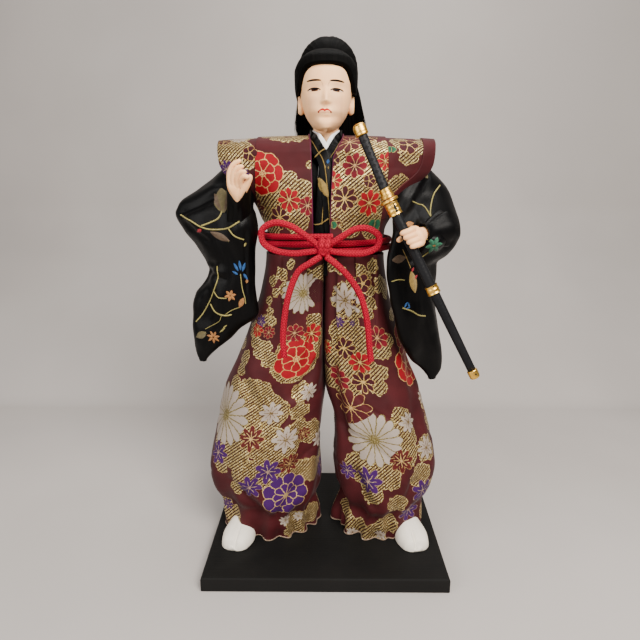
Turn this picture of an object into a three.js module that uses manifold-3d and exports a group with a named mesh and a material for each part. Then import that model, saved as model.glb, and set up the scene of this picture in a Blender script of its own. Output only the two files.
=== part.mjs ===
// A samurai doll about 12 inches tall on a painted board. It wears a brocade vest and trousers over a
// black satin kimono, with a red cord round the waist and a sword in its left fist.
// Millimetres, +Z up, facing -Y. The origin is the middle of the board's underside.
// Left and right are the doll's own: its right side is at -X.
import * as THREE from "three";
import { mergeVertices } from "three/addons/utils/BufferGeometryUtils.js";
import Module from "manifold-3d";

const wasm = await Module();
wasm.setup();

// Clearances
const seatGap = 0.35; // between two pieces that touch
const layerGap = 0.4; // between two layers of cloth

// Board
const boardWidth = 143;
const boardDepth = 115;
const boardThickness = 9;
const boardEdge = 0.8; // bevel along its edges

// Heights of the figure
const legHeight = 181; // board to the top of the trousers
const torsoHeight = 64; // top of the trousers to the shoulder seam
const chinRise = 2; // shoulder seam to the chin
const headHeight = 40; // chin to the top of the skull

// Stuffed body under the clothes
const torsoWidth = 57;
const torsoDepth = 38;
const torsoBelowWaist = 24;
const neckDiameter = 12.4;
const neckPegDiameter = 4;
const neckPegLength = 22;

// Cloth
const satinThickness = 1.2;
const collarThickness = 0.7;
const collarWidth = 7;
const vestThickness = 1.4;
const trouserThickness = 1.8;

// Vest
const vestSpan = 120.6; // across both shoulder wings
const wingDroop = 1.6;
const shoulderRound = 10;

// Trousers
const rightLegReach = 76.3; // from the middle to the widest point of the right trouser leg
const leftLegReach = 71.9;
const legFront = 31; // how far a leg bulges forward
const legBack = 33;
const hemWave = 0.04; // share of the leg that the gathered hem waves in and out
const pleatWave = 0.025; // share that the wide folds wave in and out, up to the waist

// Feet and wires
const footLength = 45;
const footWidth = 20;
const footHeight = 15;
const footSplay = 12; // degrees outwards
const stance = 50; // middle of the doll to the heel wire
const hipSpacing = 15;
const legWireDiameter = 3;
const legWireInBoard = 6;
const stuffingDiameter = 22;
const armWireDiameter = 2;

// Head and hair
const faceWidth = 30.4;
const faceDepth = 19; // neck axis to the forehead
const skullDepth = 18; // neck axis to the back of the head
const noseLength = 4.4;
const hairThickness = 2.6;
const crownRise = 11.7; // raised crown of hair above the skull
const hairLength = 74; // from the tie to the ends behind the back

// Waist cord
const cordDiameter = 3.5;
const knotWidth = 9.4;

// Sword and scabbard, along the scabbard's own line from the middle of the fist
const swordLean = 27.6; // degrees from upright, hilt towards the doll's face
const swordTilt = 4.2; // degrees that the scabbard's end comes forward
const hiltBend = 3.7; // degrees that the hilt stands steeper than the scabbard
const scabbardWidth = 5.2;
const scabbardDepth = 4.2;
const scabbardAbove = 20.3; // fist to the scabbard's mouth
const scabbardBelow = 75.4; // fist to the start of its tip
const mouthRingLength = 6.4;
const ringLength = 4.4;
const ringBelow = 28.2; // fist to the second ring
const tipLength = 5;
const ringWall = 0.55;
const bladeWidth = 3;
const bladeThickness = 1;
const bladeLength = 84;
const bladeTang = 5;
const guardWidth = 9;
const guardDepth = 7.6;
const guardThickness = 1.9;
const gripCollarLength = 5.4;
const gripLength = 27;
const gripWidth = 4.8;
const pommelLength = 6.6;
const pommelWidth = 5.8;

// Hands
const fistHeight = 12.6;
const fingerDiameter = 3;
const palmWidth = 10;

// Places worked out from the sizes above
const waistLevel = boardThickness + legHeight;
const shoulderLevel = waistLevel + torsoHeight;
const chinLevel = shoulderLevel + chinRise;
const skullLevel = chinLevel + headHeight;
const satinOffset = seatGap + satinThickness;
const underCollarOffset = satinOffset + layerGap;
const collarOffset = underCollarOffset + 2 * (collarThickness + layerGap);
const vestOffset = collarOffset + 2 * (collarThickness + layerGap) + vestThickness;
const cordOffset = vestOffset + seatGap + cordDiameter / 2;
const right = -1;
const left = 1;

const degrees = (angle) => THREE.MathUtils.degToRad(angle);
const point = (x, y, z) => new THREE.Vector3(x, y, z);

// A value that runs smoothly, without overshoot, through [place, value] pairs.
function through(...pairs) {
  const slope = (a, b) => (b[1] - a[1]) / (b[0] - a[0]);
  const tangents = pairs.map((pair, index) => {
    if (index === 0 || index === pairs.length - 1) return 0;
    const before = slope(pairs[index - 1], pair);
    const after = slope(pair, pairs[index + 1]);
    return before * after <= 0 ? 0 : (2 * before * after) / (before + after);
  });
  return (place) => {
    const inside = Math.min(Math.max(place, pairs[0][0]), pairs[pairs.length - 1][0]);
    const end = Math.max(1, pairs.findIndex(([at]) => at >= inside));
    const [from, start] = pairs[end - 1];
    const [to, finish] = pairs[end];
    const span = to - from;
    const t = (inside - from) / span;
    return (
      start * (1 + 2 * t) * (1 - t) ** 2 +
      tangents[end - 1] * span * t * (1 - t) ** 2 +
      finish * t * t * (3 - 2 * t) +
      tangents[end] * span * t * t * (t - 1)
    );
  };
}

const steps = (count) => Array.from({ length: count + 1 }, (_, index) => index / count);
const around = (sides) => Array.from({ length: sides }, (_, index) => (index / sides) * 2 * Math.PI);

// A geometry with its faces turned out.
function facingOut(points, faces) {
  const volume = faces.reduce((sum, face) => {
    const [a, b, c] = face.map((index) => points[index]);
    return sum + a.dot(b.clone().cross(c));
  }, 0);
  const order = volume < 0 ? faces.map(([a, b, c]) => [a, c, b]) : faces;
  const geometry = new THREE.BufferGeometry().setFromPoints(points);
  geometry.setIndex(order.flat());
  geometry.computeVertexNormals();
  return geometry;
}

const ends = { fan: 0, wrap: 1, zip: 2 };

// A closed surface over stacked rings. Its ends are closed by fans, wrap round to each other, or are
// zipped across where each ring is a thin strip that goes out and comes back.
function skin(rings, closing = ends.fan) {
  const sides = rings[0].length;
  const points = rings.flat();
  const faces = [];
  const bands = closing === ends.wrap ? rings.length : rings.length - 1;
  for (let band = 0; band < bands; band++)
    for (let side = 0; side < sides; side++) {
      const next = (side + 1) % sides;
      const above = ((band + 1) % rings.length) * sides;
      faces.push([band * sides + side, band * sides + next, above + next]);
      faces.push([band * sides + side, above + next, above + side]);
    }
  const last = (rings.length - 1) * sides;
  if (closing === ends.fan)
    for (const [start, turned] of [[0, true], [last, false]]) {
      const middle = points.length;
      const sum = point(0, 0, 0);
      for (let side = 0; side < sides; side++) sum.add(points[start + side]);
      points.push(sum.divideScalar(sides));
      for (let side = 0; side < sides; side++) {
        const pair = [start + side, start + ((side + 1) % sides)];
        faces.push(turned ? [middle, pair[1], pair[0]] : [middle, pair[0], pair[1]]);
      }
    }
  if (closing === ends.zip)
    for (const [start, turned] of [[0, true], [last, false]])
      for (let side = 0; side < sides / 2 - 1; side++) {
        const far = sides - 1 - side;
        const corners = [side, side + 1, far - 1, far].map((index) => start + index);
        if (turned) corners.reverse();
        faces.push([corners[0], corners[1], corners[2]], [corners[0], corners[2], corners[3]]);
      }
  return facingOut(points, faces);
}

// Manifold solids for the cuts and joins.
function solidOf(geometry) {
  const bare = geometry.clone();
  bare.deleteAttribute("normal");
  bare.deleteAttribute("uv");
  const merged = mergeVertices(bare, 1e-4);
  const vertProperties = new Float32Array(merged.attributes.position.array);
  const triVerts = new Uint32Array(merged.index.array);
  const solid = new wasm.Manifold(new wasm.Mesh({ numProp: 3, vertProperties, triVerts }));
  if (solid.volume() >= 0) return solid;
  for (let face = 0; face < triVerts.length; face += 3) {
    const second = triVerts[face + 1];
    triVerts[face + 1] = triVerts[face + 2];
    triVerts[face + 2] = second;
  }
  return new wasm.Manifold(new wasm.Mesh({ numProp: 3, vertProperties, triVerts }));
}

function geometryOf(solid) {
  const mesh = solid.getMesh();
  const geometry = new THREE.BufferGeometry();
  geometry.setAttribute("position", new THREE.BufferAttribute(mesh.vertProperties, 3));
  geometry.setIndex(new THREE.BufferAttribute(mesh.triVerts, 1));
  geometry.computeVertexNormals();
  return geometry;
}

const cut = (geometry, ...tools) =>
  geometryOf(tools.reduce((solid, tool) => solid.subtract(solidOf(tool)), solidOf(geometry)));
const join = (...parts) =>
  geometryOf(parts.slice(1).reduce((solid, part) => solid.add(solidOf(part)), solidOf(parts[0])));

// A slab of one thickness under a surface given over 0 to 1 each way, with a margin on all its sides.
function panel(surface, across, along, thickness, margin = 0) {
  const small = 1e-3;
  const away = (u, v) => {
    const du = surface(Math.min(u + small, 1), v).sub(surface(Math.max(u - small, 0), v));
    const dv = surface(u, Math.min(v + small, 1)).sub(surface(u, Math.max(v - small, 0)));
    return du.cross(dv).normalize();
  };
  const rings = steps(along).map((v) => {
    const outer = steps(across).map((u) => surface(u, v).addScaledVector(away(u, v), margin));
    const inner = steps(across).map((u) => surface(u, v).addScaledVector(away(u, v), -thickness - margin));
    return [...outer, ...inner.reverse()];
  });
  return skin(rings, ends.zip);
}

// A limb along a smooth curve, with oval sections whose half widths are given along it.
function limb(points, halfWidths, sides, count) {
  const curve = new THREE.CatmullRomCurve3(points);
  const frames = curve.computeFrenetFrames(count, false);
  const rings = steps(count).map((t, index) => {
    const [across, deep] = halfWidths(t);
    return around(sides).map((angle) =>
      curve
        .getPointAt(t)
        .addScaledVector(frames.normals[index], across * Math.cos(angle))
        .addScaledVector(frames.binormals[index], deep * Math.sin(angle)),
    );
  });
  return skin(rings);
}

// A round cord along a smooth curve.
function cordAlong(points, diameter, count, sides = 8) {
  const section = new THREE.Shape(
    around(sides).map((angle) =>
      new THREE.Vector2((diameter / 2) * Math.cos(angle), (diameter / 2) * Math.sin(angle)),
    ),
  );
  const extrudePath = new THREE.CatmullRomCurve3(points);
  return new THREE.ExtrudeGeometry(section, { steps: count, extrudePath, bevelEnabled: false });
}

// A straight round bar between two points.
function bar(from, to, diameter, sides = 10) {
  const along = to.clone().sub(from);
  const geometry = new THREE.CylinderGeometry(diameter / 2, diameter / 2, along.length(), sides);
  geometry.applyQuaternion(
    new THREE.Quaternion().setFromUnitVectors(point(0, 1, 0), along.clone().normalize()),
  );
  const middle = from.clone().add(to).divideScalar(2);
  return geometry.translate(middle.x, middle.y, middle.z);
}

// An oval solid of stacked sections: each is [height, half width, half depth].
function ovalStack(sections, sides = 14) {
  return skin(
    sections.map(([height, width, depth]) =>
      around(sides).map((angle) => point(width * Math.cos(angle), depth * Math.sin(angle), height)),
    ),
  );
}

// An oval sleeve of one wall between two heights.
function ovalSleeve(bottom, top, width, depth, wall, sides = 14) {
  const ring = (height, more) =>
    around(sides).map((angle) =>
      point((width + more) * Math.cos(angle), (depth + more) * Math.sin(angle), height),
    );
  const edge = wall / 3;
  return skin(
    [
      ring(bottom, 0),
      ring(bottom, wall - edge),
      ring(bottom + edge, wall),
      ring(top - edge, wall),
      ring(top, wall - edge),
      ring(top, 0),
    ],
    ends.wrap,
  );
}

function ellipsoid(middle, radii, sides = 12, rows = 8) {
  const ball = new THREE.SphereGeometry(1, sides, rows);
  return ball.scale(radii.x, radii.y, radii.z).translate(middle.x, middle.y, middle.z);
}

// Finishes
const finish = (color, roughness, metalness = 0) =>
  new THREE.MeshStandardMaterial({ color, roughness, metalness });
const finishes = {
  boardPaint: finish(0x161614, 0.6),
  brocade: finish(0x6b2b33, 0.7),
  blackSatin: finish(0x0b0b0d, 0.45),
  whiteSatin: finish(0xe9e6e0, 0.5),
  redCord: finish(0xd3122b, 0.8),
  skin: finish(0xe8c4a6, 0.5),
  face: finish(0xf0d9c0, 0.4),
  hair: finish(0x0a0a0a, 0.35),
  sock: finish(0xf2f0e8, 0.55),
  stuffing: finish(0xd8cdb8, 0.95),
  wire: finish(0x8d8f92, 0.4, 1),
  peg: finish(0xc59a63, 0.7),
  gold: finish(0xd9a73a, 0.3, 1),
  grip: finish(0x1c1d22, 0.7),
  lacquer: finish(0x2b2b2f, 0.5),
  steel: finish(0xc9ccd1, 0.2, 1),
};

const doll = new THREE.Group();
function add(name, geometry, material, group = doll) {
  const mesh = new THREE.Mesh(geometry, material);
  mesh.name = name;
  group.add(mesh);
  return mesh;
}

// Stuffed body: shares of its width and depth from below the waist (-0.4) to the shoulder (1).
const torsoWidthShare = through([-0.4, 0.97], [0, 1], [0.45, 1.05], [0.72, 1.16], [0.86, 0.98], [0.96, 0.46]);
const torsoDepthShare = through([-0.4, 1.05], [0, 1], [0.5, 1], [0.72, 0.92], [0.86, 0.72], [0.96, 0.5]);

function torsoHalves(level, offset) {
  const share = (level - waistLevel) / torsoHeight;
  return [
    (torsoWidth / 2) * torsoWidthShare(share) + offset,
    (torsoDepth / 2) * torsoDepthShare(share) + offset,
  ];
}

function torsoLoft(lowest, highest, offset, count, sides, more = 0) {
  return ovalStack(
    steps(count).map((t) => {
      const level = lowest + (highest - lowest) * t;
      return [level + more * (2 * t - 1), ...torsoHalves(level, offset + more)];
    }),
    sides,
  );
}

// A point in front of the chest, at a sideways place and a level.
function chestPoint(x, level, offset) {
  const [width, depth] = torsoHalves(level, offset);
  return point(x, -depth * Math.sqrt(Math.max(0, 1 - (x / width) ** 2)), level);
}

const coreBottom = waistLevel - torsoBelowWaist;
const coreTop = shoulderLevel - 6.4;
const neckBottom = coreTop + seatGap;
const kimonoTop = shoulderLevel - 4;
const core = (more) => torsoLoft(coreBottom, coreTop, 0, 8, 16, more);
const kimono = (more) => torsoLoft(waistLevel - torsoBelowWaist / 2, kimonoTop, satinOffset, 7, 16, more);
const neckPegBottom = coreTop - neckPegLength / 2;
const neckPegTop = neckPegBottom + neckPegLength;
const upright = (diameter, bottom, top, sides = 16) =>
  bar(point(0, 0, bottom), point(0, 0, top), diameter, sides);

// Wires: straight through each leg, bent at the elbow in each arm
function legWire(side, more = 0) {
  return bar(
    point(side * stance, 0, boardThickness - legWireInBoard - more),
    point(side * hipSpacing, 0, coreBottom + torsoBelowWaist / 3 + more),
    legWireDiameter + 2 * more,
  );
}

const fistCentre = point(torsoWidth / 2 + 12.8, -torsoDepth / 2 - 27.5, waistLevel + 10.1);
const rightWrist = point(-torsoWidth / 2 - 17.5, -torsoDepth / 2 - 8, waistLevel + 24);
const leftWrist = fistCentre.clone().add(point(9.5, 9.5, -0.5));
const elbows = {
  [right]: point(-torsoWidth / 2 - 46, -6, waistLevel + 21),
  [left]: point(torsoWidth / 2 + 38, -10, waistLevel + 12.5),
};

function armWire(side, more = 0) {
  const wrist = side === right ? rightWrist : leftWrist;
  const shoulder = point((side * torsoWidth) / 3, 0, shoulderLevel - 17);
  const path = [
    shoulder,
    point((side * torsoWidth) / 2 + side * 14, -1, shoulderLevel - 21),
    elbows[side],
    wrist,
  ];
  const curve = new THREE.CatmullRomCurve3(path);
  const count = 8;
  const stretched = steps(count).map((t) => curve.getPointAt(t));
  stretched[0].addScaledVector(curve.getTangentAt(0), -more);
  stretched[count].addScaledVector(curve.getTangentAt(1), more);
  return cordAlong(stretched, armWireDiameter + 2 * more, count + 2, 6);
}

// Feet in split-toed socks: lofted from heel to toe, flat underneath, with a groove beside the big toe
function foot(side, more = 0) {
  const outline = through([0, 0.5], [0.1, 0.76], [0.45, 0.8], [0.75, 1], [0.92, 0.82], [1, 0.42]);
  const height = through([0, 0.75], [0.15, 1], [0.4, 1], [0.62, 0.8], [0.85, 0.6], [0.96, 0.42], [1, 0.24]);
  const turn = degrees(side * footSplay);
  const rings = steps(11).map((t) => {
    const halfWidth = (footWidth / 2) * outline(t) + more;
    const tall = footHeight * height(t) + more;
    const groove = t > 0.7 ? 1.1 * Math.sin(Math.min(1, (t - 0.7) / 0.2) * (Math.PI / 2)) : 0;
    return around(12).map((angle) => {
      const across = halfWidth * Math.sign(Math.cos(angle)) * Math.abs(Math.cos(angle)) ** 0.75;
      const lift = Math.sin(angle) > 0 ? tall * Math.sin(angle) ** 0.8 : 0;
      const dip = Math.abs(angle - Math.PI / 2) < 0.1 ? groove : 0;
      const forward = footLength * t - footLength * 0.22 + (t - 0.5) * 2 * more;
      return point(
        side * stance + across * Math.cos(turn) + forward * Math.sin(turn),
        across * Math.sin(turn) - forward * Math.cos(turn),
        boardThickness + seatGap - more + lift - dip,
      );
    });
  });
  return skin(rings);
}

// Trouser legs: shares of the outer reach, and distances, from the hem (0) to the waist (1)
const legOuter = through(
  [0, 0.875], [0.06, 0.9], [0.14, 0.96], [0.25, 1], [0.37, 0.945], [0.49, 0.86], [0.62, 0.735],
  [0.74, 0.625], [0.88, 0.51], [1, 0.462],
);
const legDeep = through([0, 0.72], [0.06, 0.84], [0.14, 0.97], [0.25, 1], [0.5, 0.84], [0.75, 0.74], [1, 0.8]);
const legInner = {
  [right]: through([0, 6], [0.06, 4.4], [0.25, 1.7], [0.5, 0.3], [1, seatGap / 2]),
  [left]: through([0, 9], [0.12, 7.6], [0.25, 5.2], [0.5, 3.4], [0.68, 0.4], [1, seatGap / 2]),
};
const innerSquareness = through([0, 2], [0.55, 2.4], [0.72, 5], [1, 7]);

function trouserLeg(side, inset, sides, count, lowest = 0, highest = 1) {
  const reach = side === right ? rightLegReach : leftLegReach;
  const rings = steps(count).map((step) => {
    const t = lowest + (highest - lowest) * step;
    const outer = reach * legOuter(t) - inset;
    const inner = legInner[side](t) + inset;
    const front = legFront * legDeep(t) - inset;
    const back = legBack * legDeep(t) - inset;
    const middle = (outer + inner) / 2;
    const half = (outer - inner) / 2;
    const gather = hemWave * (1 - t) ** 2;
    const pleat = pleatWave * (1 - t);
    return around(sides).map((angle) => {
      const c = Math.cos(angle);
      const s = Math.sin(angle);
      const power = c < 0 ? 2 / innerSquareness(t) : 1;
      const hollows = inset > 0
        ? 2 * (gather + pleat)
        : gather * (1 + Math.cos(9 * angle + 5 * t)) + pleat * (1 + Math.cos(5 * angle - 7 * t));
      const wave = 1 - hollows;
      const x = middle + half * wave * Math.sign(c) * Math.abs(c) ** power;
      const y = (s < 0 ? front : back) * wave * Math.sign(s) * Math.abs(s) ** power;
      return point(side * x, y, boardThickness + seatGap + (legHeight - 2 * seatGap) * t);
    });
  });
  return skin(rings);
}

// Sleeves: outer and inner edges and depth from the shoulder (0) to the bottom corner (1)
const sleeves = {
  [right]: {
    top: shoulderLevel - 11,
    drop: 118,
    outer: through([0, 50], [0.06, 59], [0.15, 72], [0.26, 86.4], [0.34, 82], [0.42, 75], [0.52, 69.5],
      [0.62, 74], [0.72, 78.4], [0.9, 79.4], [1, 77.6]),
    inner: through([0, 36], [0.15, 39.6], [0.3, 40.7], [0.6, 39.4], [0.72, 39.2], [0.8, 46], [0.9, 60],
      [1, 71]),
    outerForward: through([0, 0], [0.27, 6], [1, 10]),
    innerForward: through([0, 1], [0.27, 17], [0.6, 19], [1, 12]),
    depth: through([0, 8], [0.1, 10], [0.28, 12.5], [0.5, 10], [0.8, 8], [1, 3]),
  },
  [left]: {
    top: shoulderLevel - 12,
    drop: 128,
    outer: through([0, 50], [0.03, 58], [0.17, 72], [0.32, 76.4], [0.4, 70], [0.45, 63.4], [0.6, 64.4],
      [0.75, 66.4], [0.86, 69.4], [0.95, 70.4], [1, 68.4]),
    inner: through([0, 36], [0.15, 37], [0.3, 35], [0.42, 32.5], [0.7, 39.2], [0.89, 51.2], [1, 61.5]),
    outerForward: through([0, 0], [0.32, 12], [0.6, 14], [1, 10]),
    innerForward: through([0, 1], [0.15, 9], [0.32, 33], [0.6, 32], [0.8, 24], [1, 12]),
    depth: through([0, 8], [0.15, 9.5], [0.32, 9], [0.5, 7], [0.8, 6], [1, 3]),
  },
};

function sleeve(side, sides, count) {
  const shape = sleeves[side];
  const rings = steps(count).map((t) => {
    const outer = shape.outer(t);
    const inner = shape.inner(t);
    const middle = (outer + inner) / 2;
    const half = (outer - inner) / 2;
    return around(sides).map((angle) => {
      const c = Math.sign(Math.cos(angle)) * Math.abs(Math.cos(angle)) ** 0.85;
      const s = Math.sign(Math.sin(angle)) * Math.abs(Math.sin(angle)) ** 0.9;
      const share = (c + 1) / 2;
      const forward = shape.innerForward(t) * (1 - share) + shape.outerForward(t) * share;
      const fold = 1 + 0.14 * Math.cos(2.5 * Math.PI * share + 4 * t) * Math.sin(Math.PI * t);
      const depth = shape.depth(t) * fold;
      return point(side * (middle + half * c), depth * s - forward, shape.top - shape.drop * t);
    });
  });
  return skin(rings);
}

// Vest: outer edge as a share of half the span, from the waist (0) to the shoulder seam (1)
const vestBottom = waistLevel + seatGap;
const vestOuter = through(
  [0, 0.55], [0.2, 0.565], [0.3, 0.61], [0.42, 0.66], [0.55, 0.77], [0.72, 0.955], [0.8, 0.985], [1, 1],
);
const vestInner = {
  [right]: through([0, 7.2], [0.9, 8.3], [1, 9.6]),
  [left]: through([0, 2.4], [0.78, 3.9], [1, 9.6]),
};
const neckOpening = 9.6;
const vestFullness = through([0, 1.025], [0.2, 1.03], [0.6, 1.12], [1, 1.12]); // the vest's curve over its edge

function vestPoint(x, rise, edge, facing) {
  const droop = wingDroop * (x / (vestSpan / 2)) ** 2;
  const dip = facing > 0 && Math.abs(x) < neckOpening ? 5 * (1 - (x / neckOpening) ** 2) : 0;
  const level = vestBottom + (shoulderLevel - droop - dip - vestBottom) * rise;
  const rounding = Math.max(0, (level + droop - (shoulderLevel - shoulderRound)) / shoulderRound);
  const [, chest] = torsoHalves(Math.min(level, shoulderLevel - 0.28 * torsoHeight), vestOffset);
  const depth = chest * Math.sqrt(Math.max(0, 1 - rounding ** 2));
  const reach = edge * vestFullness(rise);
  return point(x, facing * (seatGap / 2 + depth * Math.sqrt(1 - (x / reach) ** 2)), level);
}

const denserAbove = (v) => 1 - (1 - v) ** 1.7;

function vestFront(side, margin = 0) {
  const surface = (u, v) => {
    const rise = denserAbove(v);
    const edge = (vestSpan / 2) * vestOuter(rise);
    const share = side === left ? u : 1 - u;
    const inner = vestInner[side](rise);
    const x = side * (inner - margin + (edge - inner + 2 * margin) * share);
    return vestPoint(x, rise, edge + margin, -1);
  };
  return panel(surface, 8, 9, vestThickness, margin);
}

function vestBack(margin = 0) {
  const surface = (u, v) => {
    const rise = denserAbove(v);
    const edge = (vestSpan / 2) * vestOuter(rise);
    return vestPoint((1 - 2 * u) * (edge + margin), rise, edge + margin, 1);
  };
  return panel(surface, 14, 9, vestThickness, margin);
}

// Collar bands: flat strips from one side of the chest round the neck to the other side
function collarBand({ ring, offset, cross, end, width }) {
  const half = (side, level) => {
    const shift = side === right ? offset + collarThickness + layerGap : offset;
    return [
      chestPoint(-side * end.x, end.level, shift),
      chestPoint(0, cross, shift),
      chestPoint(side * ring * 0.52, (cross + level) / 2 + 1.2, shift),
    ];
  };
  const neckLevel = kimonoTop + width / 2 + 2 * layerGap;
  const rightHalf = half(right, neckLevel);
  const leftHalf = half(left, neckLevel).reverse();
  const path = new THREE.CatmullRomCurve3([
    ...rightHalf,
    point(-ring, -ring * 0.25, neckLevel - 0.4),
    point(-ring * 0.72, ring * 0.75, neckLevel),
    point(0, ring * 1.08, neckLevel),
    point(ring * 0.72, ring * 0.75, neckLevel),
    point(ring, -ring * 0.25, neckLevel - 0.4),
    ...leftHalf,
  ]);
  const surface = (u, v) => {
    const at = path.getPointAt(v);
    const along = path.getTangentAt(v);
    const out = point(at.x, at.y * 1.25, at.y < -ring * 0.6 ? 3 : 0).normalize();
    const across = out.clone().cross(along).normalize();
    const place = at.addScaledVector(across, (0.5 - u) * width);
    const inFront = THREE.MathUtils.smoothstep(-place.y, ring * 0.6, ring * 1.5);
    const shift = THREE.MathUtils.lerp(
      offset + collarThickness + layerGap, offset, THREE.MathUtils.smoothstep(v, 0.3, 0.7));
    const onChest = chestPoint(place.x, Math.min(place.z, kimonoTop - 2), shift + collarThickness);
    place.y = THREE.MathUtils.lerp(place.y, Math.min(place.y, onChest.y), inFront);
    return place;
  };
  return panel(surface, 2, 28, collarThickness);
}

// Head: a face and skull about the neck's axis, from the chin (0) to the top (1)
const headHalf = through(
  [0, 0.16], [0.03, 0.44], [0.1, 0.65], [0.2, 0.82], [0.32, 0.92], [0.45, 0.965], [0.6, 1],
  [0.74, 0.98], [0.85, 0.86], [0.93, 0.6], [0.98, 0.3], [1, 0.08],
);
const faceShare = through(
  [0, 0.74], [0.03, 0.88], [0.09, 0.93], [0.16, 0.9], [0.24, 0.965], [0.31, 0.95], [0.41, 0.97],
  [0.52, 0.935], [0.61, 0.985], [0.72, 1], [0.84, 0.93], [0.92, 0.74], [0.97, 0.42], [1, 0.1],
);
const skullShare = through(
  [0, 0.2], [0.09, 0.36], [0.23, 0.6], [0.4, 0.86], [0.58, 1], [0.75, 1], [0.87, 0.82], [0.96, 0.48], [1, 0.1],
);
const bump = (value, centre, spread) => Math.exp(-(((value - centre) / spread) ** 2));

function headShape(offset, sides, count, featured) {
  const rings = steps(count).map((t) => {
    const halfWidth = (faceWidth / 2) * headHalf(t) + offset;
    return around(sides).map((angle) => {
      const c = Math.cos(angle);
      const s = Math.sin(angle);
      const forward = s < 0;
      const depth = (forward ? faceDepth * faceShare(t) : skullDepth * skullShare(t)) + offset;
      const power = forward ? 0.86 : 0.95;
      const x = halfWidth * Math.sign(c) * Math.abs(c) ** power;
      let y = depth * s;
      if (featured && forward) {
        const aside = x / (faceWidth / 2);
        const noseRidge = bump(aside, 0, 0.13) * (t < 0.33 ? bump(t, 0.33, 0.04) : bump(t, 0.33, 0.16));
        const nostrils = bump(Math.abs(aside), 0.13, 0.08) * bump(t, 0.313, 0.034) * 0.35;
        const sockets = bump(Math.abs(aside), 0.42, 0.2) * bump(t, 0.506, 0.057) * 0.2;
        const lips = bump(aside, 0, 0.2) * bump(t, 0.222, 0.025) * 0.2;
        y -= noseLength * (noseRidge + nostrils + lips - sockets);
      }
      const stretch = (t - 0.5) * 2 * offset;
      return point(x, y, chinLevel + headHeight * t + stretch);
    });
  });
  return skin(rings);
}

const earLevel = chinLevel + headHeight * 0.39;
const ears = (more = 0) =>
  [right, left].map((side) =>
    ellipsoid(
      point(side * (faceWidth / 2 + 0.5), 2.6, earLevel),
      point(1.8 + more, 3.6 + more, 5.6 + more),
      8,
      6,
    ),
  );

// Hair cap: a shell on the skull, open over the face and below the ears
function hairCap() {
  const outer = headShape(hairThickness, 18, 10, false);
  const inner = headShape(seatGap, 26, 20, false);
  const hairline = chinLevel + headHeight * 0.8;
  const templeLevel = chinLevel + headHeight * 0.56;
  const opening = new THREE.Shape();
  opening.moveTo(-faceWidth * 0.455, chinLevel - 10);
  opening.lineTo(-faceWidth * 0.475, templeLevel);
  opening.quadraticCurveTo(-faceWidth * 0.44, hairline - 1.4, -faceWidth * 0.33, hairline - 0.3);
  opening.quadraticCurveTo(0, hairline + 1.6, faceWidth * 0.33, hairline - 0.3);
  opening.quadraticCurveTo(faceWidth * 0.44, hairline - 1.4, faceWidth * 0.475, templeLevel);
  opening.lineTo(faceWidth * 0.455, chinLevel - 10);
  const face = new THREE.ExtrudeGeometry(opening, { depth: 60, bevelEnabled: false, curveSegments: 8 });
  face.rotateX(Math.PI / 2);
  const below = new THREE.BoxGeometry(80, 80, 40);
  below.translate(0, 0, chinLevel + headHeight * 0.23 - 20);
  const beside = new THREE.BoxGeometry(80, 40, 40);
  beside.translate(0, -20 + 5.5, earLevel + 4.4 - 20);
  return cut(outer, inner, face, below, beside, ...ears(seatGap));
}

const crownDrop = 5.6; // top of the skull down to the middle of the crown
const crownMiddle = point(2, 7, skullLevel - crownDrop);
const crownRadii = (more) => point(16.5 + more, 14 + more, crownRise + crownDrop + more);
const capOuter = () => headShape(hairThickness + seatGap, 18, 10, false);

// Long hair: sections down a curve behind the head, narrow at the tie and at the ends
const hairRoot = point(3, skullDepth + 3.5, skullLevel + 1.5);
const hairPath = [
  hairRoot,
  point(4, skullDepth + 8.5, hairRoot.z - 6),
  point(4.5, skullDepth + 10.5, hairRoot.z - 0.31 * hairLength),
  point(4, skullDepth + 16.5, hairRoot.z - 0.66 * hairLength),
  point(3, skullDepth + 18, hairRoot.z - 0.94 * hairLength),
];
const hairSpread = through([0, 5.4], [0.12, 11], [0.3, 19], [0.5, 21.5], [0.62, 18], [0.82, 12], [1, 4]);
const hairDepth = through([0, 4.6], [0.2, 5], [0.5, 4.6], [0.8, 3.4], [1, 1.2]);

function longHair() {
  const curve = new THREE.CatmullRomCurve3(hairPath);
  const rings = steps(13).map((t) => {
    const at = curve.getPointAt(t);
    const along = curve.getTangentAt(t);
    const out = point(1, 0, 0).cross(along).normalize();
    return around(14).map((angle) =>
      at
        .clone()
        .add(point(hairSpread(t) * Math.cos(angle), 0, 0))
        .addScaledVector(out, hairDepth(t) * Math.sin(angle)),
    );
  });
  return skin(rings);
}

function hairTie() {
  const curve = new THREE.CatmullRomCurve3(hairPath);
  const at = curve.getPointAt(0.05);
  const along = curve.getTangentAt(0.05);
  const up = point(1, 0, 0).cross(along).normalize();
  const thick = 1;
  const width = hairSpread(0.06) + seatGap + thick;
  const depth = hairDepth(0.06) + seatGap + thick;
  const rings = around(18).map((angle) => {
    const middle = at
      .clone()
      .add(point(width * Math.cos(angle), 0, 0))
      .addScaledVector(up, depth * Math.sin(angle));
    const out = point(Math.cos(angle), 0, 0).addScaledVector(up, Math.sin(angle)).normalize();
    return around(6).map((turn) =>
      middle
        .clone()
        .addScaledVector(out, thick * Math.cos(turn))
        .addScaledVector(along, thick * Math.sin(turn)),
    );
  });
  return skin(rings, ends.wrap);
}

// Waist cord: two turns from behind the knot, the knot, two bow loops and two tails
const cordPitch = cordDiameter + 0.5;
const knotMiddle = point(-1.3, -torsoDepth / 2 - cordOffset - cordDiameter - 2, waistLevel + 5);

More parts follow.
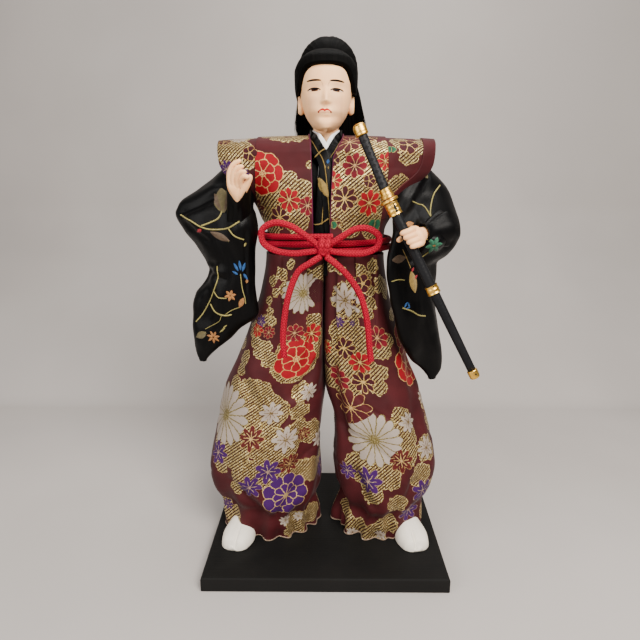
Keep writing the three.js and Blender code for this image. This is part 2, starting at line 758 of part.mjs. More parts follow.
function waistTurns() {
  const turns = 1.985;
  const start = waistLevel + cordDiameter / 2 + 0.6;
  const top = (start + cordPitch * turns + cordDiameter / 2 - vestBottom) / (shoulderLevel - vestBottom);
  const outside = seatGap + 0.2;
  const width = (vestSpan / 2) * vestOuter(top) * vestFullness(top) + cordDiameter / 2 + outside;
  const depth = torsoHalves(waistLevel, cordOffset)[1] + 0.2;
  const path = steps(40).map((t) => {
    const angle = -Math.PI / 2 + t * turns * 2 * Math.PI;
    return point(width * Math.cos(angle), depth * Math.sin(angle), start + cordPitch * turns * t);
  });
  return cordAlong(path, cordDiameter, 40);
}

function knot() {
  const body = ellipsoid(knotMiddle, point(knotWidth / 2, cordDiameter, knotWidth * 0.42), 12, 8);
  const band = around(12).map((angle) =>
    point(0.6 * Math.sin(angle), -Math.cos(angle) * (cordDiameter * 0.62), knotWidth * 0.34 * Math.sin(angle))
      .add(knotMiddle),
  );
  const sash = new THREE.CatmullRomCurve3(band, true);
  const frames = sash.computeFrenetFrames(14, true);
  const rings = around(14).map((angle, index) =>
    around(6).map((turn) =>
      sash
        .getPointAt(index / 14)
        .addScaledVector(frames.normals[index], (cordDiameter / 2) * Math.cos(turn))
        .addScaledVector(frames.binormals[index], (cordDiameter / 2) * Math.sin(turn)),
    ),
  );
  return join(body, skin(rings, ends.wrap));
}

const fromKnot = (x, forward, z) => knotMiddle.clone().add(point(x, -forward, z));
const rightLoop = [
  fromKnot(-3.4, 0.4, 1.6), fromKnot(-10.5, 1.8, 7.2), fromKnot(-17.5, 2.2, 11.6), fromKnot(-25.5, 2, 13),
  fromKnot(-32, 1.4, 9.4), fromKnot(-31.6, 0.6, 2.6), fromKnot(-25, 0.4, -1.6), fromKnot(-16, 0.8, -3),
  fromKnot(-9, 0.8, -2.4), fromKnot(-3.6, 0.4, -1.8),
];
const leftLoop = [
  fromKnot(3.4, 0.4, 1.6), fromKnot(9.5, 1.8, 5.8), fromKnot(16.5, 2.2, 9.8), fromKnot(23.5, 2, 10),
  fromKnot(29, 1.4, 6), fromKnot(28, 0.6, 0.2), fromKnot(21.5, 0.4, -2.8), fromKnot(13.5, 0.8, -3),
  fromKnot(8, 0.8, -2.4), fromKnot(3.6, 0.4, -1.8),
];
const rightTail = [
  fromKnot(-1.4, 2.2, -4.4), fromKnot(-6.8, 4, -7.6), fromKnot(-13.4, 3.4, -12.4), fromKnot(-18, 3, -23),
  fromKnot(-20.8, 3, -36), fromKnot(-22, 3.2, -49), fromKnot(-21.4, 3.4, -59.6),
];
const leftTail = [
  fromKnot(1.4, 2.2, -4.4), fromKnot(7.8, 4, -9.2), fromKnot(14.6, 3.4, -16.6), fromKnot(20.4, 3, -26.6),
  fromKnot(23.6, 3, -39), fromKnot(25, 3.2, -51), fromKnot(26.2, 3.4, -61.8),
];

// Sword frame: its +Z runs from the fist up along the scabbard, +X to the doll's left
const lean = degrees(swordLean);
const tilt = degrees(swordTilt);
const swordUp = point(-Math.sin(lean), Math.sin(tilt) * Math.cos(lean), Math.cos(lean)).normalize();
const swordAcross = point(1, 0, 0).addScaledVector(swordUp, -swordUp.x).normalize();
const swordBack = swordUp.clone().cross(swordAcross);
const swordPlace = new THREE.Matrix4()
  .makeBasis(swordAcross, swordBack, swordUp)
  .setPosition(fistCentre);
const swordGroup = new THREE.Group();
swordGroup.applyMatrix4(swordPlace);
doll.add(swordGroup);
const guardBottom = scabbardAbove + seatGap;
const guardTop = guardBottom + guardThickness;
const hiltGroup = new THREE.Group();
hiltGroup.position.set(0, 0, guardTop);
hiltGroup.rotation.y = degrees(hiltBend);
swordGroup.add(hiltGroup);

function blade(more = 0) {
  const half = bladeWidth / 2 + more;
  const thick = bladeThickness / 2 + more;
  const bottom = guardTop + bladeTang - bladeLength;
  const section = (height, share, shift) =>
    [[-1, 0], [-0.3, -1], [0.8, -0.8], [1, 0], [0.8, 0.8], [-0.3, 1]].map(([x, y]) =>
      point(x * half * share + shift, y * thick * Math.sqrt(share), height),
    );
  return skin([
    section(bottom - more, 0.3, half * 0.7),
    section(bottom + 4, 0.86, half * 0.14),
    section(bottom + 9, 1, 0),
    section(guardTop + bladeTang + more, 1, 0),
  ]);
}

const bladeCollarLength = 5;
const bladeCollarWall = 0.5;
const bladeCollarSize = (more) => [
  bladeWidth / 2 + seatGap + bladeCollarWall + more,
  bladeThickness / 2 + seatGap + bladeCollarWall + more,
];

function bladeCollar() {
  const [width, depth] = bladeCollarSize(0);
  const bottom = guardBottom - seatGap - bladeCollarLength;
  const collar = ovalStack([
    [bottom, width - 0.2, depth - 0.2],
    [bottom + 0.6, width, depth],
    [guardBottom - seatGap, width, depth],
  ]);
  return cut(collar, blade(seatGap));
}

const scabbardHeights = [-scabbardBelow, -scabbardBelow * 0.6, 0, scabbardAbove];
const scabbardShare = through(
  [scabbardHeights[0], 0.42], [scabbardHeights[1], 0.47], [scabbardHeights[2], 0.5], [scabbardHeights[3], 0.5],
);
const scabbardHalves = (height) => {
  const share = scabbardShare(height);
  return [scabbardWidth * share, scabbardDepth * share];
};

function scabbardBody() {
  const [mouthWidth, mouthDepth] = bladeCollarSize(seatGap);
  const recess = ovalStack([
    [guardBottom - 2 * seatGap - bladeCollarLength, mouthWidth, mouthDepth],
    [scabbardAbove + 1, mouthWidth, mouthDepth],
  ]);
  const body = ovalStack(scabbardHeights.map((height) => [height, ...scabbardHalves(height)]));
  return cut(body, blade(seatGap), recess);
}

function scabbardRing(bottom, top) {
  const [width, depth] = scabbardHalves(Math.min(top, scabbardAbove));
  return ovalSleeve(bottom, top, width + seatGap, depth + seatGap, ringWall);
}

function scabbardTip() {
  const start = -scabbardBelow - seatGap;
  const [width, depth] = scabbardHalves(-scabbardBelow);
  const wide = (share) => [(width + ringWall) * share, (depth + ringWall) * share];
  return ovalStack([
    [start - tipLength, ...wide(0.62)],
    [start - tipLength + 0.7, ...wide(0.95)],
    [start - tipLength * 0.5, ...wide(1)],
    [start - 0.3, ...wide(1)],
    [start, ...wide(0.92)],
  ]);
}

function guard() {
  const rim = (share) => [(guardWidth / 2) * share, (guardDepth / 2) * share];
  const plate = ovalStack([
    [guardBottom, ...rim(0.78)],
    [guardBottom + guardThickness * 0.2, ...rim(0.96)],
    [guardBottom + guardThickness * 0.5, ...rim(1)],
    [guardBottom + guardThickness * 0.8, ...rim(0.96)],
    [guardTop, ...rim(0.78)],
  ], 20);
  return cut(plate, blade(seatGap));
}

const hiltDepthShare = 0.88;
const hiltOval = (height, width) => [height, width / 2, (width / 2) * hiltDepthShare];

function gripCollar() {
  const wide = gripWidth + 1.9;
  const body = ovalStack([
    hiltOval(seatGap, wide * 0.96),
    hiltOval(seatGap + 0.4, wide),
    hiltOval(gripCollarLength * 0.45, wide),
    hiltOval(gripCollarLength * 0.5, wide * 0.88),
    hiltOval(gripCollarLength - 0.4, wide * 0.86),
    hiltOval(gripCollarLength, wide * 0.8),
  ]);
  const tang = blade(seatGap).translate(0, 0, -guardTop).rotateY(-degrees(hiltBend));
  return cut(body, tang);
}

function grip() {
  const bottom = gripCollarLength + seatGap;
  const waisted = through([0, 1], [0.5, 0.9], [1, 0.98]);
  const body = ovalStack(steps(6).map((t) => hiltOval(bottom + gripLength * t, gripWidth * waisted(t))));
  const tang = blade(seatGap).translate(0, 0, -guardTop).rotateY(-degrees(hiltBend));
  return cut(body, tang);
}

function pommelCap() {
  const bottom = gripCollarLength + gripLength + 2 * seatGap;
  return ovalStack([
    hiltOval(bottom, pommelWidth * 0.94),
    hiltOval(bottom + 0.5, pommelWidth),
    hiltOval(bottom + pommelLength * 0.62, pommelWidth),
    hiltOval(bottom + pommelLength * 0.86, pommelWidth * 0.86),
    hiltOval(bottom + pommelLength, pommelWidth * 0.5),
  ]);
}

// Left fist, in the sword's frame: four fingers and a thumb round the scabbard, then the wrist
const roundEnds = (t) => Math.sqrt(Math.max(0.06, 1 - (Math.max(0, t - 0.82) / 0.2) ** 2));

function leftFist() {
  const hold = scabbardWidth / 2 + seatGap + fingerDiameter * 0.42;
  const fingers = [0, 1, 2, 3].map((index) => {
    const height = fistHeight * (0.36 - 0.24 * index);
    const path = steps(6).map((t) => {
      const angle = degrees(-60 + (205 - 8 * index) * t);
      const reach = hold + 1.6 * (1 - t);
      return point(reach * Math.cos(angle), -reach * Math.sin(angle), height - 0.5 * t);
    });
    const half = (t) => 0.55 * fingerDiameter * roundEnds(t);
    return limb(path, (t) => [half(t), half(t)], 6, 6);
  });
  const palm = ellipsoid(point(4.6, 2.6, -0.2), point(4, 4.4, fistHeight * 0.49), 10, 7);
  const thumb = limb(
    [point(4.4, 5, 3.4), point(0.4, 5.4, 3.6), point(-3, 3.4, 3), point(-4.6, 0.8, 2.2)],
    (t) => [1.5 * roundEnds(t), 1.4 * roundEnds(t)],
    6,
    5,
  );
  const wrist = limb(
    [point(4.6, 3, -0.4), point(8.6, 6.6, -1.4), point(13.5, 11, -2.6)],
    (t) => [4 - 0.6 * t, 3.4 - 0.4 * t],
    8,
    3,
  );
  const passage = ovalStack([
    [-fistHeight, scabbardWidth / 2 + seatGap, scabbardDepth / 2 + seatGap],
    [fistHeight, scabbardWidth / 2 + seatGap, scabbardDepth / 2 + seatGap],
  ]);
  return cut(join(palm, ...fingers, thumb, wrist), passage).applyMatrix4(swordPlace);
}

// Right hand: raised, with the fingers together and curled to the doll's left and the thumb apart
const fromWrist = (x, forward, z) => rightWrist.clone().add(point(x, -forward, z));

function rightHand() {
  const palm = limb(
    [fromWrist(-2.6, -6, -8), fromWrist(0, 0, 0), fromWrist(-0.8, 3, 8), fromWrist(-1.4, 5, 15)],
    (t) => [2.9 + (palmWidth / 2 - 2.9) * Math.sin(Math.min(1, t * 1.15) * Math.PI * 0.5), 2.5 - 0.2 * t],
    10,
    6,
  );
  const half = fingerDiameter / 2;
  const fingers = [0, 1, 2, 3].map((index) => {
    const from = fromWrist(-4.3 + 2.2 * index, 4.4 + 0.4 * index, 12.6);
    const bend = fromWrist(-3.4 + 2 * index, 5.8 + 0.8 * index, 19.6 - 1.3 * index);
    const tip = fromWrist(2.6 + 1.4 * index, 7.6 + 1.1 * index, 25.4 - 2.6 * index);
    return limb([from, bend, tip], (t) => [half * roundEnds(t), half * roundEnds(t)], 6, 5);
  });
  const thumb = limb(
    [fromWrist(1.4, 3, 4), fromWrist(5.2, 6.4, 9.6), fromWrist(8.8, 8.8, 14)],
    (t) => [(2.1 - 0.6 * t) * roundEnds(t), (1.9 - 0.5 * t) * roundEnds(t)],
    6,
    5,
  );
  return join(palm, ...fingers, thumb);
}

// Grown copy of a hand's wrist, to leave room for it in a sleeve
const roomFor = (from, to, radius) =>
  limb([from, from.clone().lerp(to, 0.5), to], () => [radius, radius], 12, 3);

// Board
const boardOutline = new THREE.Shape();
const boardHalf = [boardWidth / 2 - boardEdge, boardDepth / 2 - boardEdge];
boardOutline.moveTo(-boardHalf[0], -boardHalf[1]);
boardOutline.lineTo(boardHalf[0], -boardHalf[1]);
boardOutline.lineTo(boardHalf[0], boardHalf[1]);
boardOutline.lineTo(-boardHalf[0], boardHalf[1]);
const boardSolid = new THREE.ExtrudeGeometry(boardOutline, {
  depth: boardThickness - 2 * boardEdge,
  bevelThickness: boardEdge,
  bevelSize: boardEdge,
  bevelSegments: 2,
}).translate(0, 0, boardEdge);
add("board", cut(boardSolid, legWire(right, seatGap), legWire(left, seatGap)), finishes.boardPaint);

// Body
const neckPegHole = upright(neckPegDiameter + 2 * seatGap, neckPegBottom - seatGap, neckPegTop, 10);
add(
  "body_core",
  cut(
    core(0),
    legWire(right, seatGap),
    legWire(left, seatGap),
    armWire(right, seatGap),
    armWire(left, seatGap),
    neckPegHole,
  ),
  finishes.stuffing,
);
add("neck_peg", upright(neckPegDiameter, neckPegBottom, neckPegTop), finishes.peg);

add(
  "kimono_body",
  cut(
    kimono(0),
    core(seatGap),
    upright(neckDiameter + 2.4, coreTop - 6, shoulderLevel),
    armWire(right, seatGap),
    armWire(left, seatGap),
  ),
  finishes.blackSatin,
);

for (const side of [right, left]) {
  const which = side === right ? "right" : "left";
  add(`foot_${which}`, cut(foot(side), legWire(side, seatGap)), finishes.sock);
  add(`leg_wire_${which}`, legWire(side), finishes.wire);
  add(`arm_wire_${which}`, armWire(side), finishes.wire);
  const wireAt = (level) => {
    const bottom = boardThickness - legWireInBoard;
    const t = (level - bottom) / (coreBottom + torsoBelowWaist / 3 - bottom);
    return point(side * THREE.MathUtils.lerp(stance, hipSpacing, t), 0, level);
  };
  const stuffingSize = through([0, 0.7], [0.3, 0.95], [0.7, 1], [1, 0.9]);
  const stuffing = limb(
    [wireAt(boardThickness + footHeight + 4), wireAt(coreBottom / 2), wireAt(coreBottom - seatGap - 6)],
    (t) => [(stuffingDiameter / 2) * stuffingSize(t), (stuffingDiameter / 2) * stuffingSize(t)],
    8,
    4,
  );
  add(`leg_stuffing_${which}`, cut(stuffing, legWire(side, seatGap)), finishes.stuffing);
  add(
    `trouser_leg_${which}`,
    cut(
      trouserLeg(side, 0, 30, 14),
      trouserLeg(side, trouserThickness, 14, 7, -0.02, 1.02),
      kimono(layerGap),
      core(seatGap),
      foot(side, seatGap),
    ),
    finishes.brocade,
  );
  add(`vest_front_${which}`, vestFront(side), finishes.brocade);
}
add("vest_back", vestBack(), finishes.brocade);

for (const side of [right, left]) {
  const which = side === right ? "right" : "left";
  const wrist = side === right
    ? roomFor(fromWrist(-4, -9, -12), fromWrist(0, 2, 3), 4.6)
    : roomFor(leftWrist.clone().add(point(9, 6, -1)), fistCentre, 6.4);
  add(
    `kimono_sleeve_${which}`,
    cut(
      sleeve(side, 20, 13),
      vestFront(side, layerGap),
      vestBack(layerGap),
      kimono(layerGap),
      armWire(side, seatGap),
      trouserLeg(side, -layerGap, 16, 9, 0, 1.004),
      wrist,
    ),
    finishes.blackSatin,
  );
}

const neckRing = neckDiameter / 2 + 1.4;
const underCollar = collarBand({
  ring: neckRing,
  offset: underCollarOffset,
  cross: shoulderLevel - 12,
  end: { x: 2, level: shoulderLevel - 19 },
  width: collarWidth * 0.8,
});
add("under_collar", cut(underCollar, kimono(seatGap)), finishes.whiteSatin);
const kimonoCollar = collarBand({
  ring: neckRing + collarThickness + 2 * layerGap,
  offset: collarOffset,
  cross: shoulderLevel - 15,
  end: { x: 4, level: shoulderLevel - 44 },
  width: collarWidth,
});
add("kimono_collar", cut(kimonoCollar, kimono(seatGap)), finishes.blackSatin);

// Hands
add("hand_right", cut(rightHand(), armWire(right, seatGap)), finishes.skin);
add("hand_left", cut(leftFist(), armWire(left, seatGap)), finishes.skin);

// Head
const neck = upright(neckDiameter, neckBottom, chinLevel + headHeight * 0.34, 20);
const pegBore = upright(neckPegDiameter + 2 * seatGap, neckBottom - 2, neckPegTop + seatGap);
add("head", cut(join(headShape(0, 26, 20, true), neck, ...ears()), pegBore), finishes.face);
add("hair_cap", hairCap(), finishes.hair);
const crown = cut(ellipsoid(crownMiddle, crownRadii(0), 16, 10), capOuter());
add("hair_crown", crown, finishes.hair);
add("hair_tie", cut(hairTie(), capOuter(), ellipsoid(crownMiddle, crownRadii(seatGap), 16, 10)), finishes.hair);
add(
  "hair_long",
  cut(longHair(), capOuter(), ellipsoid(crownMiddle, crownRadii(seatGap), 16, 10)),
  finishes.hair,
);

// Waist cord
add("waist_cord", waistTurns(), finishes.redCord);
add("bow_knot", knot(), finishes.redCord);
const knotRoom = ellipsoid(
  knotMiddle,
  point(knotWidth / 2 + seatGap, cordDiameter + seatGap, knotWidth * 0.42 + seatGap + 0.8),
  14,
  10,
);
const looped = {
  bow_loop_right: rightLoop,
  bow_loop_left: leftLoop,
  cord_tail_right: rightTail,
  cord_tail_left: leftTail,
};
for (const [name, path] of Object.entries(looped)) {
  const count = name.startsWith("bow") ? 13 : 9;
  add(name, cut(cordAlong(path, cordDiameter, count), knotRoom), finishes.redCord);
}

// Scabbard and sword
add("scabbard", scabbardBody(), finishes.lacquer, swordGroup);
const mouthRing = scabbardRing(scabbardAbove - mouthRingLength, scabbardAbove);
add("scabbard_mouth_ring", mouthRing, finishes.gold, swordGroup);
const secondRing = scabbardRing(-ringBelow - ringLength / 2, -ringBelow + ringLength / 2);
add("scabbard_ring", secondRing, finishes.gold, swordGroup);
add("scabbard_tip", scabbardTip(), finishes.gold, swordGroup);
add("sword_blade", blade(), finishes.steel, swordGroup);
add("blade_collar", bladeCollar(), finishes.gold, swordGroup);
add("sword_guard", guard(), finishes.gold, swordGroup);
add("grip_collar", gripCollar(), finishes.gold, hiltGroup);
add("sword_grip", grip(), finishes.grip, hiltGroup);
add("pommel_cap", pommelCap(), finishes.gold, hiltGroup);

export default doll;
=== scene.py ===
"""Samurai doll: the dressed figure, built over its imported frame.

Sizes are in millimetres unless a name says otherwise; the finished meshes are in metres.
Left and right are the doll's own, so its right side is at -X.
"""

import logging
import math
from dataclasses import dataclass
from enum import Enum
from typing import Callable, Sequence

import bmesh
import bpy
import numpy as np
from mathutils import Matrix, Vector
from mathutils.bvhtree import BVHTree


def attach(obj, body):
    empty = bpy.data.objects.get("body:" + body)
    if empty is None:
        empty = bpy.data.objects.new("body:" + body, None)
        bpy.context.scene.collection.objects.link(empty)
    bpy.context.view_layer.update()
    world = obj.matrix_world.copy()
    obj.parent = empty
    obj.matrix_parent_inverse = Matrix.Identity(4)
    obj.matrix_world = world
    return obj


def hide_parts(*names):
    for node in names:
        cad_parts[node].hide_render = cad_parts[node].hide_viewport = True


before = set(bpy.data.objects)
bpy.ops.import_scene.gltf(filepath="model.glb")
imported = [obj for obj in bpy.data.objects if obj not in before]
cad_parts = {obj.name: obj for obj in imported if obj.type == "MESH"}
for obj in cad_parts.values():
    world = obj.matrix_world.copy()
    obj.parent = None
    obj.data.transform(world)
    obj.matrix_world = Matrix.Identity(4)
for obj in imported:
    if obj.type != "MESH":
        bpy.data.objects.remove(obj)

MM = 0.001
TURN = 2 * math.pi

Pair = tuple[float, float]
Place = tuple[float, float, float]
Shade = tuple[float, float, float]
Grid = np.ndarray
Piece = bpy.types.Object
Finish = bpy.types.Material

log = logging.getLogger("samurai_doll")


class Side(Enum):
    """One side of the doll, and the direction of X towards it."""

    RIGHT = -1
    LEFT = 1

    @property
    def word(self) -> str:
        """The side's name as the frame's nodes spell it."""
        return self.name.lower()


def through(*pairs: Pair) -> Callable[[Grid | float], Grid]:
    """Make a value that runs smoothly, without overshoot, through given places.

    Args:
        pairs: (place, value) pairs in rising order of place.

    Returns:
        A function of place, for numbers and arrays alike.
    """
    at = np.array([pair[0] for pair in pairs], float)
    value = np.array([pair[1] for pair in pairs], float)
    slopes = np.diff(value) / np.diff(at)
    tangents = np.zeros_like(value)
    product = slopes[:-1] * slopes[1:]
    total = slopes[:-1] + slopes[1:]
    good = product > 0
    tangents[1:-1][good] = 2 * product[good] / total[good]

    def run(place: Grid | float) -> Grid:
        """Read the value at a place.

        Args:
            place: a number or an array of places.

        Returns:
            The value there.
        """
        inside = np.clip(place, at[0], at[-1])
        index = np.clip(np.searchsorted(at, inside) - 1, 0, len(at) - 2)
        span = at[index + 1] - at[index]
        t = (inside - at[index]) / span
        return value[index] * (1 + 2 * t) * (1 - t) ** 2 + tangents[index] * span * t * (1 - t) ** 2 + value[index
            + 1] * t * t * (3 - 2 * t) + tangents[index + 1] * span * t * t * (t - 1)
    return run


def spread(*parts: Grid | float) -> Grid:
    """Put coordinates of different shapes together as one grid of places."""
    return np.stack(np.broadcast_arrays(*parts), axis=-1)


def looped(grid: Grid) -> Grid:
    """Repeat a grid's first column after its last."""
    return np.concatenate([grid, grid[:, :1]], axis=1)


def unit(vectors: Grid) -> Grid:
    """Bring vectors to length one."""
    return vectors / np.linalg.norm(vectors, axis=-1, keepdims=True)


def all_round(count: int, start: float = 0.0) -> Grid:
    """Angles once round from a start, as a row."""
    return np.linspace(start, start + TURN, count, endpoint=False)[None, :]


def shares(count: int) -> Grid:
    """Even steps from 0 to 1, as a column."""
    return np.linspace(0, 1, count)[:, None]


def smooth_step(value: Grid, low: float, high: float) -> Grid:
    """Rise smoothly from 0 at low to 1 at high."""
    t = np.clip((value - low) / (high - low), 0, 1)
    return t * t * (3 - 2 * t)


def bump(value: Grid, middle: float, spread: float) -> Grid:
    """A rounded ridge of height 1 about a middle."""
    return np.exp(-((value - middle) / spread) ** 2)


def rumple(points: Grid, grain: float, seed: int) -> Grid:
    """Smooth noise between -1 and 1 over points in space.

    Args:
        points: places, (..., 3).
        grain: size of the lumps, in the units of the points.
        seed: picks the pattern.

    Returns:
        One value for each point.
    """
    scaled = points / grain + seed * 17.13
    cell = np.floor(scaled).astype(np.int64)
    part = scaled - cell
    part = part * part * (3 - 2 * part)

    def corner(dx: int, dy: int, dz: int) -> Grid:
        """A fixed pseudo-random value for one corner of each cell.

        Args:
            dx: which end of the cell, across.
            dy: which end, in depth.
            dz: which end, up.

        Returns:
            A value between -1 and 1 for each cell.
        """
        x, y, z = cell[..., 0] + dx, cell[..., 1] + dy, cell[..., 2] + dz
        mixed = x * 374761393 + y * 668265263 + z * 2147483647 + seed * 974711 & 4294967295
        mixed = (mixed ^ mixed >> 13) * 1274126177 & 4294967295
        return ((mixed ^ mixed >> 16) & 65535) / 32767.5 - 1
    total = np.zeros(points.shape[:-1])
    for dx in (0, 1):
        for dy in (0, 1):
            for dz in (0, 1):
                weight = (part[..., 0] if dx else 1 - part[..., 0]) * (part[..., 1] if dy else 1
                    - part[..., 1]) * (part[..., 2] if dz else 1 - part[..., 2])
                total += weight * corner(dx, dy, dz)
    return total


def travelled(path: Grid) -> Grid:
    """How far along a path each of its places is."""
    return np.concatenate([[0], np.cumsum(np.linalg.norm(np.diff(path, axis=0), axis=1))])


def spline(points: Sequence[Place], count: int) -> Grid:
    """Follow a smooth curve through points.

    Args:
        points: places on the curve.
        count: number of evenly spaced places to return.

    Returns:
        (count, 3) places, evenly spaced along the curve.
    """
    knots = np.array(points, float)
    padded = np.vstack([2 * knots[0] - knots[1], knots, 2 * knots[-1] - knots[-2]])
    fine = []
    for index in range(len(knots) - 1):
        a, b, c, d = padded[index:index + 4]
        t = np.linspace(0, 1, 40, endpoint=False)[:, None]
        fine.append(0.5 * (2 * b + (c - a) * t + (2 * a - 5 * b + 4 * c - d) * t ** 2
            + (3 * b - a - 3 * c + d) * t ** 3))
    line = np.vstack([*fine, knots[-1:]])
    run = travelled(line)
    even = np.linspace(0, run[-1], count)
    return np.stack([np.interp(even, run, line[:, axis]) for axis in range(3)], axis=1)


def path_length(path: Grid) -> float:
    """Measure a path of places."""
    return float(np.linalg.norm(np.diff(path, axis=0), axis=1).sum())


def frames_along(path: Grid) -> tuple[Grid, Grid, Grid]:
    """Carry a pair of cross directions along a path without twist.

    Args:
        path: (count, 3) places.

    Returns:
        The direction along the path and two directions across it, at each place.
    """
    along = np.gradient(path, axis=0)
    along = unit(along)
    start = np.array([0.0, 0.0, 1.0])
    if abs(along[0] @ start) > 0.9:
        start = np.array([0.0, 1.0, 0.0])
    first = np.zeros_like(path)
    current = start - along[0] * (along[0] @ start)
    for index, direction in enumerate(along):
        current = current - direction * (direction @ current)
        current /= np.linalg.norm(current)
        first[index] = current
    return along, first, np.cross(along, first)


def tube_grid(path: Grid, half_widths: Callable[[Grid, Grid], tuple[Grid, Grid]], sides: int) -> Grid:
    """Place rings of points round a path.

    Args:
        path: (count, 3) places.
        half_widths: from (t, angle) grids to the half width each way.
        sides: points in each ring.

    Returns:
        (count, sides, 3) points.
    """
    _, first, second = frames_along(path)
    t, angle = np.meshgrid(np.linspace(0, 1, len(path)), np.linspace(0, TURN, sides, endpoint=False), indexing="ij")
    across, deep = half_widths(t, angle)
    return path[:, None, :] + (across * np.cos(angle))[..., None] * first[:, None, :] + (deep * np.sin(angle))[...,
        None] * second[:, None, :]


def rounded(t: Grid, start: float = 0.85) -> Grid:
    """Shrink a limb's section to a round end after start, and before 0.04.

    Args:
        t: shares of the way along the limb.
        start: the share where the far end starts to round over.

    Returns:
        Sizes of the section as shares of the whole one.
    """
    end = np.sqrt(np.clip(1 - (np.clip(t - start, 0, 1) / (1.001 - start)) ** 2, 0.0004, 1))
    begin = np.sqrt(np.clip(1 - (np.clip(0.04 - t, 0, 1) / 0.0401) ** 2, 0.0004, 1))
    return end * begin


class Seam(Enum):
    """How a grid of points closes on itself."""

    OPEN = 0
    ROUND = 1
    CAPPED = 2


def grid_faces(row: Grid, column: Grid, columns: int) -> Grid:
    """Number the four corners of each face, from the row and column where it starts."""
    near, far, after = row * columns, (row + 1) * columns, (column + 1) % columns
    return np.stack([near + column, near + after, far + after, far + column], axis=-1).reshape(-1, 4)


def mesh_from_grid(name: str, grid: Grid, seam: Seam = Seam.OPEN, cloth: Grid | None = None) -> Piece:
    """Turn a grid of points into a smooth object with its cloth places as UVs.

    Args:
        name: the object's name.
        grid: (rows, columns, 3) points in millimetres.
        seam: whether each row runs round, and whether its ends are capped.
        cloth: (rows, columns + 1 if round, 2) flat cloth places in millimetres, if any.

    Returns:
        The new object.
    """
    rows, columns = grid.shape[:2]
    vertices = grid.reshape(-1, 3) * MM
    wrap = seam is not Seam.OPEN
    across = columns if wrap else columns - 1
    row, column = np.meshgrid(np.arange(rows - 1), np.arange(across), indexing="ij")
    faces = grid_faces(row, column, columns)
    polygons: list[list[int]] = faces.tolist()
    if seam is Seam.CAPPED:
        polygons.append(list(range(columns))[::-1])
        polygons.append([(rows - 1) * columns + index for index in range(columns)])
    mesh = bpy.data.meshes.new(name)
    mesh.from_pydata(vertices.tolist(), [], polygons)
    if cloth is not None:
        layer = mesh.uv_layers.new(name="cloth")
        corner_rows = np.stack([row, row, row + 1, row + 1], axis=-1).reshape(-1)
        corner_columns = np.stack([column, column + 1, column + 1, column], axis=-1).reshape(-1)
        places = cloth[corner_rows, corner_columns]
        if seam is Seam.CAPPED:
            places = np.vstack([places, cloth[0, :columns][::-1], cloth[-1, :columns]])
        layer.data.foreach_set("uv", places.astype(np.float32).ravel())
    mesh.validate()
    edit = bmesh.new()
    edit.from_mesh(mesh)
    if seam is not Seam.OPEN:
        bmesh.ops.recalc_face_normals(edit, faces=edit.faces)
    edit.to_mesh(mesh)
    edit.free()
    mesh.shade_smooth()
    result = bpy.data.objects.new(name, mesh)
    bpy.context.scene.collection.objects.link(result)
    return result


def shell_from_grid(name: str, grid: Grid, thickness: float, cloth: Grid, inwards: Grid | None = None) -> Piece:
    """Turn an open grid into cloth of one thickness, with rounded-over edges.

    Args:
        name: the object's name.
        grid: (rows, columns, 3) points of the outer face, in millimetres.
        thickness: of the cloth.
        cloth: (rows, columns, 2) flat cloth places.
        inwards: (rows, columns, 3) directions to the inner face, or None to use the normals.

    Returns:
        The new object.
    """
    if inwards is None:
        inwards = -surface_normals(grid)
    inner = grid + inwards * thickness
    middle_side = (grid + inner) / 2
    columns = [grid, inner[:, ::-1]]
    loop = np.concatenate([middle_side[:, :1], *columns[:1], middle_side[:, -1:], columns[1]], axis=1)
    edge_out = 0.3 * thickness
    for index, side in ((0, -1), (grid.shape[1] + 1, 1)):
        reach = grid[:, 0] - grid[:, 1] if side < 0 else grid[:, -1] - grid[:, -2]
        reach = reach / (np.linalg.norm(reach, axis=1, keepdims=True) + 1e-09)
        loop[:, index] += reach * edge_out
    places = np.concatenate([cloth[:, :1], cloth, cloth[:, -1:], cloth[:, ::-1], cloth[:, :1]], axis=1)
    first, last = loop[:1].copy(), loop[-1:].copy()
    return mesh_from_grid(name, np.concatenate([first, loop, last], axis=0), Seam.CAPPED,
        np.concatenate([places[:1], places, places[-1:]], axis=0))


def surface_normals(grid: Grid) -> Grid:
    """Find the unit normals of a grid of points."""
    normals = np.cross(np.gradient(grid, axis=1), np.gradient(grid, axis=0))
    return normals / (np.linalg.norm(normals, axis=-1, keepdims=True) + 1e-12)


def outwards(grid: Grid) -> Grid:
    """Find the directions out of a tube of cloth, with its seam's two sides joined.

    Args:
        grid: rows of places round a tube of cloth.

    Returns:
        The unit directions.
    """
    wrapped = np.concatenate([grid[:, -1:], grid, grid[:, :1]], axis=1)
    normals = surface_normals(wrapped)[:, 1:-1]
    middle = grid.mean(axis=1, keepdims=True)
    facing = np.sign(np.sum(normals * (grid - middle), axis=-1).mean())
    return normals * facing


def joined(name: str, pieces: Sequence[Piece]) -> Piece:
    """Join several objects into one with their slots kept.

    Args:
        name: the name of the new piece.
        pieces: what goes into it; the first one takes in the others.

    Returns:
        The joined piece.
    """
    for piece in bpy.context.selected_objects:
        piece.select_set(False)
    for piece in pieces:
        piece.select_set(True)
    bpy.context.view_layer.objects.active = pieces[0]
    if len(pieces) > 1:
        bpy.ops.object.join()
    result = bpy.context.view_layer.objects.active
    result.name = name
    result.data.name = name
    result.select_set(False)
    return result


def apply_modifiers(piece: Piece) -> Piece:
    """Apply an object's modifiers to its mesh.

    Args:
        piece: the piece with its modifiers.

    Returns:
        The same piece, with a plain mesh.
    """
    graph = bpy.context.evaluated_depsgraph_get()
    baked = bpy.data.meshes.new_from_object(piece.evaluated_get(graph))
    piece.modifiers.clear()
    piece.data = baked
    return piece


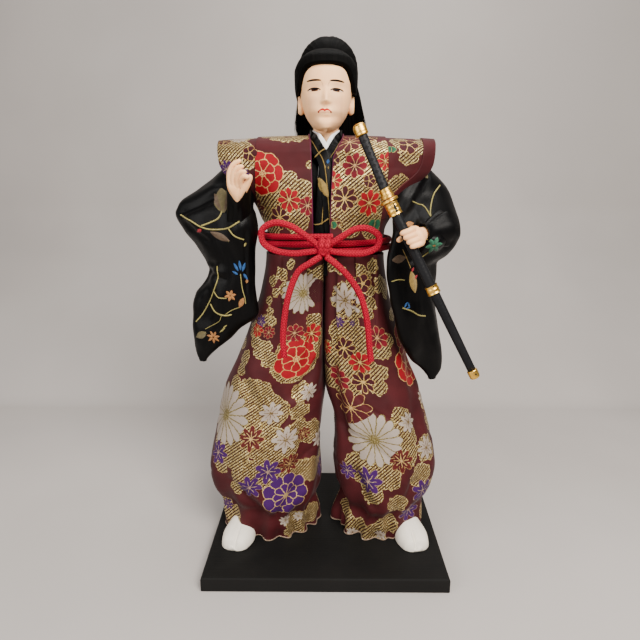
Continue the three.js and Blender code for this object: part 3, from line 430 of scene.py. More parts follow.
def dress(piece: Piece, body: str, slot: str, *nodes: str, finish: Finish) -> Piece:
    """Give a piece its finish and its body, and hide the frame's nodes that it stands for.

    Args:
        piece: the object.
        body: the frame's body that it rides on.
        slot: not used.
        nodes: the frame's nodes that it replaces.
        finish: its material.

    Returns:
        The same object.
    """
    piece.data.materials.clear()
    piece.data.materials.append(finish)
    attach(piece, body)
    if nodes:
        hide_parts(*nodes)
    log.info("%s: %d faces", piece.name, len(piece.data.polygons) if piece.type == "MESH" else 0)
    return piece


def node_call(kind: str, swapped: bool = False) -> Callable[..., "Wire"]:
    """Make one of a wire's operators out of a kind of math node.

    Args:
        kind: the kind of math node.
        swapped: whether the wire is the second side instead of the first.

    Returns:
        The operator, which takes the other sides.
    """

    def run(wire: "Wire", *others: "Feed") -> "Wire":
        """Add the node."""
        return wire.sketch.math(kind, *((*others, wire) if swapped else (wire, *others)))
    return run


class Wire:
    """A value among a material's nodes, with the operators and calls that the finishes use on it."""

    __add__, __sub__, __mul__, __truediv__ = map(node_call, ("ADD", "SUBTRACT", "MULTIPLY", "DIVIDE"))
    __pow__, __lt__, __gt__, __abs__ = map(node_call, ("POWER", "LESS_THAN", "GREATER_THAN", "ABSOLUTE"))
    __rsub__, __rpow__ = node_call("SUBTRACT", True), node_call("POWER", True)
    fit, least, most, root = map(node_call, ("MULTIPLY_ADD", "MINIMUM", "MAXIMUM", "SQRT"))
    sine, cosine, heading, zigzag = map(node_call, ("SINE", "COSINE", "ARCTAN2", "PINGPONG"))
    wrap, away, length = map(node_call, ("WRAP", "DISTANCE", "LENGTH"))

    def __init__(self, sketch: "Sketch", socket: bpy.types.NodeSocket) -> None:
        """Hold one socket of a sketch."""
        self.sketch, self.socket = sketch, socket

    def mix(self, first: "Feed", second: "Feed", kind: str = "RGBA") -> "Wire":
        """Mix two colours, vectors or values by this share."""
        return self.sketch.mix(self, first, second, kind)

    def ramp(self, stops: Sequence[tuple[float, Shade]], steps: bool = False) -> "Wire":
        """Look this value up in a row of shades.

        Args:
            stops: (place, shade) pairs in rising order.
            steps: hold each shade up to the next place instead of blending.

        Returns:
            The colour.
        """
        node = self.sketch.node("ShaderNodeValToRGB", self)
        node.color_ramp.interpolation = "CONSTANT" if steps else "LINEAR"
        elements = node.color_ramp.elements
        for element, (place, shade) in ((elements[0], stops[0]), (elements[1], stops[-1])):
            element.position, element.color = place, (*shade, 1)
        for place, shade in stops[1:-1]:
            elements.new(place).color = (*shade, 1)
        return Wire(self.sketch, node.outputs[0])

    def split(self) -> list["Wire"]:
        """Take a vector or colour apart."""
        return [Wire(self.sketch, part) for part in self.sketch.node("ShaderNodeSeparateXYZ", self).outputs]

    def noise(self, scale: float, detail: float = 2.0, roughness: float = 0.5, output: str | int = 0) -> "Wire":
        """Soft noise around 0.5 at this place.

        Args:
            scale: waves of the noise to a millimetre.
            detail: layers of finer noise.
            roughness: how strong the finer layers are.
            output: which of the noise's outputs is read.

        Returns:
            The noise.
        """
        node = self.sketch.node("ShaderNodeTexNoise", self)
        for name, value in (("Scale", scale), ("Detail", detail), ("Roughness", roughness)):
            node.inputs[name].default_value = value
        return Wire(self.sketch, node.outputs[output])

    def cells(self, scale: float) -> "Wire":
        """How far this place is from the middle of its round cell.

        Args:
            scale: cells to a millimetre.

        Returns:
            The distance.
        """
        node = self.sketch.node("ShaderNodeTexVoronoi", self)
        node.inputs["Scale"].default_value = scale
        return Wire(self.sketch, node.outputs["Distance"])

    def across_to(self, level: "Wire") -> "Wire":
        """The distance that two sides of a right angle give."""
        return self.fit(self, level * level).root()

    def band(self, low: float, high: float) -> "Wire":
        """Rise smoothly from 0 at low to 1 at high, or fall where low is above high.

        Args:
            low: where the rise starts.
            high: where it ends.

        Returns:
            The share, from 0 to 1.
        """
        node = self.sketch.node("ShaderNodeMapRange", self, interpolation_type="SMOOTHSTEP")
        ends = (low, high, 0.0, 1.0) if low < high else (high, low, 1.0, 0.0)
        for socket, end in zip(node.inputs[1:5], ends):
            socket.default_value = end
        return Wire(self.sketch, node.outputs[0])

    def stripes(self, pitch: float) -> "Wire":
        """Rounded stripes from 0 to 1 with one pitch."""
        return (self * (TURN / pitch)).sine().fit(0.5, 0.5)


Feed = Wire | float | tuple


class Sketch:
    """One material's nodes, with short calls for those that the finishes start from."""

    def __init__(self, name: str) -> None:
        """Start an empty material of a name.

        Args:
            name: the material's name.
        """
        self.material = bpy.data.materials.new(name)
        self.material.use_nodes = True
        self.tree = self.material.node_tree
        self.tree.nodes.clear()
        self.output = self.tree.nodes.new("ShaderNodeOutputMaterial")

    def node(self, kind: str, *feeds: Feed, **settings: object) -> bpy.types.Node:
        """Add a node with some of its settings, and feed its first sockets.

        Args:
            kind: the node's type.
            feeds: what its first sockets are given.
            settings: the node's own settings.

        Returns:
            The node.
        """
        node = self.tree.nodes.new(kind)
        for name, value in settings.items():
            setattr(node, name, value)
        for socket, value in zip(node.inputs, feeds):
            self.feed(socket, value)
        return node

    def feed(self, socket: bpy.types.NodeSocket, value: Feed) -> None:
        """Link a socket to a wire, or set its own value.

        Args:
            socket: the socket to fill.
            value: a wire, or the value itself.
        """
        if isinstance(value, Wire):
            self.tree.links.new(value.socket, socket)
        elif socket.type == "RGBA":
            socket.default_value = (*value, 1.0)
        else:
            socket.default_value = value

    def math(self, operation: str, *sides: Feed) -> Wire:
        """Add one math node, for vectors where a side is a tuple, and return its result.

        Args:
            operation: the kind of math node.
            sides: what it works on.

        Returns:
            The result.
        """
        flat = operation != "LENGTH" and (not any((isinstance(side, tuple) for side in sides)))
        kind, blank = ("ShaderNodeMath", 0.0) if flat else ("ShaderNodeVectorMath", (0, 0, 0))
        node = self.node(kind, *(*sides, blank, blank)[:3], operation=operation)
        return Wire(self, node.outputs["Value" if flat or operation in ("LENGTH", "DISTANCE") else "Vector"])

    def mix(self, share: Feed, first: Feed, second: Feed, kind: str = "RGBA") -> Wire:
        """Mix two colours, vectors or values by a share.

        Args:
            share: how much of the second one is taken.
            first: what there is at 0.
            second: what there is at 1.
            kind: what is mixed: colours, vectors or values.

        Returns:
            The mix.
        """
        node = self.node("ShaderNodeMix", share, data_type=kind)
        ends = {"FLOAT": (2, 3, 0), "VECTOR": (4, 5, 1), "RGBA": (6, 7, 2)}[kind]
        self.feed(node.inputs[ends[0]], first)
        self.feed(node.inputs[ends[1]], second)
        return Wire(self, node.outputs[ends[2]])

    def cloth(self) -> Wire:
        """The flat place on the cloth, in millimetres."""
        return Wire(self, self.node("ShaderNodeUVMap", uv_map="cloth").outputs[0])

    def space(self) -> Wire:
        """The place in the frame, in millimetres."""
        return Wire(self, self.node("ShaderNodeTexCoord").outputs["Object"]) * (1000, 1000, 1000)

    def edge(self) -> Wire:
        """How far the surface bulges, above 0.5 at outer edges and below it in creases."""
        return Wire(self, self.node("ShaderNodeNewGeometry").outputs["Pointiness"])

    def surface(self, color: Feed, roughness: Feed, metallic: Feed = 0.0, height: Wire | None = None,
            depth: float = 0.1, **plain: float | tuple) -> Finish:
        """Finish the material with one principled shader.

        Args:
            color: base colour.
            roughness: of the surface.
            metallic: share of metal.
            height: relief from 0 to 1, if any.
            depth: of that relief, in millimetres.
            plain: other sockets by name with underscores, each the same all over.

        Returns:
            The material.
        """
        shader = self.node("ShaderNodeBsdfPrincipled")
        fed = {"Base_Color": color, "Roughness": roughness, "Metallic": metallic, "Specular_IOR_Level": 0.2}
        for name, value in (fed | plain).items():
            self.feed(shader.inputs[name.replace("_", " ")], value)
        if height is not None:
            relief = self.node("ShaderNodeBump")
            relief.inputs["Strength"].default_value = 1.0
            relief.inputs["Distance"].default_value = depth * MM
            self.feed(relief.inputs["Height"], height)
            self.tree.links.new(relief.outputs[0], shader.inputs["Normal"])
        self.tree.links.new(shader.outputs[0], self.output.inputs["Surface"])
        return self.material


class Kind(Enum):
    """The figures woven into the brocade."""

    RED_EIGHT = 0
    MAROON_EIGHT = 1
    MAROON_FIVE = 2
    PEONY = 3
    LEAF = 4
    CHRYSANTHEMUM = 5
    WHITE_STAR = 6
    RUST_STAR = 7
    PURPLE_STAR = 8
    PURPLE_OPEN = 9
    GREEN_LEAF = 10
    CRIMSON_EIGHT = 11
    PLAIN = 12


MAROON: Shade = (0.036, 0.0042, 0.0056)
GOLD_THREAD: Shade = (0.5, 0.31, 0.085)
DARK_GOLD: Shade = (0.022, 0.01, 0.004)
RED_SILK: Shade = (0.25, 0.0015, 0.0075)
WHITE_SILK: Shade = (0.32, 0.265, 0.225)
PURPLE_SILK: Shade = (0.04, 0.0055, 0.08)
GREEN_SILK: Shade = (0.012, 0.1, 0.045)


@dataclass(frozen=True)
class Figure:
    """How one kind of figure is drawn.

    Attributes:
        petals: number of petals.
        notch: how far in the rim comes between petals, as a share of the radius.
        line: half width of the outline threads, as a share of the radius.
        heart: radius of the middle, as a share.
        inner: size of the second ring of petals, as a share, or 0.
        shade: the petals' silk.
        deep: the silk towards the middle.
        thread: the outline threads.
        point: how pointed the petals are; pointed ones have veins down their middles.
    """

    petals: int
    notch: float
    line: float
    heart: float
    inner: float
    shade: Shade
    deep: Shade
    thread: Shade
    point: float = 0.55


FIGURES: dict[Kind, Figure] = {
    Kind.RED_EIGHT: Figure(8, 0.58, 0.024, 0.1, 0.0, RED_SILK, (0.1, 0.002, 0.005), GOLD_THREAD, 0.8),
    Kind.MAROON_EIGHT: Figure(8, 0.54, 0.034, 0.1, 0.0, (0.04, 0.004, 0.007), (0.02, 0.003, 0.005), GOLD_THREAD, 0.8),
    Kind.MAROON_FIVE: Figure(5, 0.66, 0.028, 0.16, 0.0, (0.04, 0.004, 0.007), (0.022, 0.003, 0.005), GOLD_THREAD),
    Kind.PEONY: Figure(7, 0.84, 0.018, 0.14, 0.64, RED_SILK, (0.2, 0.0015, 0.005), (0.54, 0.3, 0.1)),
    Kind.LEAF: Figure(9, 0.62, 0.02, 0.04, 0.0, (0.06, 0.006, 0.008), (0.045, 0.005, 0.008), (0.4, 0.22, 0.07), 1.0),
    Kind.CHRYSANTHEMUM: Figure(
        17, 0.72, 0.019, 0.08, 0.0, WHITE_SILK, (0.29, 0.24, 0.18), (0.075, 0.058, 0.016), 0.7),
    Kind.WHITE_STAR: Figure(8, 0.5, 0.028, 0.09, 0.0, WHITE_SILK, (0.28, 0.22, 0.18), (0.045, 0.018, 0.01), 1.25),
    Kind.RUST_STAR: Figure(
        8, 0.48, 0.026, 0.08, 0.0, (0.075, 0.008, 0.007), (0.045, 0.006, 0.006), (0.42, 0.25, 0.09), 1.25),
    Kind.PURPLE_STAR: Figure(7, 0.5, 0.022, 0.08, 0.0, PURPLE_SILK, (0.026, 0.005, 0.06), (0.26, 0.16, 0.14), 1.25),
    Kind.PURPLE_OPEN: Figure(9, 0.8, 0.018, 0.12, 0.56, PURPLE_SILK, (0.046, 0.006, 0.092), (0.46, 0.3, 0.12)),
    Kind.CRIMSON_EIGHT: Figure(
        8, 0.66, 0.022, 0.11, 0.0, (0.135, 0.003, 0.01), (0.05, 0.004, 0.008), (0.4, 0.2, 0.09), 0.8),
    Kind.PLAIN: Figure(8, 0.9, 0.001, 0.0, 0.0, MAROON, MAROON, MAROON),
    Kind.GREEN_LEAF: Figure(2, 0.3, 0.05, 0.03, 0.0, GREEN_SILK, (0.008, 0.045, 0.022), (0.22, 0.17, 0.05))}


@dataclass(frozen=True)
class Brocade:
    """Silk brocade: a maroon ground with gold hatched clouds and flowers woven in coloured silk.

    Attributes:
        name: the material's name.
        blooms: for each kind of figure, where it stands: across, up and its radius, in millimetres.
        clouds: the round lobes of its gold clouds: across, up and radius.
        hatch: millimetres from one gold thread of the hatching to the next.
        width: of the cloth after which the figures come again, or 0.
    """

    name: str
    blooms: dict[Kind, tuple[Place, ...]]
    clouds: tuple[Place, ...]
    hatch: float = 2.5
    width: float = 0.0

    def build(self) -> Finish:
        """Make the material.

        Returns:
            The finished material.
        """
        sketch = Sketch(self.name)
        flat = sketch.cloth()
        loose = flat.noise(0.5, 1.0, output="Color") - (0.5, 0.5, 0.5)
        place = loose.fit((1.3, 1.3, 0), flat)
        if self.width:
            half = self.width / 2
            place = place.wrap((half, 1000, 1), (-half, -1000, -1))
        torn = flat.noise(0.5, 2.0, 0.6) - 0.5
        scallop = 0.45 - flat.cells(0.26)
        cloud = scallop.fit(2.6, self.cloud(place))
        cloud = torn.fit(1.8, cloud)
        petal, line, silk, thread = self.figures(sketch, place)
        across, up, _ = flat.split()
        slant = across - up * 1.15
        glint = flat.noise(1.3, 2.0, 0.75)
        ragged = (flat.noise(0.35, 2.0) - 0.5) * 0.9
        threads = (slant.stripes(self.hatch) + ragged).band(0.36, 0.62)
        worn = flat.noise(0.055, 2.0)
        rib = (across + up).stripes(0.8)
        ground = worn.band(0.3, 0.75).mix(MAROON, (0.062, 0.0075, 0.0095))
        ground = (rib * 0.3).mix(ground, (0.026, 0.005, 0.007))
        # The gold thread's colour runs from dark dips to bright spots with the glint noise: painted glints on the
        # metal thread, also used for the outline threads below.
        gold = glint.ramp([(0.36, (0.085, 0.048, 0.01)), (0.5, (0.34, 0.235, 0.066)), (0.64, (0.92, 0.78, 0.42))])
        hatched = threads.mix(sketch.mix(0.55, ground, DARK_GOLD), gold)
        inside = cloud.band(0.0, 0.2)
        color = inside.mix(ground, hatched)
        rim = inside * cloud.band(0.8, 0.6)
        color = rim.mix(color, gold)
        shine = (inside * threads).most(rim) * 0.62
        silk = (rib * 0.22).mix(silk, (0.02, 0.008, 0.01))
        color = petal.mix(color, silk)
        color = line.mix(color, glint.mix(thread, sketch.mix(0.5, thread, gold)))
        shine = shine * (1.0 - petal)
        shine = shine.most(line * 0.35)
        weave = rib * 0.25
        raised = (threads * inside).most(petal * 0.8)
        height = weave + raised.most(line)
        roughness = shine.fit(-0.35, 0.62)
        return sketch.surface(color, roughness, shine, height, 0.09, Sheen_Weight=0.03, Sheen_Roughness=0.4,
            Specular_IOR_Level=0.15)

    def cloud(self, place: Wire) -> Wire:
        """Find how far a place on the cloth lies inside the clouds, in millimetres.

        Args:
            place: the place on the cloth.

        Returns:
            The depth inside the nearest lobe, below 0 outside.
        """
        depth: Feed = -99.0
        for across, up, radius in self.clouds:
            mine = radius - place.away((across, up, 0))
            depth = mine.most(depth)
        return depth

    def figures(self, sketch: Sketch, place: Wire) -> tuple[Wire, Wire, Wire, Wire]:
        """Draw the flower or leaf that is nearest to each place.

        Args:
            sketch: the material's nodes.
            place: the place on the cloth.

        Returns:
            Share of petal, share of outline, the petal's colour and the outline's colour.
        """
        best: Feed = 99.0
        local: Feed = (9.0, 9.0, 0.0)
        kind: Feed = 0.0
        count = len(Kind)
        for one, (across, up, radius) in [(one, at) for one, places in self.blooms.items() for at in places]:
            shift = (-across / radius, -up / radius, 0)
            share = (1 / radius, 1 / radius, 0)
            mine = place.fit(share, shift)
            away = mine.length()
            closer = away < best
            local = closer.mix(local, mine, "VECTOR")
            kind = closer.mix(kind, (one.value + 0.5) / count, "FLOAT")
            best = sketch.math("MINIMUM", best, away)

        def lookup(read: Callable[[Figure], Shade]) -> Wire:
            """Read one thing off the nearest figure's kind."""
            return kind.ramp([(one.value / count, read(FIGURES[one])) for one in Kind], steps=True)
        form = lookup(lambda one: (one.petals / 32, one.notch, one.line * 4)).split()
        more = lookup(lambda one: (one.heart, one.inner, one.point / 4)).split()
        along, aside, _ = local.split()
        half = aside.heading(along) * (form[0] * 16.0)
        outer_petal = abs(half.cosine())
        inner_petal = abs(half.sine())
        notch, width = form[1], form[2] * 0.25
        room = 1.0 - notch
        sharp = more[2] * 4.0
        veined = sharp > 1.2

        def rim(petal: Wire) -> Wire:
            """Radius of a ring of petals at this angle."""
            return (petal ** sharp).fit(room, notch)
        outer = rim(outer_petal) - best
        inner = rim(inner_petal) * more[1] - best
        in_inner = inner > 0.0
        petal = in_inner.mix(outer_petal, inner_petal, "FLOAT")
        edge = in_inner.mix(outer, inner, "FLOAT")
        edge = edge.least(abs(inner))
        plain = more[1] < 0.01
        edge = plain.mix(edge, outer, "FLOAT")
        beside = veined.mix(petal, inner_petal, "FLOAT") * best
        between = beside / (form[0] * 16.0)
        between = best.band(0.56, 0.62).fit(veined, between)
        heart = abs(best - more[0])
        nearest = abs(edge).least(between).least(heart)
        inside = outer.band(-0.02, 0.02)
        ratio = nearest / width
        line = ratio.band(1.25, 0.75) * outer.band(-0.07, -0.03)
        silk = best.band(0.65, 0.2).mix(lookup(lambda one: one.shade), lookup(lambda one: one.deep))
        return inside, line, silk, lookup(lambda one: one.thread)


@dataclass(frozen=True)
class Satin:
    """Smooth woven satin in one colour, with a fine slanting weave."""

    name: str
    shade: Shade
    worn: Shade
    roughness: float = 0.38
    sheen: float = 0.0
    shine: float = 0.16

    def build(self) -> Finish:
        """Make the material.

        Returns:
            The finished material.
        """
        sketch = Sketch(self.name)
        flat = sketch.cloth()
        across, up, _ = flat.split()
        twill = up.fit(0.45, across).stripes(0.55)
        drift = (flat * (0.35, 0.03, 1)).noise(1.0, 3.0)
        color = drift.band(0.3, 0.8).mix(self.shade, self.worn)
        roughness = drift.fit(0.16, self.roughness - 0.08)
        slub = (flat * (3.0, 0.2, 1)).noise(1.0, 2.0)
        height = twill * 0.6 + slub * 0.5
        return sketch.surface(color, roughness, 0.0, height, 0.035, Sheen_Weight=self.sheen, Sheen_Roughness=0.35,
            Anisotropic=0.4, Specular_IOR_Level=self.shine)


@dataclass(frozen=True)
class Thread:
    """Embroidery thread laid in short slanting stitches, with painted shade between the stitches."""

    name: str
    shade: Shade
    deep: Shade
    metallic: float = 0.0
    slant: float = 0.8

    def build(self) -> Finish:
        """Make the material.

        Returns:
            The finished material.
        """
        sketch = Sketch(self.name)
        across, up, _ = sketch.cloth().split()
        stitch = across.fit(self.slant, up).stripes(0.5)
        drift = sketch.cloth().noise(0.6, 2.0)
        # The deep colour is painted shade in the grooves between stitches, and drift also darkens it at random
        # places.
        color = (stitch * drift.band(0.1, 0.9)).mix(self.deep, self.shade)
        return sketch.surface(color, 0.42, self.metallic, stitch, 0.12, Sheen_Weight=0.05, Sheen_Roughness=0.4)


@dataclass(frozen=True)
class Knitted:
    """Red yarn of the knitted waist cord, with painted shade down in the stitches and painted light on their ridges.
    """

    name: str = "knitted red cord"
    loop: float = 0.9166

    def build(self) -> Finish:
        """Make the material.

        Returns:
            The finished material.
        """
        sketch = Sketch(self.name)
        around, along, _ = sketch.cloth().split()
        lean = around.zigzag(self.loop)
        stitch = lean.fit(1.75, along).stripes(1.6)
        groove = lean.band(0.0, 0.22) * lean.band(self.loop, self.loop - 0.14)
        ridge = stitch.band(0.05, 0.6) * groove
        fuzz = sketch.cloth().noise(3.0, 2.0)
        drift = sketch.space().noise(0.05, 2.0)
        # deep is painted shade for the yarn in the grooves between stitches, and lit is painted light on the stitch
        # ridges; drift and fuzz vary both at random.
        deep = drift.band(0.3, 0.7).mix((0.13, 0.0006, 0.003), (0.17, 0.0008, 0.004))
        lit = fuzz.mix((0.36, 0.001, 0.02), (0.54, 0.002, 0.038))
        color = ridge.mix(deep, lit)
        height = fuzz.fit(0.3, ridge)
        return sketch.surface(color, 0.62, 0.0, height, 0.2, Sheen_Weight=0.02, Sheen_Roughness=0.5,
            Specular_IOR_Level=0.1)


@dataclass(frozen=True)
class Flesh:
    """Painted composition skin of the hands, with painted shade darkening its creases."""

    name: str = "painted hands"

    def build(self) -> Finish:
        """Make the material.

        Returns:
            The finished material.
        """
        sketch = Sketch(self.name)
        place = sketch.space()
        drift = place.noise(0.22, 3.0)
        hollow = sketch.edge()
        color = drift.band(0.3, 0.7).mix((0.88, 0.45, 0.205), (0.94, 0.52, 0.25))
        # Painted shade: the skin turns darker and browner where the surface is hollow, in the creases between fingers
        # and knuckles.
        color = hollow.band(0.49, 0.44).mix(color, (0.5, 0.2, 0.11))
        grain = place.noise(2.4, 2.0)
        return sketch.surface(color, grain.fit(0.12, 0.38), 0.0, grain, 0.03, Subsurface_Weight=0.08,
            Subsurface_Radius=(0.0012, 0.0005, 0.0003), Subsurface_Scale=1.0)


@dataclass(frozen=True)
class PaintedFace:
    """Ivory skin of the head with the painted brows, eyes and mouth.

    The places are across and up in millimetres, from the head's mirror line and the board's underside.
    """

    middle: float = -0.4
    drop: float = 0.03
    brow: Place = (6.1, 280.0, 3.85)
    eye: Place = (6.05, 275.35, 3.6)
    mouth: Place = (-0.35, 264.6, 3.4)
    name: str = "painted face"

    def build(self) -> Finish:
        """Make the material.

        Returns:
            The finished material.
        """
        sketch = Sketch(self.name)
        flat = sketch.cloth()
        across, up, _ = flat.split()
        across = across - self.middle
        up = across.fit(self.drop, up)
        aside = abs(across)
        blush = sketch.space().noise(0.09, 2.0)
        color = blush.band(0.35, 0.7).mix((0.95, 0.53, 0.26), (0.99, 0.6, 0.315))
        cheek = self.spot(aside, up, 7.6, 269.5, 5.0)
        color = (cheek * 0.14).mix(color, (0.8, 0.4, 0.3))
        color = self.eyes(color, aside, up)
        color = self.brows(color, aside, up)
        color = self.lips(color, across, up)
        # Painted shade under the nose, at both nostrils.
        for place in (2.35, 1.5):
            nostril_shade = self.spot(aside, up, place, 268.7, 0.5)
            color = (nostril_shade * 0.22).mix(color, (0.42, 0.18, 0.12))
        grain = sketch.space().noise(1.6, 3.0)
        return sketch.surface(color, grain.fit(0.14, 0.33), 0.0, grain, 0.012, Subsurface_Weight=0.02,
            Subsurface_Radius=(0.0012, 0.0006, 0.0004), Subsurface_Scale=1.0, Specular_IOR_Level=0.07)

    def spot(self, aside: Wire, up: Wire, across: float, level: float, radius: float) -> Wire:
        """A soft round spot on both sides.

        Args:
            aside: how far each place is from the mirror line, either way.
            up: the level of each place.
            across: the spot's middle, from the mirror line.
            level: the level of its middle.
            radius: where it has faded out.

        Returns:
            How strong the spot is, from 0 to 1.
        """
        dx = aside - across
        dz = up - level
        away = dx.across_to(dz)
        return away.band(radius, 0.0)

    def bow(self, place: Wire, middle: float, half: float) -> Wire:
        """One at the middle of a feature, falling to nothing at its two ends."""
        share = (place - middle) / half
        return (share * share).fit(-1.0, 1.0).most(0.0)

    def stroke(self, away: Wire, half: Feed, soft: float = 0.16) -> Wire:
        """A brush stroke of a half width about a line, with soft edges."""
        over = abs(away) - half
        return over.band(soft, -soft)

    def brows(self, color: Wire, aside: Wire, up: Wire) -> Wire:
        """Paint both brows: slim strokes, thickest at the middle.

        Args:
            color: the skin painted so far.
            aside: how far each place is from the mirror line, either way.
            up: the level of each place.

        Returns:
            The skin with the brows.
        """
        middle, level, half = self.brow
        bow = self.bow(aside, middle, half)
        line = bow.fit(0.25, level - 0.15)
        away = up - line
        width = (bow ** 0.3).fit(0.62, -0.1)
        brow = self.stroke(away, width, 0.13)
        dx = aside - 4.6
        dz = up - 277.0
        reach = dx.across_to(dz)
        frown = self.stroke(reach - 3.3, 0.06, 0.26)
        frown = frown * dx.band(-0.2, -1.2)
        frown = frown * dz.band(-0.6, 0.6)
        color = (frown * 0.75).mix(color, (0.18, 0.06, 0.03))
        return brow.mix(color, (0.008, 0.003, 0.002))

    def eyes(self, color: Wire, aside: Wire, up: Wire) -> Wire:
        """Paint both eyes: the white darkened by painted shade, brown iris, pupil, lid lines, painted shade in the
        fold above and a painted shadow over the upper lid.

        Args:
            color: the skin painted so far.
            aside: how far each place is from the mirror line, either way.
            up: the level of each place.

        Returns:
            The skin with the eyes.
        """
        middle, level, half = self.eye
        bow = self.bow(aside, middle, half)
        lid = (bow ** 0.7).fit(1.05, level)
        low = bow.fit(-0.5, level)
        opening = (lid - up).least(up - low)
        inside = opening.band(-0.05, 0.12)
        dx = aside - (middle - 0.35)
        dz = up - (level + 0.34)
        away = dx.across_to(dz)
        # The eye's white is painted darker, as shade under the lid.
        ball = away.band(1.95, 1.65).mix((0.66, 0.46, 0.33), (0.026, 0.007, 0.003))
        ball = away.band(0.8, 0.5).mix(ball, (0.003, 0.001, 0.001))
        # fold: painted shade along the fold above the lid.
        fold = self.stroke(up - (lid + 1.0), 0.02, 0.22)
        fold = fold * bow.band(0.05, 0.4)
        color = (fold * 0.5).mix(color, (0.24, 0.09, 0.05))
        shadow = (up - lid).band(1.2, 0.0) * bow.band(0.0, 0.5)
        color = (shadow * 0.16).mix(color, (0.36, 0.17, 0.11))
        color = inside.mix(color, ball)
        under = self.stroke(up - low, 0.04, 0.14)
        under = under * bow.band(0.02, 0.3)
        color = (under * 0.55).mix(color, (0.2, 0.09, 0.06))
        width = bow.root().fit(0.34, 0.16)
        upper = self.stroke(up - lid, width, 0.13)
        upper = upper * bow.band(0.0, 0.06)
        return upper.mix(color, (0.004, 0.0015, 0.001))

    def lips(self, color: Wire, across: Wire, up: Wire) -> Wire:
        """Paint the small mouth: a red line with two peaks, its corners turned down and darker.

        Args:
            color: the skin painted so far.
            across: how far each place is from the mirror line.
            up: the level of each place.

        Returns:
            The skin with the mouth.
        """
        middle, level, half = self.mouth
        bow = self.bow(across, middle, half)
        dx = across - middle
        dip = 2.7183 ** (dx * dx * -2.2)
        line = (bow ** 0.7).fit(1.45, level)
        line = dip.fit(-0.62, line)
        away = up - line
        lip = self.stroke(away, bow.fit(0.34, 0.24), 0.13)
        lip = lip * bow.band(0.0, 0.08)
        lower = self.stroke(away + 1.0, bow * 0.7, 0.5)
        lower = lower * bow.band(0.1, 0.8)
        color = (lower * 0.3).mix(color, (0.7, 0.16, 0.1))
        color = lip.mix(color, (0.36, 0.002, 0.003))
        corner_x = abs(dx) - (half - 0.12)
        corner_z = up - (level + 0.05)
        corner = corner_x.across_to(corner_z).band(0.62, 0.36)
        return corner.mix(color, (0.16, 0.004, 0.006))


@dataclass(frozen=True)
class Tresses:
    """Combed black silk hair: fine strands along the cloth's second direction, with lighter strands and locks that
    are partly the hair's own tone and partly painted sheen.
    """

    name: str
    gloss: float = 0.3
    shade: Shade = (0.0012, 0.0012, 0.0012)

    def build(self) -> Finish:
        """Make the material.

        Returns:
            The finished material.
        """
        sketch = Sketch(self.name)
        flat = sketch.cloth()
        strand = (flat * (3.4, 0.05, 1)).noise(1.0, 3.0, 0.6)
        fine = (flat * (9.0, 0.08, 1)).noise(1.0, 2.0, 0.6)
        lock = (flat * (0.35, 0.02, 1)).noise(1.0, 2.0)
        # Lighter strands and locks, spread at random: partly the hair's own tone, partly painted sheen on the hair.
        color = strand.band(0.42, 0.75).mix(self.shade, (0.0036, 0.0032, 0.003))
        color = (lock.band(0.4, 0.8) * 0.5).mix(color, (0.0046, 0.004, 0.0036))
        roughness = fine.fit(0.3, self.gloss)
        height = fine.fit(0.5, strand)
        return sketch.surface(color, roughness, 0.0, height, 0.12, Anisotropic=0.5, Specular_IOR_Level=0.026)


@dataclass(frozen=True)
class Gilding:
    """Satin gold of the sword's fittings, duller where it has been handled."""

    name: str = "gilded fittings"

    def build(self) -> Finish:
        """Make the material.

        Returns:
            The finished material.
        """
        sketch = Sketch(self.name)
        place = sketch.space()
        drift = place.noise(0.5, 3.0)
        scratch = (place * (2.0, 2.0, 9.0)).noise(1.0, 2.0)
        edge = sketch.edge()
        color = drift.band(0.3, 0.75).mix((0.74, 0.4, 0.055), (0.88, 0.56, 0.12))
        color = (edge.band(0.47, 0.4) * 0.7).mix(color, (0.22, 0.11, 0.03))
        roughness = scratch.fit(0.22, 0.2)
        return sketch.surface(color, roughness, 1.0, scratch, 0.03)


@dataclass(frozen=True)
class GripWrap:
    """Dark leather tape wound crosswise round the sword's grip."""

    name: str = "wound grip"

    def build(self) -> Finish:
        """Make the material.

        Returns:
            The finished material.
        """
        sketch = Sketch(self.name)
        around, along, _ = sketch.cloth().split()
        one = around.fit(0.62, along).stripes(3.1)
        two = around.fit(-0.62, along).stripes(3.1)
        tape = one.band(0.35, 0.6).most(two.band(0.35, 0.6))
        pores = sketch.cloth().noise(2.6, 3.0, 0.65)
        color = tape.mix((0.002, 0.002, 0.0025), (0.0085, 0.0085, 0.01))
        color = (pores.band(0.5, 0.8) * 0.5).mix(color, (0.018, 0.018, 0.021))
        height = pores.fit(0.4, tape)
        return sketch.surface(color, pores.fit(0.25, 0.4), 0.0, height, 0.22)


@dataclass(frozen=True)
class Paint:
    """Brushed or sprayed paint with a little dust and rubbed edges."""

    name: str
    shade: Shade
    rubbed: Shade
    roughness: float
    grain: float = 0.12
    speck: float = 0.25
    shine: float = 0.1

    def build(self) -> Finish:
        """Make the material.

        Returns:
            The finished material.
        """
        sketch = Sketch(self.name)
        place = sketch.space()
        drift = place.noise(0.035, 4.0)
        fine = place.noise(1.2, 3.0, 0.6)
        brush = (place * (0.02, 0.9, 0.9)).noise(1.0, 2.0)
        edge = sketch.edge()
        color = (drift.band(0.4, 0.75) * 0.5).mix(self.shade, self.rubbed)
        color = (fine.band(0.6, 0.8) * self.speck).mix(color, self.rubbed)
        color = (edge.band(0.53, 0.6) * 0.6).mix(color, self.rubbed)
        roughness = brush.fit(0.16, self.roughness - 0.05)
        height = fine + brush
        return sketch.surface(color, roughness, 0.0, height, self.grain, Specular_IOR_Level=self.shine)


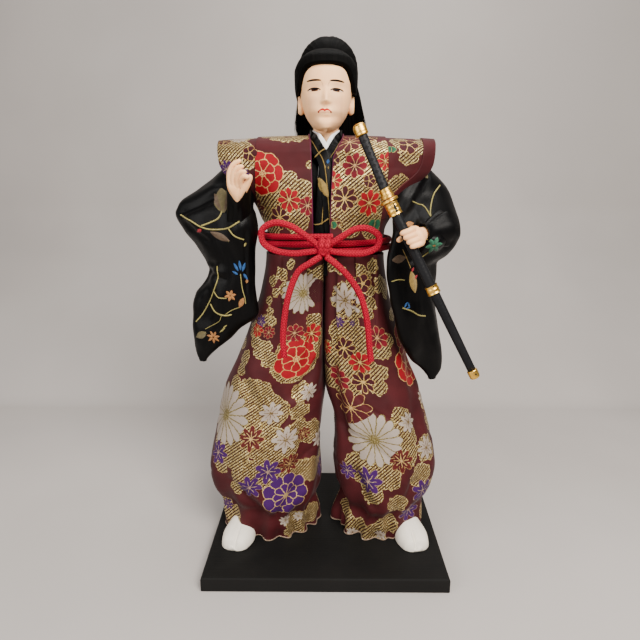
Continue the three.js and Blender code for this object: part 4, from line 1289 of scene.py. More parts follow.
@dataclass(frozen=True)
class Plaster:
    """Pale, nearly smooth ground that the doll stands on."""

    name: str = "pale floor"
    shade: Shade = (0.375, 0.347, 0.33)

    def build(self) -> Finish:
        """Make the material.

        Returns:
            The finished material.
        """
        sketch = Sketch(self.name)
        drift = sketch.space().noise(0.004, 3.0)
        color = drift.band(0.3, 0.7).mix(self.shade, (0.42, 0.39, 0.372))
        return sketch.surface(color, 0.9)


def plain_round(radius: float) -> Callable[[Grid, Grid], tuple[Grid, Grid]]:
    """A round section of one radius all along."""
    return lambda t, angle: (np.full_like(t, radius), np.full_like(t, radius))


def edge_thread(name: str, edge: Grid, radius: float, side: float, seam: Seam) -> Piece:
    """Lay a thin thread along an edge of cloth.

    Args:
        name: the thread's name.
        edge: (count, 3) places along the edge.
        radius: of the thread.
        side: width on the flat cloth of each of its eight sides.
        seam: how its ends close.

    Returns:
        The thread.
    """
    grid = tube_grid(edge, plain_round(radius), 8)
    places = spread(np.arange(9)[None, :] * side, travelled(edge)[:, None])
    return mesh_from_grid(name, grid, seam, places)


@dataclass(frozen=True)
class Stature:
    """The doll's driving sizes, the same as its frame's."""

    board: float = 9.0
    gap: float = 0.35
    layer: float = 0.4
    waist: float = 190.0
    shoulder: float = 254.0
    chin: float = 256.0
    head: float = 40.0
    torso_width: float = 57.0
    torso_depth: float = 38.0
    satin: float = 1.2
    collar: float = 0.7
    collar_width: float = 7.0
    vest: float = 1.4
    cord: float = 3.5

    @property
    def under_collar_offset(self) -> float:
        """The stuffed body's surface out to the white collar."""
        return self.gap + self.satin + self.layer

    @property
    def collar_offset(self) -> float:
        """The stuffed body's surface out to the black collar."""
        return self.under_collar_offset + 2 * (self.collar + self.layer)

    @property
    def vest_offset(self) -> float:
        """The stuffed body's surface out to the vest's outer face."""
        return self.collar_offset + 2 * (self.collar + self.layer) + self.vest

    @property
    def cord_offset(self) -> float:
        """The stuffed body's surface out to the middle of the waist cord."""
        return self.vest_offset + self.gap + self.cord / 2

    def halves(self, level: Grid | float, offset: float) -> tuple[Grid, Grid]:
        """Half the body's width and depth at a level, grown by an offset.

        Args:
            level: the level above the board.
            offset: how far outside the bare body.

        Returns:
            Half the width and half the depth.
        """
        share = (level - self.waist) / (self.shoulder - self.waist)
        return (self.torso_width / 2 * TORSO_WIDTH(share) + offset, self.torso_depth / 2 * TORSO_DEPTH(share)
            + offset)

    def chest(self, x: Grid, level: Grid, offset: Grid | float) -> Grid:
        """Places in front of the chest, at sideways places and levels.

        Args:
            x: sideways places.
            level: their levels.
            offset: how far in front of the bare body.

        Returns:
            The places.
        """
        wide, deep = self.halves(level, 0.0)
        lean = np.clip(1 - (x / (wide + offset)) ** 2, 0, 1)
        return spread(x, -(deep + offset) * np.sqrt(lean), level)


TORSO_WIDTH = through((-0.4, 0.97), (0, 1), (0.45, 1.05), (0.72, 1.16), (0.86, 0.98), (0.96, 0.46))
TORSO_DEPTH = through((-0.4, 1.05), (0, 1), (0.5, 1), (0.72, 0.92), (0.86, 0.72), (0.96, 0.5))
DOLL = Stature()


class Studio:
    """The pale backdrop, the soft lights and the camera of the photograph."""

    eye: Place = (-1.0, -300.0, 220.0)
    look_down: float = 13.6
    look_left: float = 0.46
    lens: float = 28.125
    bend: float = 216.0
    wall: float = 446.0

    def build(self) -> None:
        """Set up the view, the light and the backdrop."""
        self.camera()
        self.backdrop()
        self.lamp("key", (250, -520, 600), (0, 0, 150), 380, 12.5, (1.0, 0.95, 0.885))
        self.lamp("fill", (-420, -420, 330), (0, 0, 140), 420, 3.0, (1.0, 0.975, 0.945))
        self.lamp("top", (60, 60, 720), (0, 40, 120), 360, 2.6, (1.0, 0.98, 0.95))
        self.sky()

    def camera(self) -> None:
        """Stand the camera where the photograph was taken from."""
        data = bpy.data.cameras.new("camera")
        data.lens = self.lens
        data.sensor_width = 36.0
        camera = bpy.data.objects.new("camera", data)
        camera.location = Vector(self.eye) * MM
        camera.rotation_euler = (math.radians(90 - self.look_down), 0, math.radians(self.look_left))
        bpy.context.scene.collection.objects.link(camera)
        bpy.context.scene.camera = camera

    def backdrop(self) -> None:
        """Run one sheet of backdrop over the floor, then sloping up and into the wall."""
        run = [(-900.0, 0.0), (self.bend - 14, 0.0), (self.bend - 4, 1.5), (self.bend + 8, 7.0),
            (self.wall - 40, 150.0), (self.wall - 12, 178.0), (self.wall, 214.0), (self.wall, 1400.0)]
        across = np.linspace(-1500, 1500, 5)
        grid = np.array([[(x, y, z) for x in across] for y, z in run])
        floor = mesh_from_grid("backdrop", grid)
        floor.data.materials.append(Plaster().build())

    def lamp(self, name: str, place: Place, aim: Place, size: float, power: float, shade: Shade) -> None:
        """Hang one soft square lamp.

        Args:
            name: the lamp's name.
            place: where it hangs, in millimetres.
            aim: what it points at.
            size: of its side.
            power: in watts.
            shade: its colour.
        """
        data = bpy.data.lights.new(name, "AREA")
        data.size = size * MM
        data.energy = power
        data.color = shade
        lamp = bpy.data.objects.new(name, data)
        lamp.location = Vector(place) * MM
        lamp.rotation_euler = (Vector(aim) - Vector(place)).to_track_quat("-Z", "Y").to_euler()
        bpy.context.scene.collection.objects.link(lamp)

    def sky(self) -> None:
        """Fill the room with an even pale light."""
        world = bpy.data.worlds.new("room")
        world.use_nodes = True
        background = world.node_tree.nodes["Background"]
        background.inputs["Color"].default_value = (0.97, 0.95, 0.93, 1)
        background.inputs["Strength"].default_value = 0.26
        bpy.context.scene.world = world


KNOT: Place = (-1.3, -34.35, 195.0)


def from_knot(x: float, forward: float, up: float) -> Place:
    """A place measured from the middle of the bow's knot."""
    return KNOT[0] + x, KNOT[1] - forward, KNOT[2] + up


def route_from_knot(*steps: Place) -> tuple[Place, ...]:
    """A route whose places are measured from the middle of the bow's knot."""
    return tuple((from_knot(*step) for step in steps))


RIGHT_LOOP = route_from_knot((-3.4, 0.4, 1.6), (-10.5, 1.8, 7.2), (-17.5, 2.2, 11.6), (-25.5, 2, 13), (-32, 1.4, 9.4),
    (-31.6, 0.6, 2.6), (-25, 0.4, -1.6), (-16, 0.8, -3), (-9, 0.8, -2.4), (-3.6, 0.4, -1.8))
LEFT_LOOP = route_from_knot((3.4, 0.4, 1.6), (9.5, 1.8, 5.8), (16.5, 2.2, 9.8), (23.5, 2, 10), (29, 1.4, 6),
    (28, 0.6, 0.2), (21.5, 0.4, -2.8), (13.5, 0.8, -3), (8, 0.8, -2.4), (3.6, 0.4, -1.8))
RIGHT_TAIL = route_from_knot((-1.4, 2.2, -4.4), (-6.8, 4, -7.6), (-13.4, 3.4, -12.4), (-18, 3, -23), (-20.8, 3, -36),
    (-22, 3.2, -49), (-21.4, 3.4, -59.6))
LEFT_TAIL = route_from_knot((1.4, 2.2, -4.4), (7.8, 4, -9.2), (14.6, 3.4, -16.6), (20.4, 3, -26.6), (23.6, 3, -39),
    (25, 3.2, -51), (26.2, 3.4, -61.8))


@dataclass(frozen=True)
class WaistCord:
    """The red knitted cord: two turns round the waist, a knot, two bow loops and two tails.

    Attributes:
        diameter: of the cord.
        columns: of stitches round it.
        stitch: length of one stitch along it.
        relief: how far the stitches stand up, as a share of the radius.
    """

    diameter: float = 3.5
    columns: int = 8
    stitch: float = 0.95
    relief: float = 0.13

    def build(self) -> None:
        """Make every length of the cord."""
        yarn = Knitted().build()
        ends = {"bow_loop_right": (RIGHT_LOOP, "object"), "bow_loop_left": (LEFT_LOOP, "object"),
            "cord_tail_right": (RIGHT_TAIL, "bare"), "cord_tail_left": (LEFT_TAIL, "bare")}
        for name, (route, far_end) in ends.items():
            path = spline(route, 15 * len(route))
            piece = dress(self.tube(name, path), "doll", "red_cord", name, finish=yarn)
            length = path_length(path) * MM
            log.info("%s: %.1f mm long", name, length / MM)
        dress(self.tube("waist_turns", self.turns()), "doll", "red_cord", "waist_cord", finish=yarn)
        dress(self.knot(), "doll", "red_cord", "bow_knot", finish=yarn)

    def turns(self) -> Grid:
        """Follow the two turns round the waist, from behind the knot and back to it.

        Returns:
            The path of the cord's middle.
        """
        turns, pitch = 2.0, self.diameter + 0.45
        start = DOLL.waist + self.diameter / 2 + 0.6
        wide = Vest().cinched_half(start + pitch * turns + self.diameter / 2) + self.diameter / 2 + 0.55
        deep = float(DOLL.halves(DOLL.waist, DOLL.cord_offset)[1]) + 0.2
        t = np.linspace(-0.004, 1.008, 900)
        angle = -math.pi / 2 + t * turns * TURN
        return np.stack([wide * np.cos(angle), deep * np.sin(angle), start + pitch * turns * t], axis=1)

    def tube(self, name: str, path: Grid) -> Piece:
        """Knit a tube of stitches along a path.

        Args:
            name: the tube's name.
            path: (count, 3) places.

        Returns:
            The tube.
        """
        length = path_length(path)
        count = int(length / 0.24) + 2
        even = np.linspace(0, len(path) - 1, count)
        fine = np.stack([np.interp(even, np.arange(len(path)), path[:, axis]) for axis in range(3)], axis=1)
        sides = 4 * self.columns
        along = np.linspace(0, length, count)[:, None]
        around = np.arange(sides)[None, :] * math.pi * self.diameter / sides
        column = math.pi * self.diameter / self.columns
        lean = np.abs(around / column % 1 - 0.5) * column
        ridge = 0.5 + 0.5 * np.sin(TURN * (along + 1.1 * lean) / self.stitch)
        groove = smooth_step(np.abs((around / column + 0.5) % 1 - 0.5), 0.02, 0.24)
        radius = self.diameter / 2 * (1 - self.relief + self.relief * (0.35 * groove + 0.75 * ridge * groove))
        radius = radius * (1 + 0.02 * np.sin(along / 3.1))
        radius[0], radius[-1] = (radius[0] * 0.93, radius[-1] * 0.93)
        grid = tube_grid(fine, lambda t, angle: (radius, radius), sides)
        places = spread(np.arange(sides + 1)[None, :] * math.pi * self.diameter / sides, along)
        return mesh_from_grid(name, grid, Seam.CAPPED, places)

    def knot(self) -> Piece:
        """Tie the knot: the crossed cord inside, and the strand that is wound over it.

        Returns:
            The knot.
        """
        inner = [
            route_from_knot((-4.2, -0.6, 1.4), (-1.6, 1.3, 0.4), (1.6, 1.3, -0.4), (4.2, -0.6, -1.4)),
            route_from_knot((-4.2, -1.0, -1.8), (-1.4, 0.9, -1.6), (1.4, 0.9, 1.8), (4.2, -1.0, 1.6)),
            route_from_knot((-2.2, -0.6, 2.9), (-0.4, 0.6, 3.1), (2.4, -0.8, 2.8)),
            route_from_knot((-2.6, 0.4, -3.4), (0.0, 1.5, -3.0), (2.8, 0.4, -3.6))]
        pieces = [self.tube(f"knot_strand_{index}", spline(route, 24)) for index, route in enumerate(inner)]
        turn = np.linspace(0, TURN, 40)
        for index, (aside, slant) in enumerate(((-1.2, 0.5), (1.7, 0.9))):
            x = KNOT[0] + aside + slant * np.sin(turn)
            wound = np.stack([x, KNOT[1] - 2.5 * np.cos(turn), KNOT[2] + 3.5 * np.sin(turn)], axis=1)
            pieces.append(self.tube(f"knot_wound_{index}", wound))
        return joined("tied_knot", pieces)


def flat_places(grid: Grid, anchor: int, shift: Pair = (0.0, 0.0)) -> Grid:
    """Lay a grid of cloth out flat: distances across from one column, and up along that column.

    Args:
        grid: (rows, columns, 3) points.
        anchor: the column that the distances start from.
        shift: where that column's first point lies on the flat cloth.

    Returns:
        (rows, columns, 2) flat places in millimetres.
    """
    steps_across = np.linalg.norm(np.diff(grid, axis=1), axis=-1)
    across = np.concatenate([np.zeros((len(grid), 1)), np.cumsum(steps_across, axis=1)], axis=1)
    across -= across[:, anchor:anchor + 1]
    steps_up = np.linalg.norm(np.diff(grid[:, anchor], axis=0), axis=-1)
    up = np.concatenate([[0], np.cumsum(steps_up)])[:, None]
    return np.stack([across + shift[0], np.broadcast_to(up + shift[1], across.shape)], axis=-1)


@dataclass(frozen=True)
class Crease:
    """A crease across hanging cloth: its two ends sideways and up, its depth and its half width."""

    start: Pair
    end: Pair
    depth: float
    half: float = 2.2

    def heights(self, x: Grid, z: Grid) -> Grid:
        """How far the crease sinks the cloth at places seen from the front, with a rounded lip above it.

        Args:
            x: sideways places.
            z: their levels.

        Returns:
            Heights over the plain cloth.
        """
        begin, finish = np.array(self.start), np.array(self.end)
        along = finish - begin
        length = np.linalg.norm(along)
        along = along / length
        run = (x - begin[0]) * along[0] + (z - begin[1]) * along[1]
        aside = (z - begin[1]) * along[0] - (x - begin[0]) * along[1]
        fade = smooth_step(run, -0.12 * length, 0.12 * length) * (1 - smooth_step(run, 0.8 * length, 1.1 * length))
        return fade * self.depth * (0.6 * bump(aside, self.half * 1.7, self.half * 1.2) - bump(aside, 0, self.half))


LEG_OUTER = through((0, 0.875), (0.06, 0.9), (0.14, 0.96), (0.25, 1), (0.37, 0.945), (0.49, 0.86), (0.62, 0.735),
    (0.74, 0.625), (0.88, 0.51), (1, 0.462))
LEG_DEEP = through((0, 0.72), (0.06, 0.84), (0.14, 0.97), (0.25, 1), (0.5, 0.84), (0.75, 0.74), (1, 0.8))
LEG_INNER = {Side.RIGHT: through((0, 6), (0.06, 4.4), (0.25, 1.7), (0.5, 0.3), (1, 0.175)),
    Side.LEFT: through((0, 9), (0.12, 7.6), (0.25, 5.2), (0.45, 3.2), (0.57, 0.5), (1, 0.175))}
INNER_SQUARE = through((0, 2), (0.55, 2.4), (0.72, 5), (1, 7))


@dataclass(frozen=True)
class TrouserLeg:
    """One ballooned brocade trouser leg, pleated at the waist and gathered at the hem.

    Attributes:
        side: which leg.
        reach: from the doll's middle to its widest point.
        pleats: sideways places of the knife pleats' edges.
        creases: the deeper folds seen from the front.
        height: from the board to the waist.
        front: from the middle to its foremost point.
        back: from the middle to its rearmost point.
        thickness: of the lined brocade.
        rows: points up the leg.
        columns: points round it.
    """

    side: Side
    reach: float
    pleats: tuple[float, ...]
    creases: tuple[Crease, ...]
    height: float = 181.0
    front: float = 31.0
    back: float = 33.0
    thickness: float = 1.1
    rows: int = 300
    columns: int = 420

    def ring(self, t: float) -> Grid:
        """Lay evenly spaced points round the leg at a share of its height, from its inner edge by the front.

        Args:
            t: the share of the leg's height.

        Returns:
            The points of the ring.
        """
        angle = np.linspace(math.pi, 3 * math.pi, 1400)
        outer = self.reach * LEG_OUTER(t)
        inner = LEG_INNER[self.side](t)
        c, s = np.cos(angle), np.sin(angle)
        power = np.where(c < 0, 2 / INNER_SQUARE(t), 1.0)
        gather = 0.04 * (1 - t) ** 2 * (1 + np.cos(9 * angle + 5 * t))
        wave = 1 - gather - 0.025 * (1 - t) * (1 + np.cos(5 * angle - 7 * t))
        depth = np.where(s < 0, self.front, self.back) * LEG_DEEP(t)
        x = (outer + inner) / 2 + (outer - inner) / 2 * wave * np.sign(c) * np.abs(c) ** power
        y = depth * wave * np.sign(s) * np.abs(s) ** power
        joined_up = smooth_step(t, 0.44, 0.56)
        near = 1 - smooth_step(x, inner + 1, inner + 9)
        x = x - near * joined_up * (outer - inner) / 2 * (1 - wave)
        x = x + self.side.value * 1.3 * np.sin(y / 7) * near * joined_up
        run = np.concatenate([[0], np.cumsum(np.hypot(np.diff(x), np.diff(y)))])
        even = np.linspace(0, run[-1], self.columns, endpoint=False)
        z = DOLL.board + DOLL.gap + (self.height - 2 * DOLL.gap) * t
        return np.stack([self.side.value * np.interp(even, run, x), np.interp(even, run, y),
            np.full(self.columns, z)], axis=1)

    def outer_face(self) -> Grid:
        """Lay out the leg's outside, hem first, with its folds.

        Returns:
            The grid of the outside.
        """
        shares = np.linspace(0, 1, self.rows)
        plain = np.stack([self.ring(t) for t in shares])
        t = shares[:, None]
        around = np.linspace(0, 1, self.columns, endpoint=False)[None, :]
        away = outwards(plain)
        return plain + away * self.folds(plain, t, around)[..., None]

    def folds(self, plain: Grid, t: Grid, around: Grid) -> Grid:
        """Heights of the pleats, gathers and creases over the plain leg.

        Args:
            plain: the leg without folds.
            t: shares of its height.
            around: shares of the way round.

        Returns:
            The heights.
        """
        seed = 3 if self.side is Side.RIGHT else 8
        x, y, z = plain[..., 0] * self.side.value, plain[..., 1], plain[..., 2]
        drift = rumple(plain, 26, seed)
        front = smooth_step(-y, -4, 10)
        total = 0.55 * drift * (1 - t) + 0.22 * rumple(plain, 8, seed + 1) * (1.15 - t)
        hang = smooth_step(t, 0.56, 0.8)
        for index, edge in enumerate(self.pleats):
            line = edge + 5.0 * (1 - t) + 0.5 * np.sin(z / 9 + index)
            deep = 2.3 if index == 0 else 1.8
            total = total + front * hang * deep * (smooth_step(x - line, -0.3, 0.3)
                - 0.55 * smooth_step(x - line, 1.5, 13.0))
            if index == 0:
                total = total - front * hang * deep * 0.8
        gathers = np.sin(TURN * (13 * around + 0.22 * np.sin(TURN * around * 3 + seed)) + 5 * t + drift)
        total = total + 1.15 * gathers * np.clip(1 - t / 0.36, 0, 1) ** 1.6
        tuck_line = 0.105 + 0.022 * np.sin(TURN * around * 2 + seed) + 0.012 * drift
        total = total - 2.7 * bump(t - tuck_line, 0.0, 0.032)
        flare = smooth_step(tuck_line - t, 0.02, 0.11)
        ruffle = np.sin(TURN * 15 * around + 2.2 * np.sin(TURN * around * 2) + seed)
        total = total + flare * (2.2 + 1.5 * ruffle)
        slant = TURN * (z / 58 + x / 74) + seed + 0.9 * drift
        total = total + 0.9 * np.sin(slant) * smooth_step(t, 0.1, 0.3) * (1 - smooth_step(t, 0.55, 0.85))
        crease = np.abs(slant / TURN * 1.9 % 1 - 0.5)
        total = total - 0.55 * bump(crease, 0, 0.07) * smooth_step(t, 0.12, 0.3) * (1 - smooth_step(t, 0.45, 0.7))
        for crease in self.creases:
            total = total + front * crease.heights(plain[..., 0], z)
        meeting = 1 - smooth_step(t, 0.42, 0.6) * (1 - smooth_step(x, 1.0, 5.0))
        return total * meeting

    def build(self, brocade: Finish, rim: Finish) -> None:
        """Make the leg and the cord sewn along its hem.

        Args:
            brocade: the leg's cloth.
            rim: the glittering thread along the hem.
        """
        outer = self.outer_face()
        away = outwards(outer)
        count = self.rows // 5
        inner = outer[:count] - away[:count] * self.thickness
        top = outer[-1:] - away[-1:] * self.thickness
        hem = (outer[:1] + inner[:1]) / 2 - np.array([0, 0, 0.3])
        grid = np.concatenate([inner[::-1], hem, outer, top])
        closed = looped(outer)
        flat = flat_places(closed, self.columns // 4) * np.array([self.side.value, 1])
        width = path_length(closed[self.rows // 4]) * MM
        length = float(flat[-1, 0, 1]) * MM
        cloth = np.concatenate([flat[:count][::-1], flat[:1], flat, flat[-1:]])
        name = f"trouser_leg_{self.side.word}"
        leg = mesh_from_grid(f"trouser_{self.side.word}", grid, Seam.ROUND, cloth)
        dress(leg, "doll", "brocade", name, finish=brocade)
        edge = closed[0] + np.array([0, 0, 0.35])
        trim = edge_thread(f"hem_thread_{self.side.word}", edge, 0.42, 0.33, Seam.ROUND)
        dress(trim, "doll", "brocade", finish=rim)
        log.info("%s: cut %.0f by %.0f mm", leg.name, width / MM, length / MM)


VEST_OUTER = through((0, 0.55), (0.2, 0.565), (0.3, 0.61), (0.42, 0.66), (0.55, 0.77), (0.72, 0.955), (0.8, 0.985),
    (1, 1))
VEST_INNER = {Side.RIGHT: through((0, 7.2), (0.9, 8.3), (1, 9.6)), Side.LEFT: through((0, 2.4), (0.78, 3.9),
    (1, 9.6))}
VEST_FULLNESS = through((0, 1.025), (0.2, 1.03), (0.6, 1.12), (1, 1.12))
PANEL_OUTER = {Side.RIGHT: through((0, 39.1), (0.25, 39.0), (1, 37.6)), Side.LEFT: through((0, 29.6), (0.25, 30.2),
    (0.7, 33.0), (1, 32.4))}


@dataclass(frozen=True)
class Vest:
    """The stiff brocade vest: a back with two wings, and a straight panel down each side of the front.

    Attributes:
        span: across both wings.
        droop: how far the wing tips hang below the shoulder.
        rounding: radius where the front turns over the shoulder.
        neck: half width of the dip for the neck.
        proud: how far the front panels stand over the wings.
        band: width of the folded band along the left wing's edge.
        thickness: of the stiffened cloth.
        rows: points up the vest.
    """

    span: float = 120.6
    droop: float = 1.6
    rounding: float = 10.0
    neck: float = 9.6
    proud: float = 1.2
    band: float = 7.0
    thickness: float = 0.9
    rows: int = 150

    @property
    def bottom(self) -> float:
        """The level of the vest's lower edge."""
        return DOLL.waist + DOLL.gap

    def cinched_half(self, level: float) -> float:
        """Half the width of the vest at a level, where the cord goes round it."""
        rise = (level - self.bottom) / (DOLL.shoulder - self.bottom)
        return float(self.span / 2 * VEST_OUTER(rise) * VEST_FULLNESS(rise))

    def rises(self) -> Grid:
        """Shares of the vest's height, closer together at the shoulder."""
        return 1 - (1 - np.linspace(0, 1, self.rows)) ** 1.7

    def surface(self, x: Grid, rise: Grid, facing: int, out: Grid | float = 0.0) -> Grid:
        """Find places on the vest.

        Args:
            x: sideways places.
            rise: shares of the height, from the waist to the shoulder seam.
            facing: -1 for the front, 1 for the back.
            out: how far to stand off the cloth.

        Returns:
            The places.
        """
        droop = self.droop * (x / (self.span / 2)) ** 2
        dip = np.where(np.abs(x) < self.neck, 5 * (1 - (x / self.neck) ** 2), 0) if facing > 0 else 0
        level = self.bottom + (DOLL.shoulder - droop - dip - self.bottom) * rise
        rounding = np.clip((level + droop - (DOLL.shoulder - self.rounding)) / self.rounding, 0, 1)
        chest = DOLL.halves(np.minimum(level, DOLL.shoulder - 0.28 * (DOLL.shoulder - DOLL.waist)),
            DOLL.vest_offset)[1]
        depth = chest * np.sqrt(1 - rounding ** 2)
        reach = self.span / 2 * VEST_OUTER(rise) * VEST_FULLNESS(rise)
        y = DOLL.gap / 2 + (depth + out * (1 - rounding)) * np.sqrt(np.clip(1 - (x / reach) ** 2, 0, 1))
        return spread(x, facing * y, level + out * rounding)

    def crumple(self, grid: Grid, seed: int, amount: float = 0.35) -> Grid:
        """Give stiff cloth the slight unevenness of hand work, calm at the waist where the cord holds it.

        Args:
            grid: the smooth cloth.
            seed: picks one of many patterns.
            amount: height of the unevenness.

        Returns:
            The uneven cloth.
        """
        loose = smooth_step(grid[..., 2], self.bottom + 12, self.bottom + 20)
        shift = amount * rumple(grid, 15, seed) + 0.4 * amount * rumple(grid, 5, seed + 1)
        return grid + np.stack([0 * shift, shift * loose, 0 * shift], axis=-1)

    def build(self, fronts: dict[Side, Finish], back: Finish, trim: Finish) -> None:
        """Make the panels, the wings, the back and the edging.

        Args:
            fronts: the brocade of each front.
            back: the brocade of the back.
            trim: the silk of the piped edges.
        """
        for side in Side:
            pieces = [self.panel(side), self.wing(side)]
            if side is Side.LEFT:
                pieces.append(self.folded_band(side))
            front = joined(f"vest_{side.word}", pieces)
            dress(front, "doll", "brocade", f"vest_front_{side.word}", finish=fronts[side])
            dress(self.piping(side), "doll", "brocade", finish=trim)
        dress(self.back(), "doll", "brocade", "vest_back", finish=back)

    def panel(self, side: Side) -> Piece:
        """Make the straight panel down one side of the front.

        Args:
            side: the doll's side.

        Returns:
            The panel.
        """
        rise = self.rises()[:, None]
        u = np.linspace(0, 1, 90)[None, :]
        inner = VEST_INNER[side](rise)
        edge = self.span / 2 * VEST_OUTER(rise) - 0.3
        outer = np.minimum(PANEL_OUTER[side](rise), edge)
        x = side.value * (inner + (outer - inner) * u)
        out = self.proud * smooth_step(rise, 0.19, 0.34) * (1 - 0.5 * smooth_step(rise, 0.93, 1.0)) + 0.05
        grid = self.crumple(self.surface(x, rise, -1, out), 5 + side.value)
        return self.cloth_piece(f"panel_{side.word}", grid, 0, side, (inner[0, 0], 0.0))

    def wing(self, side: Side) -> Piece:
        """Make the wing that stands out from under the front panel.

        Args:
            side: the doll's side.

        Returns:
            The wing.
        """
        rise = self.rises()[:, None]
        u = np.linspace(0, 1, 90)[None, :]
        edge = self.span / 2 * VEST_OUTER(rise)
        start = np.minimum(PANEL_OUTER[side](rise) - 3.0, edge - 1.0)
        x = side.value * (start + (edge - start) * u)
        sag = 0.8 * np.sin(3.1 * rise) * u
        grid = self.surface(x, rise, -1)
        grid[..., 1] += sag
        grid = self.crumple(grid, 15 + side.value, 0.5)
        return self.cloth_piece(f"wing_{side.word}", grid, 0, side, (36.0, 100.0))

    def folded_band(self, side: Side) -> Piece:
        """Make the band that is folded over along a wing's outer edge.

        Args:
            side: the doll's side.

        Returns:
            The band.
        """
        rise = self.rises()[28:, None]
        u = np.linspace(0, 1, 24)[None, :]
        edge = self.span / 2 * VEST_OUTER(rise)
        x = side.value * (edge - self.band + (self.band + 0.25) * u)
        grid = self.surface(np.clip(x, -self.span / 2, self.span / 2), rise, -1, 0.75)
        grid[..., 0] = x
        grid[..., 1] += 0.8 * np.sin(3.1 * rise) * smooth_step(u, -2, 1)
        return self.cloth_piece(f"band_{side.word}", grid, 0, side, (120.0, 30.0))

    def cloth_piece(self, name: str, grid: Grid, anchor: int, side: Side, start: Pair) -> Piece:
        """Close a front piece's grid into cloth, with its flat places mirrored to the doll's own side.

        Args:
            name: the piece's name.
            grid: its outer face.
            anchor: the column that the flat places start from.
            side: the doll's side.
            start: the flat place of that column.

        Returns:
            The piece of cloth.
        """
        flat = flat_places(grid, anchor, start)
        flat[..., 0] *= side.value
        normals = surface_normals(grid)
        facing = np.where(normals[..., 1:2] + 0.4 * normals[..., 2:] * -1 > 0, 1.0, -1.0)
        return shell_from_grid(name, grid, self.thickness, flat, normals * facing)

    def piping(self, side: Side) -> Piece:
        """Run a thin piped edge down the inside of one front panel.

        Args:
            side: the doll's side.

        Returns:
            The piping.
        """
        rise = self.rises()[:-4]
        inner = VEST_INNER[side](rise)
        out = self.proud * smooth_step(rise, 0.19, 0.34) + 0.05
        edge = self.surface(side.value * (inner - 0.1), rise, -1, out) + np.array([0, 0.35, 0])
        return edge_thread(f"vest_piping_{side.word}", edge, 0.38, 0.43, Seam.CAPPED)

    def back(self) -> Piece:
        """Make the back panel with the backs of both wings.

        Returns:
            The back.
        """
        rise = self.rises()[:, None]
        u = np.linspace(0, 1, 240)[None, :]
        edge = self.span / 2 * VEST_OUTER(rise)
        x = (2 * u - 1) * edge
        grid = self.surface(x, rise, 1)
        seam = bump(np.abs(x), 33.0, 0.5) * smooth_step(rise, 0.2, 0.35)
        grid[..., 1] -= 0.45 * seam
        grid = self.crumple(grid, 25, 0.5)
        flat = flat_places(grid, 120)
        normals = surface_normals(grid)
        facing = np.where(normals[..., 1:2] - 0.4 * normals[..., 2:] * -1 > 0, -1.0, 1.0)
        return shell_from_grid("vest_rear", grid, self.thickness, flat, normals * facing)


@dataclass(frozen=True)
class SleeveForm:
    """The hanging form of one sleeve, given from its shoulder (0) to its bottom corner (1)."""

    top: float
    drop: float
    outer: Callable[[Grid], Grid]
    inner: Callable[[Grid], Grid]
    outer_forward: Callable[[Grid], Grid]
    inner_forward: Callable[[Grid], Grid]
    depth: Callable[[Grid], Grid]


SLEEVES: dict[Side, SleeveForm] = {
    Side.RIGHT: SleeveForm(
        top=DOLL.shoulder - 11,
        drop=118,
        outer=through(
            (0, 50), (0.06, 59), (0.15, 72), (0.26, 86.4), (0.34, 82), (0.42, 75), (0.52, 69.5), (0.62, 74),
            (0.72, 78.4), (0.9, 79.4), (1, 77.6)),
        inner=through((0, 36), (0.15, 39.6), (0.3, 40.7), (0.6, 39.4), (0.72, 39.2), (0.8, 46), (0.9, 60), (1, 71)),
        outer_forward=through((0, 0), (0.27, 6), (1, 10)),
        inner_forward=through((0, 1), (0.27, 17), (0.6, 19), (1, 12)),
        depth=through((0, 8), (0.1, 10), (0.28, 12.5), (0.5, 10), (0.8, 8), (1, 3))),
    Side.LEFT: SleeveForm(
        top=DOLL.shoulder - 12,
        drop=128,
        outer=through(
            (0, 50), (0.03, 58), (0.17, 72), (0.32, 76.4), (0.4, 70), (0.45, 63.4), (0.6, 64.4), (0.75, 66.4),
            (0.86, 69.4), (0.95, 70.4), (1, 68.4)),
        inner=through((0, 36), (0.15, 37), (0.3, 35), (0.42, 32.5), (0.7, 39.2), (0.89, 51.2), (1, 61.5)),
        outer_forward=through((0, 0), (0.32, 12), (0.6, 14), (1, 10)),
        inner_forward=through((0, 1), (0.15, 9), (0.32, 33), (0.6, 32), (0.8, 24), (1, 12)),
        depth=through((0, 8), (0.15, 9.5), (0.32, 9), (0.5, 7), (0.8, 6), (1, 3)))}


@dataclass(frozen=True)
class Lip:
    """Where the cloth stands out over a wrist, with a sharp edge that the hand comes out of.

    Attributes:
        across: sideways place of its middle.
        level: of its middle.
        half_wide: half its width.
        half_tall: half its height.
        height: how far it stands out.
        above: whether the hand comes out above it, or else beside it.
    """

    across: float
    level: float
    half_wide: float
    half_tall: float
    height: float
    above: bool


